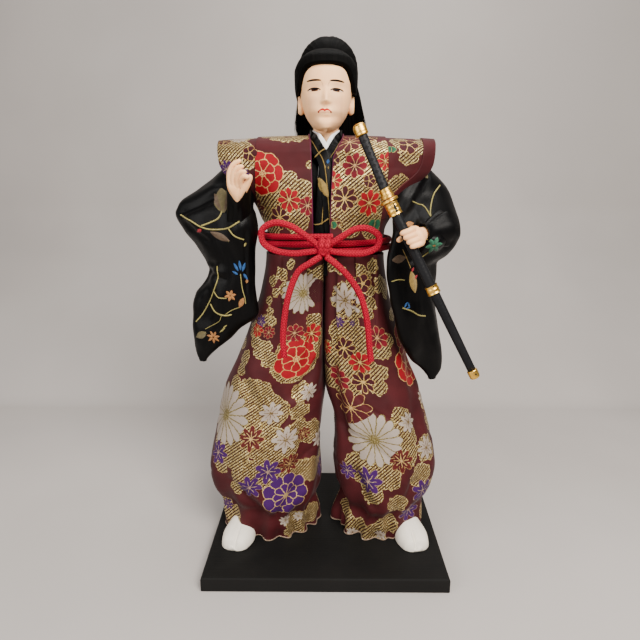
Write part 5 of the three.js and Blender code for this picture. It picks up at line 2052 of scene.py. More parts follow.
@dataclass(frozen=True)
class Cuff:
    """The mouth of a sleeve drawn in round a wrist: its path out of the sleeve and its half width at both ends."""

    path: tuple[Place, ...]
    wide: Pair
    lift: Pair = (0.0, 0.0)
    thickness: float = 0.7

    def build(self, side: Side, satin: Finish) -> Piece:
        """Make the cuff.

        Args:
            side: which arm it is on.
            satin: its cloth.

        Returns:
            The cuff.
        """
        path = spline(self.path, 50)

        def wall(inset: float) -> Grid:
            """Lay out one face of the cloth.

            Args:
                inset: how far inside the outer face.

            Returns:
                The grid of that face.
            """

            def halves(t: Grid, angle: Grid) -> Pair:
                """Half widths, with gathers that die away towards the wrist.

                Args:
                    t: shares of the way to the wrist.
                    angle: the way round.

                Returns:
                    Both half widths.
                """
                plain = self.wide[0] + (self.wide[1] - self.wide[0]) * smooth_step(t, 0, 0.9) + 0.5 * t ** 8
                plain = plain * (1 + 0.05 * np.sin(7 * angle + 2 * np.sin(2 * angle)) * (1 - 0.6 * t)) - inset
                return plain, plain * 0.86
            grid = tube_grid(path, halves, 110)
            aside = (grid[..., 0] - path[:, None, 0]) / self.wide[1]
            lift = np.where(aside < 0, *self.lift) * smooth_step(np.linspace(0, 1, len(path)), 0.55, 1)[:, None]
            grid[..., 2] += lift * np.abs(aside) ** 1.15
            return grid
        grid = np.concatenate([wall(0.0), wall(self.thickness)[::-1]])
        places = flat_places(looped(grid), 0)
        piece = mesh_from_grid(f"cuff_{side.word}", grid, Seam.ROUND, places)
        dress(piece, "doll", "black_satin", finish=satin)
        return piece


@dataclass(frozen=True)
class Sleeve:
    """One wide sleeve of black satin, hanging from the bent arm."""

    side: Side
    creases: tuple[Crease, ...]
    lip: Lip
    cuff: Cuff
    thickness: float = 0.8
    rows: int = 220
    columns: int = 260

    def face(self) -> Grid:
        """Lay out the sleeve's outside from the shoulder down, with its folds.

        Returns:
            The grid of the outside.
        """
        form = SLEEVES[self.side]
        t = shares(self.rows)
        angle = np.linspace(math.pi, 3 * math.pi, self.columns, endpoint=False)[None, :]
        c = np.sign(np.cos(angle)) * np.abs(np.cos(angle)) ** 0.85
        s = np.sign(np.sin(angle)) * np.abs(np.sin(angle)) ** 0.9
        share = (c + 1) / 2
        outer, inner = form.outer(t), form.inner(t)
        tip = smooth_step(t, 0.96, 1.0) ** 2 * 0.14 * (outer - inner)
        outer, inner = outer - tip, inner + tip
        forward = form.inner_forward(t) * (1 - share) + form.outer_forward(t) * share
        fold = 1 + 0.14 * np.cos(2.5 * math.pi * share + 4 * t) * np.sin(math.pi * t)
        x = self.side.value * ((outer + inner) / 2 + (outer - inner) / 2 * c)
        grid = spread(x, form.depth(t) * fold * s - forward, form.top - form.drop * t)
        away = outwards(grid)
        return grid + away * self.folds(grid, t)[..., None]

    def folds(self, grid: Grid, t: Grid) -> Grid:
        """Heights of the folds over the plain sleeve.

        Args:
            grid: the sleeve without folds.
            t: shares of its drop.

        Returns:
            The heights.
        """
        seed = 31 if self.side is Side.RIGHT else 41
        x, z = grid[..., 0], grid[..., 2]
        total = 0.75 * rumple(grid, 17, seed) + 0.28 * rumple(grid, 7, seed + 1)
        low = smooth_step(t, 0.35, 0.6) * (1 - smooth_step(t, 0.85, 1))
        total = total + 0.8 * low * np.sin(TURN * (x / 17 + z / 92) + 1.3 * rumple(grid, 22, seed + 2))
        for crease in self.creases:
            total = total + crease.heights(x, z)
        total = total * smooth_step(t, 0.0, 0.05) * (1 - smooth_step(t, 0.94, 1.0))
        lip = self.lip
        across = (x - lip.across) / lip.half_wide
        up = (z - lip.level) / lip.half_tall
        edge = up if lip.above else -self.side.value * across
        rise = np.exp(-across ** 2 - up ** 2) if lip.above else np.exp(-up ** 2 - np.clip(across, 0, 9) ** 2)
        rise = rise * (1 - smooth_step(edge, 0.75, 1.15)) * smooth_step(-grid[..., 1], 8, 16)
        return total + lip.height * rise

    def build(self, satin: Finish) -> Piece:
        """Make the sleeve as a bag of thin cloth.

        Args:
            satin: its cloth.

        Returns:
            The sleeve.
        """
        outer = self.face()
        inner = outer - outwards(outer) * self.thickness
        closed = looped(outer)
        flat = flat_places(closed, self.columns // 4)
        grid = np.concatenate([outer, inner[::-1]])
        cloth = np.concatenate([flat, flat[::-1]])
        piece = mesh_from_grid(f"sleeve_{self.side.word}", grid, Seam.ROUND, cloth)
        dress(piece, "doll", "black_satin", f"kimono_sleeve_{self.side.word}", finish=satin)
        width = float(np.mean([path_length(row) for row in closed[::self.rows // 12]])) * MM
        length = float(flat[-1, 0, 1]) * MM
        cuff = self.cuff.build(self.side, satin)
        log.info("%s: cut %.0f by %.0f mm", piece.name, width / MM, length / MM)
        return piece


class KimonoBody:
    """The black kimono under the vest, and its white and black collars."""

    def build(self, satin: Finish, white: Finish, trim: Finish) -> None:
        """Make the body and the two collars.

        Args:
            satin: the black cloth.
            white: the under-collar's cloth.
            trim: the gold line woven along the black collar.
        """
        top = DOLL.shoulder - 4
        levels = np.linspace(DOLL.waist - 12, top, 90)[:, None]
        angle = all_round(200, math.pi / 2)
        wide, deep = DOLL.halves(levels, DOLL.gap + DOLL.satin)
        grid = spread(wide * np.cos(angle), deep * np.sin(angle), levels)
        shift = 0.25 * rumple(grid, 9, 71)
        grid = grid * (1 + shift[..., None] * np.array([1, 1, 0]) / 30)
        places = flat_places(looped(grid), 100)
        body = mesh_from_grid("kimono", grid, Seam.CAPPED, places)
        dress(body, "doll", "black_satin", "kimono_body", finish=satin)
        neck = 7.6
        self.collar("collar_white", "under_collar", "white_satin", white, neck, DOLL.under_collar_offset,
            DOLL.shoulder - 12, (0.9, DOLL.shoulder - 24), DOLL.collar_width)
        band = self.collar("collar_black", "kimono_collar", "black_satin", satin, neck + DOLL.collar + 2 * DOLL.layer,
            DOLL.collar_offset, DOLL.shoulder - 18.5, (3.2, DOLL.shoulder - 53), DOLL.collar_width)
        edge = band[:, 6] + 0.12 * np.array([0, -1, 0.4])
        grid = tube_grid(edge[8:-8], plain_round(0.22), 8)
        run = np.linspace(0, path_length(edge), len(edge) - 16)
        places = spread(np.arange(9)[None, :] * 0.2, run[:, None])
        line = mesh_from_grid("collar_gold_line", grid, Seam.CAPPED, places)
        dress(line, "doll", "black_satin", finish=trim)
        ground = [body, bpy.data.objects["collar_black"]]
        Embroidery(ground).stitch("chest_embroidery", "doll", CHEST_DESIGN)

    def collar(self, name: str, node: str, slot: str, finish: Finish, ring: float, offset: float, cross: float,
            end: Pair, width: float) -> Grid:
        """Lay one collar band from one side of the chest round the neck to the other.

        Args:
            name: the piece's name.
            node: the frame's node that it replaces.
            slot: the record's material slot.
            finish: its cloth.
            ring: its radius round the neck.
            offset: how far it stands off the stuffed body.
            cross: the level where the two sides cross.
            end: sideways place and level of its ends.
            width: of the band.

        Returns:
            (count, across, 3) places of its outer face.
        """
        top = DOLL.shoulder - 4
        neck_level = top + width / 2 + 2 * DOLL.layer
        layer = DOLL.collar + DOLL.layer

        def half(side: Side) -> list[Grid]:
            """Three places down one side of the chest.

            Args:
                side: the doll's side.

            Returns:
                The places, from the shoulder down.
            """
            shift = offset + layer if side is Side.RIGHT else offset
            across = side.value
            return [DOLL.chest(np.array(-across * end[0]), np.array(end[1]), shift),
                DOLL.chest(np.array(0.0), np.array(cross), shift), DOLL.chest(np.array(across * ring * 0.52),
                np.array((cross + neck_level) / 2 + 1.2), shift)]
        round_neck = [(-ring, -ring * 0.25, neck_level - 0.4), (-ring * 0.72, ring * 0.75, neck_level),
            (0, ring * 1.08, neck_level), (ring * 0.72, ring * 0.75, neck_level),
            (ring, -ring * 0.25, neck_level - 0.4)]
        path = spline([*map(tuple, half(Side.RIGHT)), *round_neck, *map(tuple, half(Side.LEFT)[::-1])], 240)
        along = np.gradient(path, axis=0)
        along = unit(along)
        out = np.stack([path[:, 0], path[:, 1] * 1.25, np.where(path[:, 1] < -ring * 0.6, 3.0, 0.0)], axis=1)
        out = unit(out)
        across = np.cross(out, along)
        across = unit(across)
        v = np.linspace(0, 1, len(path))[:, None]
        u = np.linspace(0, 1, 15)[None, :]
        grid = path[:, None, :] + across[:, None, :] * ((0.5 - u) * width)[..., None]
        in_front = smooth_step(-grid[..., 1], ring * 0.6, ring * 1.5)
        shift = offset + layer - layer * smooth_step(v, 0.3, 0.7)
        chest = DOLL.chest(grid[..., 0], np.minimum(grid[..., 2], top - 2), shift + DOLL.collar)
        grid[..., 1] = grid[..., 1] * (1 - in_front) + np.minimum(grid[..., 1], chest[..., 1]) * in_front
        grid[..., 1] -= 0.25 * in_front * np.sin(math.pi * u)
        normals = surface_normals(grid)
        facing = np.sign(np.sum(normals * grid * np.array([1, 1, 0]), axis=-1, keepdims=True))
        piece = shell_from_grid(name, grid, 0.6, flat_places(grid.transpose(1, 0, 2), 0).transpose(1, 0, 2),
            -normals * facing)
        dress(piece, "doll", slot, node, finish=finish)
        return grid


class Silk(Enum):
    """The colours of the embroidery on the satin, each with the darker colour that is painted as shade between its
    stitches.
    """

    STEM = ((0.5, 0.42, 0.14), (0.2, 0.17, 0.05))
    GOLD = ((0.46, 0.32, 0.08), (0.16, 0.1, 0.03))
    OLIVE = ((0.16, 0.13, 0.055), (0.07, 0.055, 0.025))
    BRONZE = ((0.13, 0.085, 0.05), (0.055, 0.035, 0.022))
    ORANGE = ((0.52, 0.24, 0.07), (0.22, 0.09, 0.03))
    GREEN = ((0.05, 0.22, 0.12), (0.02, 0.09, 0.05))
    BLUE = ((0.03, 0.13, 0.36), (0.012, 0.05, 0.15))
    RED = ((0.42, 0.012, 0.03), (0.16, 0.01, 0.014))


@dataclass(frozen=True)
class Stem:
    """A stem stitched through places seen from the front: sideways and up, in millimetres."""

    places: tuple[Pair, ...]
    half: float = 0.36
    silk: Silk = Silk.STEM


@dataclass(frozen=True)
class Leaf:
    """A leaf or petal stitched about a middle: its length, width and lean in degrees from level."""

    middle: Pair
    length: float
    width: float
    lean: float
    silk: Silk


@dataclass(frozen=True)
class Spray:
    """A round flower of several stitched petals."""

    middle: Pair
    radius: float
    petals: int
    silk: Silk
    width: float = 0.8
    lean: float = 12.0

    def leaves(self) -> list[Leaf]:
        """Spread the petals round the middle.

        Returns:
            One leaf for each petal.
        """
        result = []
        for index in range(self.petals):
            turn = math.radians(self.lean + 360 * index / self.petals)
            middle = (self.middle[0] + 0.55 * self.radius * math.cos(turn), self.middle[1]
                + 0.55 * self.radius * math.sin(turn))
            wide = self.width * 2 * self.radius * math.sin(math.pi / self.petals) * 0.62
            result.append(Leaf(middle, self.radius * 0.92, wide, math.degrees(turn), self.silk))
        return result


class Embroidery:
    """Vines, leaves and flowers stitched on the front of satin pieces."""

    def __init__(self, ground: Sequence[Piece], seen_from: Place = (0, -1, 0)) -> None:
        """Take the cloth to stitch on.

        Args:
            ground: pieces of cloth, already in place.
            seen_from: the direction that the stitching faces.
        """
        graph = bpy.context.evaluated_depsgraph_get()
        self.trees = [BVHTree.FromObject(piece, graph) for piece in ground]
        self.toward = Vector(seen_from).normalized()
        self.threads = {silk: Thread(f"{silk.name.lower()} silk", *silk.value).build() for silk in Silk}

    def land(self, x: float, z: float, out: float) -> Grid | None:
        """Find the cloth at a place seen from the front.

        Args:
            x: sideways.
            z: up.
            out: how far to stand off the cloth.

        Returns:
            The place in millimetres, or None where there is no cloth.
        """
        origin = Vector((x, 0, z)) * MM + self.toward * 0.3
        hits = [tree.ray_cast(origin, -self.toward, 0.6) for tree in self.trees]
        hits = [hit for hit in hits if hit[0] is not None]
        if not hits:
            return None
        place, normal, _, _ = min(hits, key=lambda hit: hit[3])
        if normal.dot(self.toward) < 0:
            normal = -normal
        return np.array(place) / MM + np.array(normal) * out

    def stem(self, name: str, stem: Stem) -> Piece | None:
        """Stitch one stem.

        Args:
            name: the stem's name.
            stem: its line, width and silk.

        Returns:
            The stitched stem, or none where it misses the cloth.
        """
        flat = spline([(x, 0, z) for x, z in stem.places], 12 * len(stem.places))
        landed = [self.land(x, z, 0.1) for x, _, z in flat]
        path = np.array([place for place in landed if place is not None])
        if len(path) < 6:
            return None
        path[1:-1] = (path[:-2] + 2 * path[1:-1] + path[2:]) / 4
        wobble = 1 + 0.14 * np.sin(np.arange(len(path)) * 1.9)
        grid = tube_grid(path, lambda t, angle: (stem.half * wobble[:, None] + 0 * t, 0.8 * stem.half + 0 * t), 8)
        run = travelled(path)
        places = spread(np.arange(9)[None, :] * 0.3, run[:, None])
        piece = mesh_from_grid(name, grid, Seam.CAPPED, places)
        piece.data.materials.append(self.threads[stem.silk])
        return piece

    def leaf(self, name: str, leaf: Leaf) -> Piece | None:
        """Stitch one leaf or petal in satin stitch, a little raised at its middle.

        Args:
            name: the leaf's name.
            leaf: its place, size, lean and silk.

        Returns:
            The stitched leaf, or none where it misses the cloth.
        """
        turn = math.radians(leaf.lean)
        run, aside = np.meshgrid(np.linspace(0, 1, 13), np.linspace(-1, 1, 9), indexing="ij")
        half = leaf.width / 2 * np.sin(np.pi * np.clip(run, 0.02, 0.98)) ** 0.7
        along = (run - 0.5) * leaf.length
        across = aside * half
        x = leaf.middle[0] + along * math.cos(turn) - across * math.sin(turn)
        z = leaf.middle[1] + along * math.sin(turn) + across * math.cos(turn)
        rise = 0.12 + 0.34 * (1 - aside ** 2)
        grid = np.zeros((*run.shape, 3))
        for index in np.ndindex(run.shape):
            place = self.land(float(x[index]), float(z[index]), float(rise[index]))
            if place is None:
                return None
            grid[index] = place
        piece = mesh_from_grid(name, grid, Seam.OPEN, np.stack([across, along], axis=-1))
        piece.data.materials.append(self.threads[leaf.silk])
        return piece

    def stitch(self, name: str, body: str, work: Sequence[Stem | Leaf | Spray]) -> None:
        """Stitch a whole design as one piece.

        Args:
            name: the piece's name.
            body: the frame's body that it rides on.
            work: its stems, leaves and flowers.
        """
        pieces = []
        for index, one in enumerate(work):
            if isinstance(one, Stem):
                pieces.append(self.stem(f"{name}_{index}", one))
            else:
                leaves = one.leaves() if isinstance(one, Spray) else [one]
                pieces.extend((self.leaf(f"{name}_{index}_{part}", leaf) for part, leaf in enumerate(leaves)))
        design = joined(name, [piece for piece in pieces if piece is not None])
        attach(design, body)
        log.info("%s: %d faces", name, len(design.data.polygons))


HEAD_HALF = through((0, 0.14), (0.03, 0.35), (0.08, 0.49), (0.14, 0.61), (0.21, 0.73), (0.31, 0.84), (0.43, 0.912),
    (0.6, 0.975), (0.74, 0.98), (0.85, 0.86), (0.93, 0.6), (0.98, 0.3), (1, 0.08))
FACE_SHARE = through((0, 0.74), (0.03, 0.88), (0.09, 0.93), (0.16, 0.9), (0.24, 0.965), (0.31, 0.95), (0.41, 0.97),
    (0.52, 0.935), (0.61, 0.985), (0.72, 1), (0.84, 0.93), (0.92, 0.74), (0.97, 0.42), (1, 0.1))
SKULL_SHARE = through((0, 0.2), (0.09, 0.36), (0.23, 0.6), (0.4, 0.86), (0.58, 1), (0.75, 1), (0.87, 0.82),
    (0.96, 0.48), (1, 0.1))
HAIRLINE = through((0, 288.9), (5, 288.8), (10, 288.2), (13, 285.8), (14.7, 281.6), (15.5, 278.0), (16.3, 276.2))


@dataclass(frozen=True)
class Head:
    """The head with its neck, ears and modelled face, and the hair cap that fits over it."""

    width: float = 30.4
    face: float = 19.0
    skull: float = 18.0
    nose: float = 3.5
    neck: float = 13.8
    hair: float = 2.6

    def shape(self, t: Grid, angle: Grid, offset: float, featured: bool) -> Grid:
        """Find places on the head, grown by an offset.

        Args:
            t: shares of its height, from the chin.
            angle: round it, with the face at minus a quarter turn.
            offset: how far to grow it.
            featured: whether the face has its features.

        Returns:
            The places.
        """
        c, s = np.cos(angle), np.sin(angle)
        half = self.width / 2 * HEAD_HALF(t) + offset
        depth = np.where(s < 0, self.face * FACE_SHARE(t), self.skull * SKULL_SHARE(t)) + offset
        x = half * np.sign(c) * np.abs(c) ** np.where(s < 0, 0.86, 0.95)
        y = depth * s
        if featured:
            y = y - np.where(s < 0, 1.0, 0.0) * self.features(x, t)
        z = DOLL.chin + DOLL.head * t + (t - 0.5) * 2 * offset
        return spread(x, y, z)

    def features(self, x: Grid, t: Grid) -> Grid:
        """How far the nose, eyes, mouth and chin stand out of the face.

        Args:
            x: sideways places.
            t: shares of the head's height.

        Returns:
            The heights over the plain face.
        """
        aside = x / (self.width / 2)
        far = np.abs(aside)
        ridge = 0.92 * bump(aside, 0, 0.12) * np.where(t < 0.355, bump(t, 0.355, 0.046), bump(t, 0.355, 0.14))
        tip = 0.1 * bump(aside, 0, 0.1) * bump(t, 0.345, 0.03)
        wings = bump(far, 0.13, 0.06) * bump(t, 0.34, 0.026) * 0.2
        sockets = bump(far, 0.4, 0.2) * bump(t, 0.5, 0.06) * 0.22
        lids = bump(far, 0.4, 0.17) * bump(t, 0.485, 0.026) * 0.13
        brow = bump(far, 0.4, 0.26) * bump(t, 0.59, 0.05) * 0.07
        lips = bump(aside, 0, 0.2) * bump(t, 0.222, 0.024) * 0.2 + bump(aside, 0, 0.17) * bump(t, 0.182, 0.02) * 0.15
        groove = bump(aside, 0, 0.03) * bump(t, 0.255, 0.018) * 0.07
        under = bump(aside, 0, 0.22) * bump(t, 0.145, 0.022) * 0.1
        cheek = bump(far, 0.55, 0.22) * bump(t, 0.34, 0.12) * 0.1
        return self.nose * (ridge + tip + wings + lids + brow + lips + cheek - sockets - groove - under)

    def build(self, skin: Finish) -> None:
        """Make the head.

        Args:
            skin: the painted face.
        """
        t = (1 - np.cos(np.linspace(0, math.pi, 190))) / 2
        angle = np.linspace(math.pi / 2, math.pi / 2 + TURN, 220, endpoint=False)
        head = self.shape(t[:, None], angle[None, :], 0.0, True)
        pieces = [self.skin_piece("face_and_skull", head)]
        levels = np.linspace(DOLL.shoulder - 6.05, DOLL.chin + 0.34 * DOLL.head, 40)[:, None]
        radius = self.neck / 2 * (1 + 0.05 * smooth_step(levels, DOLL.chin - 3, DOLL.chin + 8))
        neck = spread(radius * np.cos(angle), radius * np.sin(angle), levels)
        pieces.append(self.skin_piece("neck", neck))
        pieces.extend((self.ear(side) for side in Side))
        dress(joined("doll_head", pieces), "head", "face", "head", finish=skin)

    def skin_piece(self, name: str, grid: Grid) -> Piece:
        """Close a grid into a piece whose flat places are sideways and up."""
        closed = looped(grid)
        return mesh_from_grid(name, grid, Seam.CAPPED, closed[..., [0, 2]])

    def ear(self, side: Side) -> Piece:
        """Make one ear with its rolled rim and hollow.

        Args:
            side: the doll's side.

        Returns:
            The ear.
        """
        polar = np.linspace(0.02, math.pi - 0.02, 40)[:, None]
        turn = all_round(56)
        out = np.cos(polar) + 0 * turn
        deep, up = np.sin(polar) * np.cos(turn), np.sin(polar) * np.sin(turn)
        away = np.hypot(deep, up)
        hollow = np.where(out > 0, 0.75 * bump(away, 0.25, 0.38) - 0.16 * bump(away, 0.8, 0.12), 0.0)
        lobe = 1 - 0.2 * smooth_step(-up, 0.3, 1.0)
        grid = np.stack([side.value * (self.width / 2 - 1.1 + 2.5 * (out - hollow * 0.6)),
            2.6 + 3.6 * deep * lobe + 0.6 * up, DOLL.chin + 0.39 * DOLL.head + 5.6 * up], axis=-1)
        return self.skin_piece(f"ear_{side.word}", grid)

    def cap(self, finish: Finish) -> None:
        """Make the smooth hair that fits over the skull, open over the face and round the ears.

        Args:
            finish: its combed hair.
        """
        angle = np.linspace(math.pi / 2, math.pi / 2 + TURN, 280, endpoint=False)
        scan = np.linspace(1, 0.1, 700)
        low = np.zeros_like(angle)
        for index, turn in enumerate(angle):
            places = self.shape(scan, np.full_like(scan, turn), self.hair, False)
            x, y, z = places.T
            front = HAIRLINE(np.abs(x))
            behind = DOLL.chin + 0.235 * DOLL.head
            edge = front + (behind - front) * smooth_step(y, 2.0, 6.2)
            below = np.nonzero(z < edge)[0]
            low[index] = scan[below[0]] if len(below) else scan[-1]
        smooth = np.convolve(np.concatenate([low[-4:], low, low[:4]]), np.ones(9) / 9, "valid")
        share = (1 - np.cos(np.linspace(0, math.pi / 2, 130)))[:, None]
        t = smooth[None, :] + (1 - smooth[None, :]) * np.sin(share * math.pi / 2)
        outer = self.shape(t, np.broadcast_to(angle[None, :], t.shape), self.hair, False)
        inner = self.shape(t[:2], np.broadcast_to(angle[None, :], t[:2].shape), 0.4, False)
        rim = outer[:1] * 0.45 + inner[:1] * 0.55 + np.array([0, 0, -0.35])
        strand = np.sin(angle * 150 + 3 * np.sin(angle * 9))[None, :] * 0.03
        outward = outer - np.array([0, 0, DOLL.chin + 0.5 * DOLL.head])
        outward = unit(outward)
        outer = outer + outward * strand[..., None]
        grid = np.concatenate([inner[::-1], rim, outer])
        places = flat_places(looped(grid), 140)
        piece = mesh_from_grid("hair_band", grid, Seam.CAPPED, places)
        dress(piece, "head", "hair", "hair_cap", finish=finish)


HAIR_SPREAD = through((0, 5.4), (0.07, 11.5), (0.14, 15.4), (0.22, 17.4), (0.33, 18.9), (0.5, 20.4), (0.62, 18),
    (0.82, 12), (1, 4))
HAIR_DEPTH = through((0, 4.6), (0.2, 5), (0.5, 4.6), (0.8, 3.4), (1, 1.2))


@dataclass(frozen=True)
class Tresswork:
    """The raised crown of hair, the tie behind it and the long hair that hangs from it.

    Attributes:
        root: where the long hair is tied.
        length: of the long hair.
        wisps: number of single strands that stray from it.
    """

    root: Place = (3.0, 21.5, 297.5)
    length: float = 74.0
    wisps: int = 420

    def crown(self, finish: Finish) -> None:
        """Make the raised crown, combed back from the band to the tie.

        Args:
            finish: its combed hair.
        """
        middle, radii = np.array([1.1, 7.0, 290.4]), np.array([16.6, 14.0, 17.3])
        polar = np.linspace(0.03, math.pi - 0.03, 150)[:, None]
        turn = all_round(360)
        lock = 0.06 * np.sin(turn * 31 + 2.0 * np.sin(turn * 5)) + 0.05 * np.sin(turn * 83 + 3 * np.sin(turn * 7))
        ridge = 1 + lock * np.sin(polar) ** 0.6 / 16
        parting = 1 - 0.022 * bump(turn, math.pi / 2, 0.1) * np.sin(polar)
        grid = middle + radii * spread(np.sin(polar) * np.cos(turn) * ridge * parting,
            -np.cos(polar) * np.ones_like(turn), np.sin(polar) * np.sin(turn) * ridge * parting)
        places = flat_places(looped(grid), 90)
        places[..., 0] = np.linspace(0, 92, 361)[None, :]
        piece = mesh_from_grid("crown_hair", grid, Seam.CAPPED, places)
        dress(piece, "head", "hair", "hair_crown", finish=finish)

    def path(self, count: int) -> Grid:
        """Follow the middle of the long hair.

        Args:
            count: number of places.

        Returns:
            The places, from the tie down.
        """
        x, y, z = self.root
        route = [(x, y, z), (1.9, 27, z - 6), (2.2, 29.6, z - 0.31 * self.length),
            (3.8, 35.6, z - 0.66 * self.length), (3, 37, z - 0.94 * self.length)]
        return spline(route, count)

    def section(self, path: Grid, t: Grid, angle: Grid, grow: Grid | float) -> Grid:
        """Find places round the long hair.

        Args:
            path: its middle.
            t: shares along it, one for each place of the path.
            angle: round it.
            grow: millimetres outside its plain form.

        Returns:
            The places.
        """
        along = np.gradient(path, axis=0)
        along = unit(along)
        out = np.cross(np.array([1.0, 0, 0]), along)
        wide = (HAIR_SPREAD(t) + grow) * np.cos(angle)
        deep = (HAIR_DEPTH(t) + grow) * np.sin(angle)
        shape = path[:, None, :] if angle.ndim == 2 else path
        outs = out[:, None, :] if angle.ndim == 2 else out
        return shape + wide[..., None] * np.array([1.0, 0, 0]) + deep[..., None] * outs

    def long(self, finish: Finish) -> None:
        """Make the hanging hair: combed locks, and single strands that stray from its edges.

        Args:
            finish: its combed hair.
        """
        rows, columns = 190, 260
        path = self.path(rows)
        t = shares(rows)
        angle = all_round(columns)
        lock = 0.42 * np.sin(angle * 17 + 2.4 * np.sin(angle * 3) + 1.1 * t)
        lock = lock + 0.2 * np.sin(angle * 47 + 2 * np.sin(angle * 5) - 2 * t) - 0.25
        grid = self.section(path, t, np.broadcast_to(angle, (rows, columns)), lock * smooth_step(t, 0.03, 0.2))
        ends = np.sin(angle * 11) + 0.6 * np.sin(angle * 29 + 1)
        grid[..., 2] += smooth_step(t, 0.86, 1) * 2.2 * ends
        places = flat_places(looped(grid), 130)
        places[..., 0] = np.linspace(0, 110, columns + 1)[None, :]
        pieces = [mesh_from_grid("combed_hair", grid, Seam.CAPPED, places), self.strays()]
        dress(joined("long_hair", pieces), "head", "hair", "hair_long", finish=finish)

    def strays(self) -> Piece:
        """Draw the single strands as thin three-sided hairs in one mesh.

        Returns:
            The strands.
        """
        chance = np.random.default_rng(20)
        count = 26
        grids = []
        for _ in range(self.wisps):
            side = math.pi if chance.random() < 0.5 else 0.0
            angle = side + chance.normal(0, 0.75)
            start, end = 0.02 + 0.3 * chance.random() ** 2, 0.62 + 0.37 * chance.random()
            t = np.linspace(start, end, count)
            middle = self.path(400)[(t * 399).astype(int)]
            stray = chance.gamma(1.6, 0.95) * np.linspace(0, 1, count) ** 1.4
            sway = 0.5 * np.sin(np.linspace(0, chance.uniform(1, 5), count) + chance.uniform(0, TURN))
            line = self.section(middle, t, np.full(count, angle), 0.1 + stray + sway * np.linspace(0, 1, count))
            line[:, 2] -= 1.2 * chance.random() * np.linspace(0, 1, count)
            taper = 0.13 * (1 - 0.6 * np.linspace(0, 1, count)) * chance.uniform(0.7, 1.2)
            ring = np.linspace(0, TURN, 3, endpoint=False)
            offsets = np.stack([np.cos(ring), np.sin(ring), 0 * ring], axis=1)
            grids.append(line[:, None, :] + taper[:, None, None] * offsets[None])
        return self.bundle("stray_hair", grids)

    def bundle(self, name: str, grids: Sequence[Grid]) -> Piece:
        """Put many small tubes into one mesh.

        Args:
            name: the mesh's name.
            grids: (rows, columns, 3) tubes, all of one size.

        Returns:
            The object.
        """
        block = np.stack(grids)
        total, rows, columns = block.shape[:3]
        row, column = np.meshgrid(np.arange(rows - 1), np.arange(columns), indexing="ij")
        faces = grid_faces(row, column, columns)
        every = (faces[None] + (np.arange(total) * rows * columns)[:, None, None]).reshape(-1, 4)
        mesh = bpy.data.meshes.new(name)
        mesh.from_pydata((block.reshape(-1, 3) * MM).tolist(), [], every.tolist())
        layer = mesh.uv_layers.new(name="cloth")
        corner = np.stack([row, row, row + 1, row + 1], axis=-1).reshape(-1)
        places = np.stack([np.repeat(np.arange(total) * 0.37, len(corner)), np.tile(corner * 2.0, total)], axis=1)
        layer.data.foreach_set("uv", places.astype(np.float32).ravel())
        mesh.shade_smooth()
        result = bpy.data.objects.new(name, mesh)
        bpy.context.scene.collection.objects.link(result)
        return result

    def tie(self, finish: Finish) -> None:
        """Wind the tie round the root of the long hair.

        Args:
            finish: its cord.
        """
        path = self.path(200)
        angle = np.linspace(0, TURN, 90)
        rings = []
        for place in (8, 12, 16):
            t = place / 199
            middle = np.repeat(path[place:place + 1], len(angle), axis=0)
            along = path[place + 1] - path[place - 1]
            out = np.cross(np.array([1.0, 0, 0]), along / np.linalg.norm(along))
            wide, deep = float(HAIR_SPREAD(t)) + 0.6, float(HAIR_DEPTH(t)) + 0.6
            ring = middle + (wide * np.cos(angle))[:, None] * np.array([1.0, 0, 0]) + (deep * np.sin(angle))[:,
                None] * out
            grid = tube_grid(ring, plain_round(0.5), 10)
            places = spread(np.arange(11)[None, :] * 0.3, np.linspace(0, 50, 90)[:, None])
            rings.append(mesh_from_grid(f"tie_turn_{place}", grid, Seam.ROUND, places))
        dress(joined("tie_cord", rings), "head", "hair", "hair_tie", finish=finish)


def limb(name: str, points: Sequence[Place], halves: Callable[[Grid], tuple[Grid, Grid]], lead: Place = (1, 0, 0),
        sides: int = 28, count: int = 40) -> Piece:
    """Make one rounded limb of a hand.

    Args:
        name: the limb's name.
        points: places along its middle.
        halves: half width and half depth at each share of its length.
        lead: the direction that its width lies along.
        sides: points round it.
        count: points along it.

    Returns:
        The limb, closed and round at both ends.
    """
    path = spline(points, count)
    along = np.gradient(path, axis=0)
    along = unit(along)
    first = np.array(lead, float) - along * (along @ np.array(lead, float))[:, None]
    first = unit(first)
    second = np.cross(along, first)
    t = shares(count)
    angle = all_round(sides)
    wide, deep = halves(t)
    grid = path[:, None, :] + (wide * rounded(t) * np.cos(angle))[..., None] * first[:, None,
        :] + (deep * rounded(t) * np.sin(angle))[..., None] * second[:, None, :]
    return mesh_from_grid(name, grid, Seam.CAPPED)


def moulded(name: str, pieces: Sequence[Piece], voxel: float = 0.3, rounds: int = 5) -> Piece:
    """Melt several overlapping limbs into one smooth skin.

    Args:
        name: the result's name.
        pieces: closed pieces.
        voxel: grain of the new skin, in millimetres.
        rounds: of smoothing.

    Returns:
        The moulded piece.
    """
    whole = joined(name, pieces)
    remesh = whole.modifiers.new("melt", "REMESH")
    remesh.mode = "VOXEL"
    remesh.voxel_size = voxel * MM
    remesh.use_smooth_shade = True
    relax = whole.modifiers.new("relax", "SMOOTH")
    relax.factor = 0.5
    relax.iterations = rounds
    apply_modifiers(whole)
    whole.data.shade_smooth()
    return whole


FIST_CENTRE = np.array([DOLL.torso_width / 2 + 12.8, -DOLL.torso_depth / 2 - 27.5, DOLL.waist + 10.1])
RIGHT_WRIST = np.array([-DOLL.torso_width / 2 - 17.5, -DOLL.torso_depth / 2 - 8, DOLL.waist + 24])


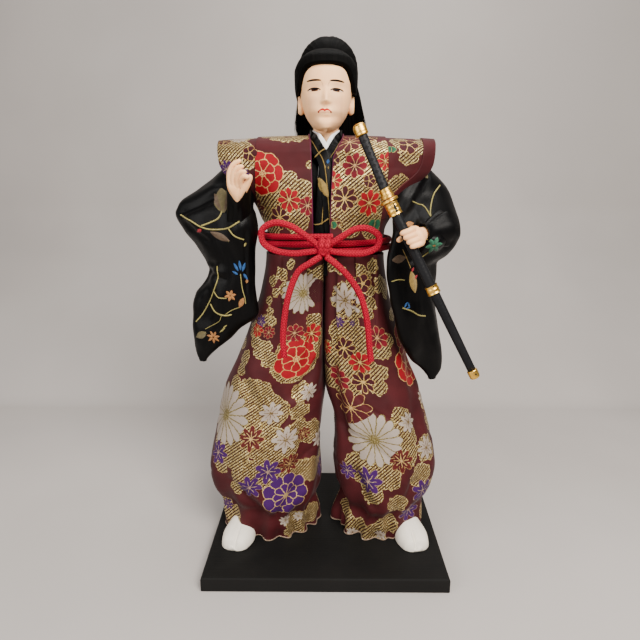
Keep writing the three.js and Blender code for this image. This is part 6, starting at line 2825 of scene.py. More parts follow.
@dataclass(frozen=True)
class SwordFrame:
    """The sword's own frame: its third direction runs from the left fist up along the scabbard."""

    lean: float = 27.6
    tilt: float = 4.2
    hilt_bend: float = 3.7

    def axes(self) -> Grid:
        """The frame's three directions as rows.

        Returns:
            The three rows.
        """
        lean, tilt = math.radians(self.lean), math.radians(self.tilt)
        up = np.array([-math.sin(lean), math.sin(tilt) * math.cos(lean), math.cos(lean)])
        up /= np.linalg.norm(up)
        across = np.array([1.0, 0, 0]) - up * up[0]
        across /= np.linalg.norm(across)
        return np.stack([across, np.cross(up, across), up])

    def place(self, local: Grid) -> Grid:
        """Take places along the scabbard to the doll's frame."""
        return np.asarray(local, float) @ self.axes() + FIST_CENTRE

    def hilt(self, local: Grid, base: float) -> Grid:
        """Take places along the hilt, which stands a little steeper, to the doll's frame.

        Args:
            local: places along the hilt.
            base: the height where the hilt starts.

        Returns:
            The places in the doll's frame.
        """
        bend = math.radians(self.hilt_bend)
        x, y, z = np.moveaxis(np.asarray(local, float), -1, 0)
        turned = np.stack([x * math.cos(bend) + z * math.sin(bend), y, z * math.cos(bend) - x * math.sin(bend)
            + base], axis=-1)
        return self.place(turned)


SWORD = SwordFrame()
SCABBARD_WIDTH = 5.2


@dataclass(frozen=True)
class Hands:
    """The raised right hand and the left fist round the scabbard."""

    finger: float = 3.0
    palm: float = 10.0
    fist: float = 11.4
    hold: float = SCABBARD_WIDTH / 2 + DOLL.gap + 3.0 * 0.42

    def build(self, skin: Finish) -> None:
        """Make both hands, with their painted skin."""
        dress(self.raised(), "doll", "skin", "hand_right", finish=skin)
        dress(self.left_fist(), "doll", "skin", "hand_left", finish=skin)

    def raised(self) -> Piece:
        """Model the right hand, its fingers together and curled to the doll's left, its thumb apart.

        Returns:
            The hand.
        """

        def at(x: float, forward: float, z: float) -> Place:
            """A place measured from the wrist."""
            return tuple(RIGHT_WRIST + np.array([x, -forward, z]))

        def palm_halves(t: Grid) -> tuple[Grid, Grid]:
            """Half width and depth of the wrist and palm."""
            wide = 2.9 + (self.palm / 2 - 2.9) * np.sin(np.minimum(1, t * 1.15) * math.pi / 2)
            return wide, 2.55 - 0.15 * t + 0 * wide
        pieces = [limb("palm", [at(-2.6, -6, -8), at(0, 0, 0), at(-0.8, 3, 8), at(-1.2, 4.6, 15.4)], palm_halves)]
        for index in range(4):
            start = at(-4.2 + 2.2 * index, 4.2 + 0.4 * index, 12.0)
            knuckle = at(-3.8 + 2.1 * index, 5.6 + 0.7 * index, 18.4 - 1.1 * index)
            bend = at(-1.4 + 1.9 * index, 7.0 + 1.0 * index, 23.0 - 2.0 * index)
            tip = at(3.0 + 1.4 * index, 7.6 + 1.1 * index, 25.2 - 2.9 * index)
            half = self.finger / 2 * (0.99 - 0.03 * abs(index - 1.5))
            pieces.append(limb(f"finger_{index}", [start, knuckle, bend, tip],
                lambda t, half=half: (half * (1.02 - 0.16 * t + 0.05 * bump(t, 0.42, 0.1)),
                half * (0.98 - 0.16 * t + 0.05 * bump(t, 0.42, 0.1)))))
        thumb = [at(0.2, 2.6, 5.4), at(3.6, 5.7, 10.8), at(6.0, 7.5, 14.4), at(7.8, 8.9, 18.2)]
        pieces.append(limb("thumb", thumb, lambda t: (2.2 - 0.75 * t + 0.12 * bump(t, 0.6, 0.12),
            1.9 - 0.6 * t + 0 * t)))
        return moulded("raised_hand", pieces, 0.24, 4)

    def left_fist(self) -> Piece:
        """Model the left fist: four fingers and a thumb round the scabbard, and the wrist.

        Returns:
            The fist.
        """
        pieces = []
        for index in range(4):
            height = self.fist * (0.35 - 0.235 * index)
            t = np.linspace(0, 1, 9)
            angle = np.radians(-62 + (196 - 7 * index) * t)
            reach = self.hold + 1.5 * (1 - t)
            local = np.stack([reach * np.cos(angle), -reach * np.sin(angle), height + 2.0 * (t - 0.6)], axis=1)
            half = 0.53 * self.finger * (1.02 if index in (1, 2) else 0.95)
            knuckles = lambda t, half=half: (half * (1 + 0.07 * bump(t, 0.3, 0.08) + 0.05 * bump(t, 0.66, 0.07)
                - 0.08 * t), half * (1 + 0.07 * bump(t, 0.3, 0.08) + 0.05 * bump(t, 0.66, 0.07) - 0.08 * t))
            pieces.append(limb(f"curl_{index}", SWORD.place(local), knuckles, tuple(SWORD.axes()[2])))
        turn = np.linspace(0.02, math.pi - 0.02, 40)[:, None]
        around = all_round(60)
        ball = np.stack([4.4 + 3.6 * np.sin(turn) * np.cos(around), 2.6 + 4.1 * np.sin(turn) * np.sin(around),
            -0.2 + self.fist * 0.49 * np.cos(turn) + 0 * around], axis=-1)
        pieces.append(mesh_from_grid("palm_of_fist", SWORD.place(ball), Seam.CAPPED))
        knuckles = (ball - ball.mean(axis=(0, 1))) * np.array([0.86, 0.86, 0.98]) + np.array([5.0, -0.9, -0.4])
        pieces.append(mesh_from_grid("back_of_fist", SWORD.place(knuckles), Seam.CAPPED))
        thumb = SWORD.place(np.array([(4.4, 5, 1.4), (0.4, 5.4, 1.8), (-3, 3.4, 2), (-4.7, 0.8, 1.8)]))
        pieces.append(limb("curled_thumb", thumb, lambda t: (1.6 - 0.25 * t, 1.45 - 0.2 * t)))
        wrist = SWORD.place(np.array([(4.6, 3, -0.4), (8.6, 6.6, -1.4), (13.5, 11, -2.6)]))
        pieces.append(limb("wrist", wrist, lambda t: (4.0 - 0.6 * t, 3.4 - 0.4 * t), (0, 0, 1)))
        return moulded("closed_fist", pieces, 0.24, 4)


Profile = Sequence[tuple[float, float, float]]


@dataclass(frozen=True)
class Fitting:
    """A piece with oval sections along the sword.

    Attributes:
        name: the piece's name.
        node: the part of the frame that it replaces.
        body: what it rides on.
        slot: its material slot.
        profile: (place along, half width, half depth) in millimetres, in order.
        hollow: whether it is a ring, whose sections wrap round to the first.
        on_hilt: whether it stands on the hilt.
        lobes: number of lobes round its rim, or 0.
    """

    name: str
    node: str
    body: str
    slot: str
    profile: Profile
    hollow: bool = False
    on_hilt: bool = False
    lobes: int = 0

    def build(self, finish: Finish, base: float) -> Piece:
        """Turn the piece.

        Args:
            finish: its material.
            base: where the hilt starts along the scabbard.

        Returns:
            The piece.
        """
        sections = self.rounded_profile()
        angle = all_round(96)
        along, wide, deep = (sections[:, index:index + 1] for index in range(3))
        lobed = 1 + (0.035 * np.cos(self.lobes * angle) if self.lobes else 0.0)
        local = spread(wide * np.cos(angle) * lobed, deep * np.sin(angle) * lobed, along + 0 * angle)
        run = travelled(sections)[:, None]
        girth = float(np.max(wide + deep)) * math.pi
        places = spread(np.linspace(0, girth, 97)[None, :], run)
        grid = SWORD.hilt(local, base) if self.on_hilt else SWORD.place(local)
        if self.hollow:
            grid = np.concatenate([grid, grid[:1]])
            places = np.concatenate([places, places[:1]])
        piece = mesh_from_grid(self.name, grid, Seam.ROUND if self.hollow else Seam.CAPPED, places)
        return dress(piece, self.body, self.slot, self.node, finish=finish)

    def rounded_profile(self) -> Grid:
        """Soften the corners of the profile with two short steps each.

        Returns:
            The softened profile.
        """
        corners = np.array(self.profile, float)
        result = [corners[0]]
        for before, here, after in zip(corners[:-2], corners[1:-1], corners[2:]):
            for share in (0.18, 0.06):
                result.append(here + (before - here) * share)
            result.append(here * 0.985 + (before + after) * 0.0075)
            for share in (0.06, 0.18):
                result.append(here + (after - here) * share)
        result.append(corners[-1])
        return np.array(result)


@dataclass(frozen=True)
class SwordWork:
    """The sword and its scabbard, all their fittings and dark details.

    Attributes:
        above: scabbard above the fist's middle.
        below: scabbard below it.
        width: of the scabbard.
        depth: of the scabbard.
        ring_wall: thickness of its metal rings.
        guard: width, depth and thickness of the guard.
        grip: length and width of the grip.
        pommel: length and width of the pommel cap.
        second: the height of the second ring's middle.
        gap: between pieces.
    """

    above: float = 20.3
    below: float = 75.4
    width: float = SCABBARD_WIDTH
    depth: float = 4.2
    ring_wall: float = 0.55
    guard: Place = (9.0, 7.6, 1.9)
    grip: Pair = (27.0, 4.8)
    pommel: Pair = (5.8, 6.6)
    second: float = -28.2
    gap: float = 0.3

    def halves(self, height: float) -> Pair:
        """Half width and half depth of the scabbard at a height along it."""
        share = float(through((-self.below, 0.42), (-self.below * 0.6, 0.47), (0, 0.5), (self.above, 0.5))(height))
        return self.width * share, self.depth * share

    def ring(self, name: str, node: str, bottom: float, top: float, turns: int) -> Fitting:
        """Describe one ring round the scabbard, ribbed round its middle.

        Args:
            name: the piece's name.
            node: the part of the frame that it replaces.
            bottom: its lower edge.
            top: its upper edge.
            turns: number of ribs.

        Returns:
            The ring.
        """
        wide, deep = self.halves(min(top, self.above))
        inner = [(top, wide + self.gap, deep + self.gap), (bottom, wide + self.gap, deep + self.gap)]
        outer = []
        for place in np.linspace(bottom, top, 7 + 6 * turns):
            share = (place - bottom) / (top - bottom)
            rib = 0.1 * math.cos(TURN * turns * share) - 0.05
            wall = self.ring_wall + rib + self.gap
            outer.append((float(place), wide + wall, deep + wall))
        return Fitting(name, node, "scabbard", "gold", [*outer, *inner], hollow=True)

    def build(self, gold: Finish, wrap: Finish, lacquer: Finish, dark: Finish) -> None:
        """Make the scabbard's and the sword's pieces.

        Args:
            gold: of the fittings.
            wrap: of the grip.
            lacquer: of the scabbard.
            dark: of the slots and dots on the fittings.
        """
        base = self.above + self.gap + self.guard[2]
        for fitting, finish in self.fittings(gold, wrap, lacquer):
            fitting.build(finish, base)
        self.inlay("mouth_slot", self.slot(self.above - 3.2, 5.0, 0.62), dark)
        self.inlay("ring_dot", self.slot(-27.6 + 1.1, 0.85, 0.42), dark)
        self.inlay("tip_dot", self.slot(-self.below - 2.6, 0.95, 0.42), dark)

    def fittings(self, gold: Finish, wrap: Finish, lacquer: Finish) -> list[tuple[Fitting, Finish]]:
        """Describe every turned piece and its finish.

        Args:
            gold: the finish of the metal parts.
            wrap: the grip's finish.
            lacquer: the scabbard's finish.

        Returns:
            Each piece with its finish.
        """
        body = [(height, *self.halves(height)) for height in np.linspace(-self.below, self.above, 24)]
        tip_wide, tip_deep = (half + self.ring_wall for half in self.halves(-self.below))
        start = -self.below - self.gap
        tip = [(start - 5.0 + at, tip_wide * share, tip_deep * share) for at,
            share in ((0, 0.45), (0.12, 0.68), (0.45, 0.88), (1.1, 0.98), (2.5, 1.0), (4.5, 1.0), (4.9, 0.95),
            (5, 0.9))]
        bottom, thick = self.above + self.gap, self.guard[2]
        plate = [(bottom + thick * at, self.guard[0] / 2 * share, self.guard[1] / 2 * share) for at,
            share in ((0, 0.76), (0.04, 0.86), (0.2, 0.965), (0.35, 0.995), (0.5, 0.975), (0.65, 0.995), (0.8, 0.965),
            (0.96, 0.86), (1, 0.76))]
        length, width = self.grip
        seat = 5.4 + self.gap
        hilt = lambda height, wide: (height, wide / 2, wide / 2 * 0.88)
        wide = width + 1.9
        collar = [
            hilt(0.3, wide * 0.95), hilt(0.5, wide), hilt(1.6, wide), hilt(1.75, wide * 0.965), hilt(1.95, wide),
            hilt(2.45, wide), hilt(2.6, wide * 0.88), hilt(3.6, wide * 0.86), hilt(3.75, wide * 0.83),
            hilt(3.95, wide * 0.86), hilt(5.0, wide * 0.86), hilt(5.4, wide * 0.8)]
        waist = through((0, 1), (0.5, 0.9), (1, 0.98))
        grip = [hilt(seat + length * t, width * float(waist(t))) for t in np.linspace(0, 1, 80)]
        top = 5.4 + length + 2 * self.gap
        cap = [hilt(top + self.pommel[0] * at, self.pommel[1] * share) for at,
            share in ((0, 0.9), (0.05, 0.985), (0.12, 1), (0.2, 0.97), (0.3, 1), (0.62, 0.995), (0.8, 0.92),
            (0.93, 0.75), (0.985, 0.52), (1, 0.3))]
        return [
            (Fitting("scabbard_body", "scabbard", "scabbard", "lacquer", body), lacquer),
            (self.ring("mouth_ring", "scabbard_mouth_ring", self.above - 6.4, self.above, 3), gold),
            (self.ring("second_ring", "scabbard_ring", self.second - 2.2, self.second + 2.2, 2), gold),
            (Fitting("tip_cap", "scabbard_tip", "scabbard", "gold", tip), gold),
            (Fitting("guard_plate", "sword_guard", "sword", "gold", plate, lobes=4), gold),
            (Fitting("stepped_collar", "grip_collar", "sword", "gold", collar, on_hilt=True), gold),
            (Fitting("wound_grip", "sword_grip", "sword", "grip", grip, on_hilt=True), wrap),
            (Fitting("pommel", "pommel_cap", "sword", "gold", cap, on_hilt=True), gold)]

    def slot(self, height: float, length: float, half: float) -> Grid:
        """Find places of a shallow dark inlay on the front of the scabbard's fittings.

        Args:
            height: the inlay's middle.
            length: along the scabbard.
            half: half its width.

        Returns:
            The grid of the inlay.
        """
        wide, deep = (side + self.gap + self.ring_wall for side in self.halves(max(height, -self.below)))
        run = shares(22)
        turn = all_round(26)
        radius = np.sin(run * math.pi / 2)
        across = half * radius * np.cos(turn)
        along = length / 2 * radius * np.sign(np.sin(turn)) * np.abs(np.sin(turn)) ** (0.6 if length > 2 else 1.0)
        lead = math.radians(-78)
        angle = lead + across / wide
        out = 1.035 - 0.03 * radius ** 4
        return spread(wide * out * np.cos(angle), deep * out * np.sin(angle), height + along)

    def inlay(self, name: str, local: Grid, dark: Finish) -> None:
        """Set a dark inlay on the scabbard.

        Args:
            name: the inlay's name.
            local: its grid along the scabbard.
            dark: its finish.
        """
        grid = SWORD.place(local)
        closed = looped(grid)
        piece = mesh_from_grid(name, closed, Seam.OPEN, closed[..., [0, 2]])
        dress(piece, "scabbard", "lacquer", finish=dark)


@dataclass(frozen=True)
class Foot:
    """One foot in a white split-toed sock."""

    side: Side
    length: float = 45.0
    width: float = 20.0
    height: float = 15.0
    splay: float = 12.0
    stance: float = 50.0

    def build(self, finish: Finish) -> None:
        """Make the foot.

        Args:
            finish: its cloth.
        """
        outline = through((0, 0.5), (0.1, 0.76), (0.45, 0.8), (0.75, 1), (0.92, 0.82), (0.98, 0.55), (1, 0.3))
        height = through((0, 0.75), (0.15, 1), (0.4, 1), (0.62, 0.8), (0.85, 0.6), (0.96, 0.42), (1, 0.2))
        turn = math.radians(self.side.value * self.splay)
        t = ((1 - np.cos(np.linspace(0, math.pi, 130))) / 2)[:, None]
        angle = np.linspace(-math.pi / 2, 1.5 * math.pi, 140, endpoint=False)[None, :]
        c, s = np.cos(angle), np.sin(angle)
        half = self.width / 2 * outline(t)
        across = half * np.sign(c) * np.abs(c) ** 0.75
        upper = np.where(s > 0, 1.0, 0.0)
        lift = np.where(s > 0, self.height * height(t) * np.abs(s) ** 0.8, 0.0)
        toe = smooth_step(t, 0.66, 0.9)
        lift = lift - 1.5 * toe * bump(across, -self.side.value * 1.6, 0.75) * upper
        lift = lift + 0.22 * bump(across, 0.5, 0.5) * upper * (1 - smooth_step(t, 0.55, 0.72))
        forward = self.length * (t - 0.22)
        x = self.side.value * self.stance + across * math.cos(turn) + forward * math.sin(turn)
        y = across * math.sin(turn) - forward * math.cos(turn)
        z = DOLL.board + DOLL.gap + np.maximum(lift, 0.0)
        grid = spread(x, y, z)
        soft = 0.16 * rumple(grid, 5.0, 91) * np.where(lift > 1.0, 1.0, 0.0)
        grid[..., 2] += soft
        places = looped(spread(across * 1.1, forward))
        piece = mesh_from_grid(f"sock_{self.side.word}", grid, Seam.CAPPED, places)
        dress(piece, "doll", "sock", f"foot_{self.side.word}", finish=finish)
        log.info("%s: toe at y %.1f mm", piece.name, float(grid[..., 1].min()))


@dataclass(frozen=True)
class Inside:
    """The stuffed body core that the clothes hide."""

    def build(self, stuffing: Finish) -> None:
        """Make the stuffed body core.

        Args:
            stuffing: its cloth.
        """
        top = DOLL.shoulder - 4 - 2.2
        levels = np.linspace(DOLL.waist - 9.6, top, 60)[:, None]
        angle = all_round(120)
        wide, deep = DOLL.halves(levels, 0.0)
        end = rounded((levels - levels[0]) / (levels[-1] - levels[0]), 0.9)
        grid = spread(wide * end * np.cos(angle), deep * end * np.sin(angle), levels)
        grid = grid * (1 + 0.02 * rumple(grid, 8, 31)[..., None] * np.array([1, 1, 0]))
        self.stuffed("stuffed_body", grid, stuffing, "body_core")

    def stuffed(self, name: str, grid: Grid, stuffing: Finish, node: str) -> None:
        """Close one stuffed piece and give it its cloth."""
        places = flat_places(looped(grid), len(grid) // 2)
        dress(mesh_from_grid(name, grid, Seam.CAPPED, places), "doll", "stuffing", node, finish=stuffing)


def carry_over(finishes: dict[str, tuple[Finish, Sequence[str]]]) -> None:
    """Give the frame's own pieces that stay in the model their finishes.

    Args:
        finishes: for each slot, its finish and the nodes that wear it.
    """
    for slot, (finish, nodes) in finishes.items():
        for node in nodes:
            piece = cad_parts[node]
            piece.data.materials.clear()
            piece.data.materials.append(finish)
            log.info("%s keeps its own shape, in %s", node, slot)


VEST_RIGHT = Brocade(
    "vest right",
    blooms={
        Kind.PEONY: ((-33.7, 43.4, 11.6),),
        Kind.RED_EIGHT: ((-19.6, 29.3, 6.7),),
        Kind.MAROON_FIVE: ((-40.2, 54.1, 4.6), (-58.2, 169.6, 4.2), (-42.3, 157.6, 4.4)),
        Kind.RUST_STAR: ((-43.5, 25.1, 7),),
        Kind.CRIMSON_EIGHT: ((-9.6, 26.2, 5.2),),
        Kind.MAROON_EIGHT: ((-26.3, 20, 6.7),),
        Kind.PURPLE_STAR: ((-57.7, 150.2, 5.1), (-45.8, 147, 3.2)),
        Kind.WHITE_STAR: ((-49.2, 171.5, 5.1),)},
    clouds=(
        (-26.4, 74, 4.6), (-19.9, 76.3, 5.5), (-13.3, 73.3, 6.4), (-7.3, 74.1, 5.2), (-7.9, 47.2, 1.7),
        (-13.1, 34.4, 6.5), (-19.9, 39.1, 6.1), (-26.8, 37.2, 8.2), (-19, 26.7, 9.8), (-33.1, 26.7, 10.2),
        (-10.7, 26.7, 5.8), (-34.7, 36.3, 7.5), (-33.8, 17.9, 9), (-16.6, 17.7, 7.9), (-49.6, 161.2, 8.1),
        (-58.1, 160.6, 7), (-43.6, 154.1, 5.5), (-55.8, 153.3, 6.2), (-48.1, 150.2, 5.2), (-29.2, 71, 3.5),
        (-24.3, 66.5, 4.5), (-19.2, 64, 4), (-13.9, 64, 4), (-9.3, 67, 4), (-59.7, 177.7, 3), (-47.3, 174, 6),
        (-52, 168, 7)))
VEST_LEFT = Brocade(
    "vest left",
    blooms={
        Kind.LEAF: ((6.9, 60.9, 8),),
        Kind.CRIMSON_EIGHT: ((13.8, 47, 6.8),),
        Kind.MAROON_EIGHT: ((9.4, 30, 6.8),),
        Kind.RED_EIGHT: ((23.4, 27.8, 7.1), (2.9, 39.5, 4.9), (30, 49.7, 5.2)),
        Kind.MAROON_FIVE: ((2.4, 49.7, 3.3), (22.2, 39.2, 3.5), (16.6, 67.1, 4.2), (51.2, 160.3, 6.1)),
        Kind.GREEN_LEAF: ((28.7, 15.8, 4.8), (2.8, 16.1, 3), (41.1, 156.4, 2.8))},
    clouds=(
        (3.8, 56.2, 9.5), (14.8, 55.2, 9.9), (25.3, 55.6, 7.4), (6.6, 39.5, 8.7), (18.3, 39.6, 10),
        (28.3, 39.8, 7.6), (8.4, 25.6, 9), (21.2, 25.7, 10.5), (33.2, 26.8, 7.5), (13.3, 16.1, 7.2),
        (27.3, 15.3, 8.3), (-2.1, 55.1, 5.2), (46.9, 163.2, 6.4), (51.6, 155.4, 7), (57.8, 160.2, 6.4),
        (44.3, 177.9, 4.6), (59.6, 173.8, 5.2), (45.1, 137.4, 5.5), (49.1, 139.7, 4.2), (43.5, 132, 7),
        (49.8, 133.2, 5.8)))
TROUSERS_RIGHT = Brocade(
    "trousers right",
    width=102,
    blooms={
        Kind.CHRYSANTHEMUM: ((4.7, 164.9, 12.3), (-31.3, 84.6, 19.8)),
        Kind.PLAIN: ((12.7, 165.6, 7.7),),
        Kind.PURPLE_STAR: (
            (-20.3, 146.4, 4.2), (-32.7, 59.9, 8), (4.5, 53.2, 8.6), (-6.7, 42.8, 8), (50.6, 42.9, 7),
            (-30.1, 19.9, 4.1)),
        Kind.RED_EIGHT: ((-21.3, 141.4, 4.8), (15.8, 139.9, 6.5)),
        Kind.CRIMSON_EIGHT: ((-12.4, 140.9, 4.1), (3.9, 140.9, 5.7)),
        Kind.PEONY: ((8.3, 125, 13.1),),
        Kind.WHITE_STAR: (
            (22.6, 102.7, 5.8), (1.2, 90.6, 7.6), (12.6, 73.8, 9), (38, 68.9, 6.1), (12.6, 12.9, 4.5),
            (23.4, 11.9, 3.8)),
        Kind.RUST_STAR: ((-8.5, 74.6, 8.4), (24.9, 74.9, 4.8), (17.4, 56.9, 7)),
        Kind.PURPLE_OPEN: ((16, 35.5, 15.4),)},
    clouds=(
        (-35.2, 129.3, 4.1), (-25.7, 122.6, 5.1), (-27.1, 115.1, 4.5), (-28, 106.9, 4.5), (-13.9, 129.8, 6.3),
        (-7.5, 124.9, 5.5), (-20.6, 134.2, 4.5), (14.9, 147.7, 5.6), (13.4, 165, 3), (8.3, 169.8, 3.5),
        (33.3, 160.9, 2.9), (8.3, 125, 15.6), (17.5, 136.7, 8.1), (17.1, 103.6, 5.8), (8.4, 173.8, 5.2),
        (16.7, 176.7, 5.8), (-12.6, 96.4, 15.9), (1.8, 90.6, 10.4), (-12.7, 77.6, 12.1), (-1.2, 72.2, 11.6),
        (-18, 61.9, 10.2), (-30.8, 67.6, 9.6), (-27.9, 53.4, 5.8), (11, 70.1, 11.5), (2.8, 64.6, 8.8),
        (19.4, 77.1, 9), (29.1, 75.7, 8.3), (18.4, 91.3, 5.8), (-11.9, 48.5, 8.3), (-2.4, 53.4, 9.6),
        (7.5, 47.2, 9.4), (-16.2, 40.6, 5.1), (26, 49.2, 8.3), (34.4, 48.5, 8.3), (19.2, 43.2, 10.9),
        (50.1, 52.6, 6.4), (-32, 19.1, 6.4), (-33.1, 10.6, 7), (-23.9, 15.6, 5.8), (22.2, 7, 9.6), (37.1, 8.5, 7),
        (-22.9, 9.7, 5.8), (-9.3, 175.5, 4.2), (-14.8, 171.4, 3.6), (-6.3, 167.2, 3.6), (-12.2, 165, 3),
        (-16.2, 160, 3), (-15, 153, 3), (-11.6, 147.7, 3.8), (-17.6, 148.3, 4), (-3.9, 181.4, 3),
        (-24.6, 140.7, 5.5)))
TROUSERS_LEFT = Brocade(
    "trousers left",
    width=98,
    blooms={
        Kind.MAROON_FIVE: ((6.4, 170.6, 5.5), (-1.2, 159.6, 4.3)),
        Kind.WHITE_STAR: (
            (-5.5, 160.9, 10.6), (16.8, 82.8, 6.7), (28.4, 63.1, 7.7), (39.5, 92.2, 5.2), (-2.2, 3.5, 3.8),
            (-26.1, 1.3, 3.8)),
        Kind.PURPLE_STAR: (
            (-12.3, 147.6, 3.7), (-4, 146.4, 2.1), (-13.3, 46.1, 9.3), (24.8, 34.5, 8.6), (17.8, 19.8, 8),
            (-29.1, 48.3, 5.8)),
        Kind.CRIMSON_EIGHT: ((10.5, 137.7, 7.3), (-19.6, 111.5, 7.7)),
        Kind.MAROON_EIGHT: ((-11, 131.4, 7), (-4.4, 109.8, 7.3)),
        Kind.RED_EIGHT: ((-2.9, 122.5, 7.2), (-24, 130.5, 4.5)),
        Kind.LEAF: ((-16.2, 93.3, 12.8),),
        Kind.PEONY: ((33.3, 135.2, 9.3), (32.9, 116.9, 14.1)),
        Kind.CHRYSANTHEMUM: ((-6.6, 73, 17.9),),
        Kind.RUST_STAR: ((7.9, 60, 8.3), (42.2, 83.4, 5.5))},
    clouds=(
        (13.9, 180.2, 4.5), (5.2, 178.6, 3.4), (8.7, 173.9, 4.3), (18.6, 168.8, 5.1), (22.8, 163.5, 3.8),
        (34, 149, 4.1), (37.5, 143.6, 3.5), (41.4, 131.8, 3.5), (-13.6, 180.4, 4.3), (-36.8, 170.6, 5.2),
        (-11.9, 140.3, 9.3), (-2.9, 137.4, 9.8), (6.2, 133.1, 8.6), (-17.9, 126, 9.6), (-8.8, 120.4, 11.2),
        (0.2, 114.8, 9.4), (-17.1, 107.1, 10.9), (-29, 110.4, 7.7), (3.2, 107.8, 6.3), (8.2, 116.1, 5.1),
        (13.1, 129.5, 5.1), (16.6, 135.1, 5.1), (-4.5, 160.2, 11.3), (13, 86.8, 7), (12.8, 75.9, 9.6), (13, 63, 8.3),
        (-18.3, 51.4, 10.9), (-2.6, 50.1, 9.5), (-11.7, 38.3, 8.3), (1.7, 45.9, 5.8), (21.9, 46.7, 8.3),
        (33.3, 34.9, 6.4), (6, 29.4, 7), (33.6, 14.8, 6.4), (41.9, 89.2, 7), (42.4, 75.7, 7), (29.5, 63, 9),
        (-18.9, 4.3, 8.3), (-26.4, 9.6, 7), (-5.6, 4.1, 8.3), (2.9, 11.6, 7.7), (-31.5, 15.9, 5.8), (29.6, 2.1, 4.6),
        (-11.7, 181.8, 3), (-6.6, 178.8, 3), (-0.4, 170.2, 4.4), (6.2, 176.5, 4.2), (10.6, 165.9, 4),
        (10.5, 158.9, 4.6), (5.8, 152, 4.4), (-3.5, 147, 5), (-11.5, 147.1, 4.6), (-6.5, 158.7, 7), (24.4, 167.1, 4),
        (34.6, 149.3, 3.6), (41, 142, 3.6), (40, 132.1, 3.6), (27, 148.5, 4)))
VEST_BACK = Brocade(
    "vest back",
    blooms={
        Kind.PEONY: ((-38, 44, 12), (12, 58, 11), (40, 24, 10)),
        Kind.RED_EIGHT: ((-21, 24, 7), (27, 44, 7), (-4, 36, 6)),
        Kind.CRIMSON_EIGHT: ((-12, 50, 7), (10, 26, 6.5)),
        Kind.MAROON_EIGHT: ((-6, 12, 6.6), (22, 14, 6.6), (48, 62, 6)),
        Kind.MAROON_FIVE: ((-24, 58, 5), (36, 62, 5), (-52, 62, 6)),
        Kind.LEAF: ((-10, 68, 8), (30, 30, 6)),
        Kind.PURPLE_STAR: ((-44, 66, 5), (54, 50, 5))},
    clouds=(
        (-14, 14, 11), (-26, 22, 10), (-12, 28, 12), (0, 20, 11), (12, 20, 11), (24, 18, 10), (16, 32, 9),
        (-4, 38, 9), (-12, 52, 11), (-22, 60, 9), (-8, 66, 11), (30, 46, 11), (38, 56, 10), (24, 60, 7), (46, 62, 9),
        (54, 52, 8), (-48, 66, 9), (-56, 58, 7), (2, 74, 6), (36, 30, 8)))
RIGHT_SLEEVE = Sleeve(
    Side.RIGHT,
    (
        Crease((-82, 212.5), (-57, 223.5), 2.2, 2.4), Crease((-44.4, 204), (-44.6, 164), 0.7, 0.8),
        Crease((-80, 208), (-63, 196), 1.1, 2.2), Crease((-62, 186), (-75, 168), 1.4, 2.6),
        Crease((-69, 181), (-56, 176), 0.9, 1.8)),
    Lip(-46.5, 204.5, 7.5, 10.5, 5.5, True),
    Cuff(
        tuple((tuple(RIGHT_WRIST + np.array(at)) for at in (
            (-3.6, 13, -20), (-2.8, 8.4, -10), (-0.8, 2.0, 1), (0.3, -2.8, 8.2)))),
        (8.6, 7.2),
        (6.5, 9.5)))
LEFT_SLEEVE = Sleeve(
    Side.LEFT,
    (
        Crease((73, 202.5), (50, 204.5), 2.0, 2.2), Crease((71.5, 199), (43, 187), 1.3, 2.4),
        Crease((55.7, 235), (41, 212), 1.0, 2.4), Crease((50, 183), (58.8, 147), 0.9, 2.2)),
    Lip(54.5, 199.5, 7.0, 7.0, 8.5, False),
    Cuff(
        tuple((tuple(at) for at in SWORD.place(np.array([
            (21, 16, -4.5), (16, 12.5, -3.2), (11.5, 9, -2.2), (8.4, 6.4, -1.3)])))),
        (9.5, 5.2)))
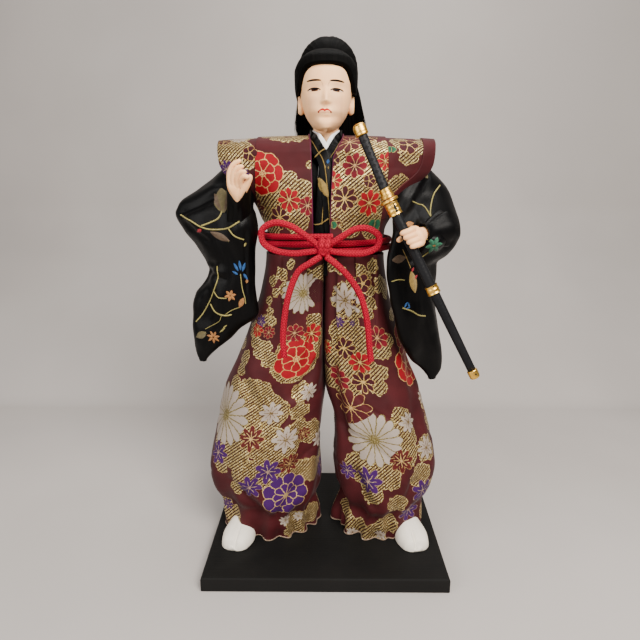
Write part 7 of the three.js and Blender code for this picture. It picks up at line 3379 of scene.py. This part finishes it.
RIGHT_DESIGN: tuple[Stem | Leaf | Spray, ...] = (
    Leaf((-56.4, 219.2), 13.0, 9.0, 100, Silk.OLIVE),
    Leaf((-58.8, 218.4), 10.0, 3.6, 118, Silk.BRONZE),
    Leaf((-53.8, 218.8), 10.0, 3.6, 80, Silk.BRONZE),
    Stem(((-81.4, 211.4), (-74.2, 208.6), (-67.7, 205.2), (-61.6, 203.9), (-52.9, 204.7), (-46.0, 208.4)), 0.42),
    Stem(((-67.6, 205.8), (-62.5, 207.7), (-58.1, 210.0), (-55.9, 213.7)), 0.42),
    Stem(((-52.4, 204.5), (-49.3, 200.9), (-44.4, 198.7)), 0.4),
    Leaf((-57.4, 200.2), 11.5, 3.6, -25, Silk.BRONZE),
    Stem(((-62.5, 202.6), (-57.4, 200.3), (-52.8, 197.4)), 0.16),
    Leaf((-69.1, 203.2), 3.4, 2.0, 20, Silk.RED),
    Leaf((-43.9, 196.0), 2.4, 1.2, 60, Silk.STEM),
    Leaf((-49.6, 183.4), 5.0, 1.5, 118, Silk.BLUE),
    Leaf((-47.4, 184.4), 5.6, 1.5, 96, Silk.BLUE),
    Leaf((-45.4, 183.4), 5.0, 1.5, 72, Silk.BLUE),
    Leaf((-50.2, 180.2), 3.6, 1.3, 150, Silk.BLUE),
    Leaf((-44.6, 178.0), 4.2, 1.4, -60, Silk.BLUE),
    Stem(((-47.3, 179.6), (-46.6, 171.8), (-45.4, 166.0), (-45.2, 162.6)), 0.32),
    Leaf((-44.0, 175.5), 2.6, 1.6, 80, Silk.ORANGE),
    Stem(((-60.5, 183.6), (-60.4, 177.0), (-63.6, 168.8), (-66.9, 162.4), (-71.8, 154.8), (-76.0, 150.0)), 0.42),
    Stem(((-63.1, 169.1), (-60.4, 166.1), (-55.8, 165.7)), 0.36),
    Spray((-53.5, 167.3), 3.3, 6, Silk.ORANGE, 0.8),
    Stem(((-66.3, 161.3), (-63.3, 156.9), (-57.5, 155.6), (-53.5, 156.1)), 0.42),
    Leaf((-47.5, 163.2), 6.4, 2.9, 65, Silk.ORANGE),
    Stem(((-56.9, 156.3), (-53.4, 158.6), (-48.8, 160.4)), 0.2),
    Stem(((-59.4, 155.2), (-61.7, 151.2), (-70.3, 146.1)), 0.2),
    Leaf((-73.0, 142.4), 7.2, 4.2, 28, Silk.OLIVE),
    Spray((-65.6, 141.5), 3.9, 7, Silk.ORANGE, 0.7),
    Leaf((-59.4, 146.6), 5.0, 1.0, 42, Silk.STEM),
    Leaf((-57.8, 148.8), 3.4, 0.8, 42, Silk.STEM))
LEFT_DESIGN: tuple[Stem | Leaf | Spray, ...] = (
    Leaf((53.6, 235.4), 5.4, 2.4, 70, Silk.GOLD),
    Leaf((55.6, 233.0), 4.6, 2.2, 110, Silk.OLIVE),
    Stem(((63.4, 227.4), (59.6, 223.2), (57.5, 218.4), (55.9, 212.2), (55.7, 205.6)), 0.42),
    Stem(((47.5, 218.6), (50.4, 217.2), (52.7, 216.9)), 0.34),
    Stem(((52.0, 216.9), (53.8, 215.3), (55.7, 211.2)), 0.34),
    Leaf((43.8, 207.2), 4.6, 2.6, 8, Silk.ORANGE),
    Spray((55.6, 196.8), 4.3, 6, Silk.GREEN, 0.85),
    Leaf((55.6, 196.8), 1.8, 1.5, 0, Silk.ORANGE),
    Stem(((50.6, 200.4), (52.4, 199.4), (54.0, 198.0)), 0.26),
    Stem(((50.0, 189.4), (51.9, 190.6), (53.7, 192.9)), 0.32),
    Leaf((38.6, 189.2), 7.4, 4.4, 10, Silk.BRONZE),
    Stem(((40.4, 194.2), (43.4, 188.5), (45.4, 184.1)), 0.2, Silk.GOLD),
    Leaf((47.3, 176.3), 12.4, 4.2, 104, Silk.GOLD),
    Stem(((46.2, 181.8), (47.5, 176.6), (48.8, 170.6)), 0.18, Silk.BRONZE),
    Leaf((46.6, 183.2), 2.6, 1.3, 70, Silk.RED),
    Leaf((48.7, 178.9), 2.6, 1.3, 60, Silk.RED),
    Stem(((35.0, 177.2), (38.6, 178.1), (42.3, 177.7)), 0.24),
    Leaf((43.6, 164.0), 3.2, 1.1, 60, Silk.BLUE),
    Leaf((45.4, 163.6), 3.2, 1.1, 110, Silk.BLUE),
    Leaf((44.8, 162.0), 2.6, 1.0, 10, Silk.BLUE),
    Stem(((41.7, 162.5), (47.1, 160.2), (51.6, 157.3), (56.1, 155.9)), 0.4))
CHEST_DESIGN: tuple[Stem | Leaf | Spray, ...] = (
    Stem(((-6.7, 240.9), (-3.0, 244.4), (-0.3, 246.0)), 0.34, Silk.GOLD),
    Leaf((1.0, 239.3), 2.4, 1.6, 80, Silk.BLUE),
    Leaf((-0.4, 236.5), 1.5, 0.7, 90, Silk.GOLD),
    Leaf((1.2, 236.1), 1.5, 0.7, 90, Silk.GOLD),
    Leaf((-1.6, 226.2), 12.0, 4.2, -62, Silk.GOLD),
    Stem(((-4.2, 231.2), (-1.6, 226.0), (1.0, 220.8)), 0.17, Silk.BRONZE),
    Stem(((-7.4, 206.4), (-3.0, 206.9), (1.4, 209.8)), 0.34, Silk.GOLD))


def stitch_sleeves(satin: Finish) -> None:
    """Hang both sleeves and stitch their vines, leaves and flowers.

    Args:
        satin: the cloth of the sleeves.
    """
    for sleeve, design in ((RIGHT_SLEEVE, RIGHT_DESIGN), (LEFT_SLEEVE, LEFT_DESIGN)):
        cloth = sleeve.build(satin)
        Embroidery([cloth]).stitch(f"sleeve_embroidery_{sleeve.side.word}", "doll", design)


def dress_body() -> None:
    """Build the clothes of the trunk and legs."""
    right = (
        Crease((-3, 128), (-20, 104), 2.4, 3.2), Crease((-6, 150), (-14, 118), 1.4, 2.6),
        Crease((-52, 124), (-34, 84), 1.2, 4.0), Crease((-16, 98), (-10, 60), 1.6, 3.6),
        Crease((-58, 52), (-36, 28), 2.0, 3.4), Crease((-18, 46), (-30, 26), 1.6, 3.0))
    left = (
        Crease((4, 126), (12, 78), 2.2, 3.2), Crease((30, 140), (24, 108), 1.2, 3.2),
        Crease((52, 128), (58, 78), 1.6, 4.0), Crease((16, 60), (30, 34), 1.6, 3.2),
        Crease((56, 52), (44, 28), 1.8, 3.2), Crease((38, 100), (50, 72), 1.0, 3.0))
    TrouserLeg(Side.RIGHT, 76.3, (9.7, 24), right).build(TROUSERS_RIGHT.build(), RIM.build())
    TrouserLeg(Side.LEFT, 71.9, (5.5, 16, 27), left).build(TROUSERS_LEFT.build(), RIM.build())


RIM = Thread("hem thread", (0.62, 0.5, 0.4), (0.25, 0.16, 0.1), metallic=0.7)


def main() -> None:
    """Build the scene: camera and cords first, then the doll from its board up."""
    logging.basicConfig(level=logging.INFO, format="%(name)s: %(message)s")
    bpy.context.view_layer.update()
    Studio().build()
    WaistCord().build()
    wood = Paint("black board paint", (0.0045, 0.0045, 0.0045), (0.01, 0.0095, 0.009), 0.6)
    wire = Gilding("arm and leg wire").build()
    carry_over({
        "board_paint": (wood.build(), ("board",)),
        "wire": (wire, ("leg_wire_right", "leg_wire_left", "arm_wire_right", "arm_wire_left")),
        "peg": (Paint("turned peg", (0.42, 0.27, 0.14), (0.5, 0.34, 0.2), 0.6).build(), ("neck_peg",)),
        "steel": (Paint("steel", (0.52, 0.53, 0.54), (0.6, 0.6, 0.61), 0.3).build(), ("sword_blade",)),
        "gold": (Gilding("blade collar gilding").build(), ("blade_collar",)),
        "stuffing": (
            Satin("leg stuffing", (0.6, 0.56, 0.5), (0.66, 0.62, 0.56), 0.8).build(),
            ("leg_stuffing_right", "leg_stuffing_left"))})
    Inside().build(Satin("body stuffing cloth", (0.6, 0.56, 0.5), (0.66, 0.62, 0.56), 0.8).build())
    sock = Satin("white sock", (0.76, 0.7, 0.6), (0.82, 0.76, 0.67), 0.62)
    for side in Side:
        Foot(side).build(sock.build())
    dress_body()
    satin = Satin("black satin", (0.0012, 0.0012, 0.0014), (0.0028, 0.0026, 0.0026), 0.36, shine=0.085).build()
    white = Satin("white satin", (0.76, 0.75, 0.74), (0.82, 0.81, 0.8), 0.5).build()
    gold_line = Thread("gold collar line", (0.6, 0.42, 0.12), (0.22, 0.13, 0.03), metallic=0.5).build()
    KimonoBody().build(satin, white, gold_line)
    stitch_sleeves(satin)
    Vest().build({Side.RIGHT: VEST_RIGHT.build(), Side.LEFT: VEST_LEFT.build()}, VEST_BACK.build(),
        Satin("piping silk", (0.055, 0.004, 0.02), (0.1, 0.01, 0.04), 0.5).build())
    Hands().build(Flesh().build())
    SwordWork().build(Gilding().build(), GripWrap().build(), Paint("scabbard lacquer", (0.0065, 0.0066, 0.0075),
        (0.016, 0.0162, 0.0175), 0.36).build(), Paint("dark inlay", (0.006, 0.006, 0.006), (0.012, 0.012, 0.012),
        0.5).build())
    head = Head()
    head.build(PaintedFace().build())
    head.cap(Tresses("combed band", 0.42).build())
    hair = Tresswork()
    hair.crown(Tresses("crown hair", 0.42).build())
    hair.long(Tresses("long hair", 0.34).build())
    hair.tie(Thread("hair tie", (0.03, 0.03, 0.03), (0.008, 0.008, 0.008)).build())


if __name__ == "__main__":
    main()
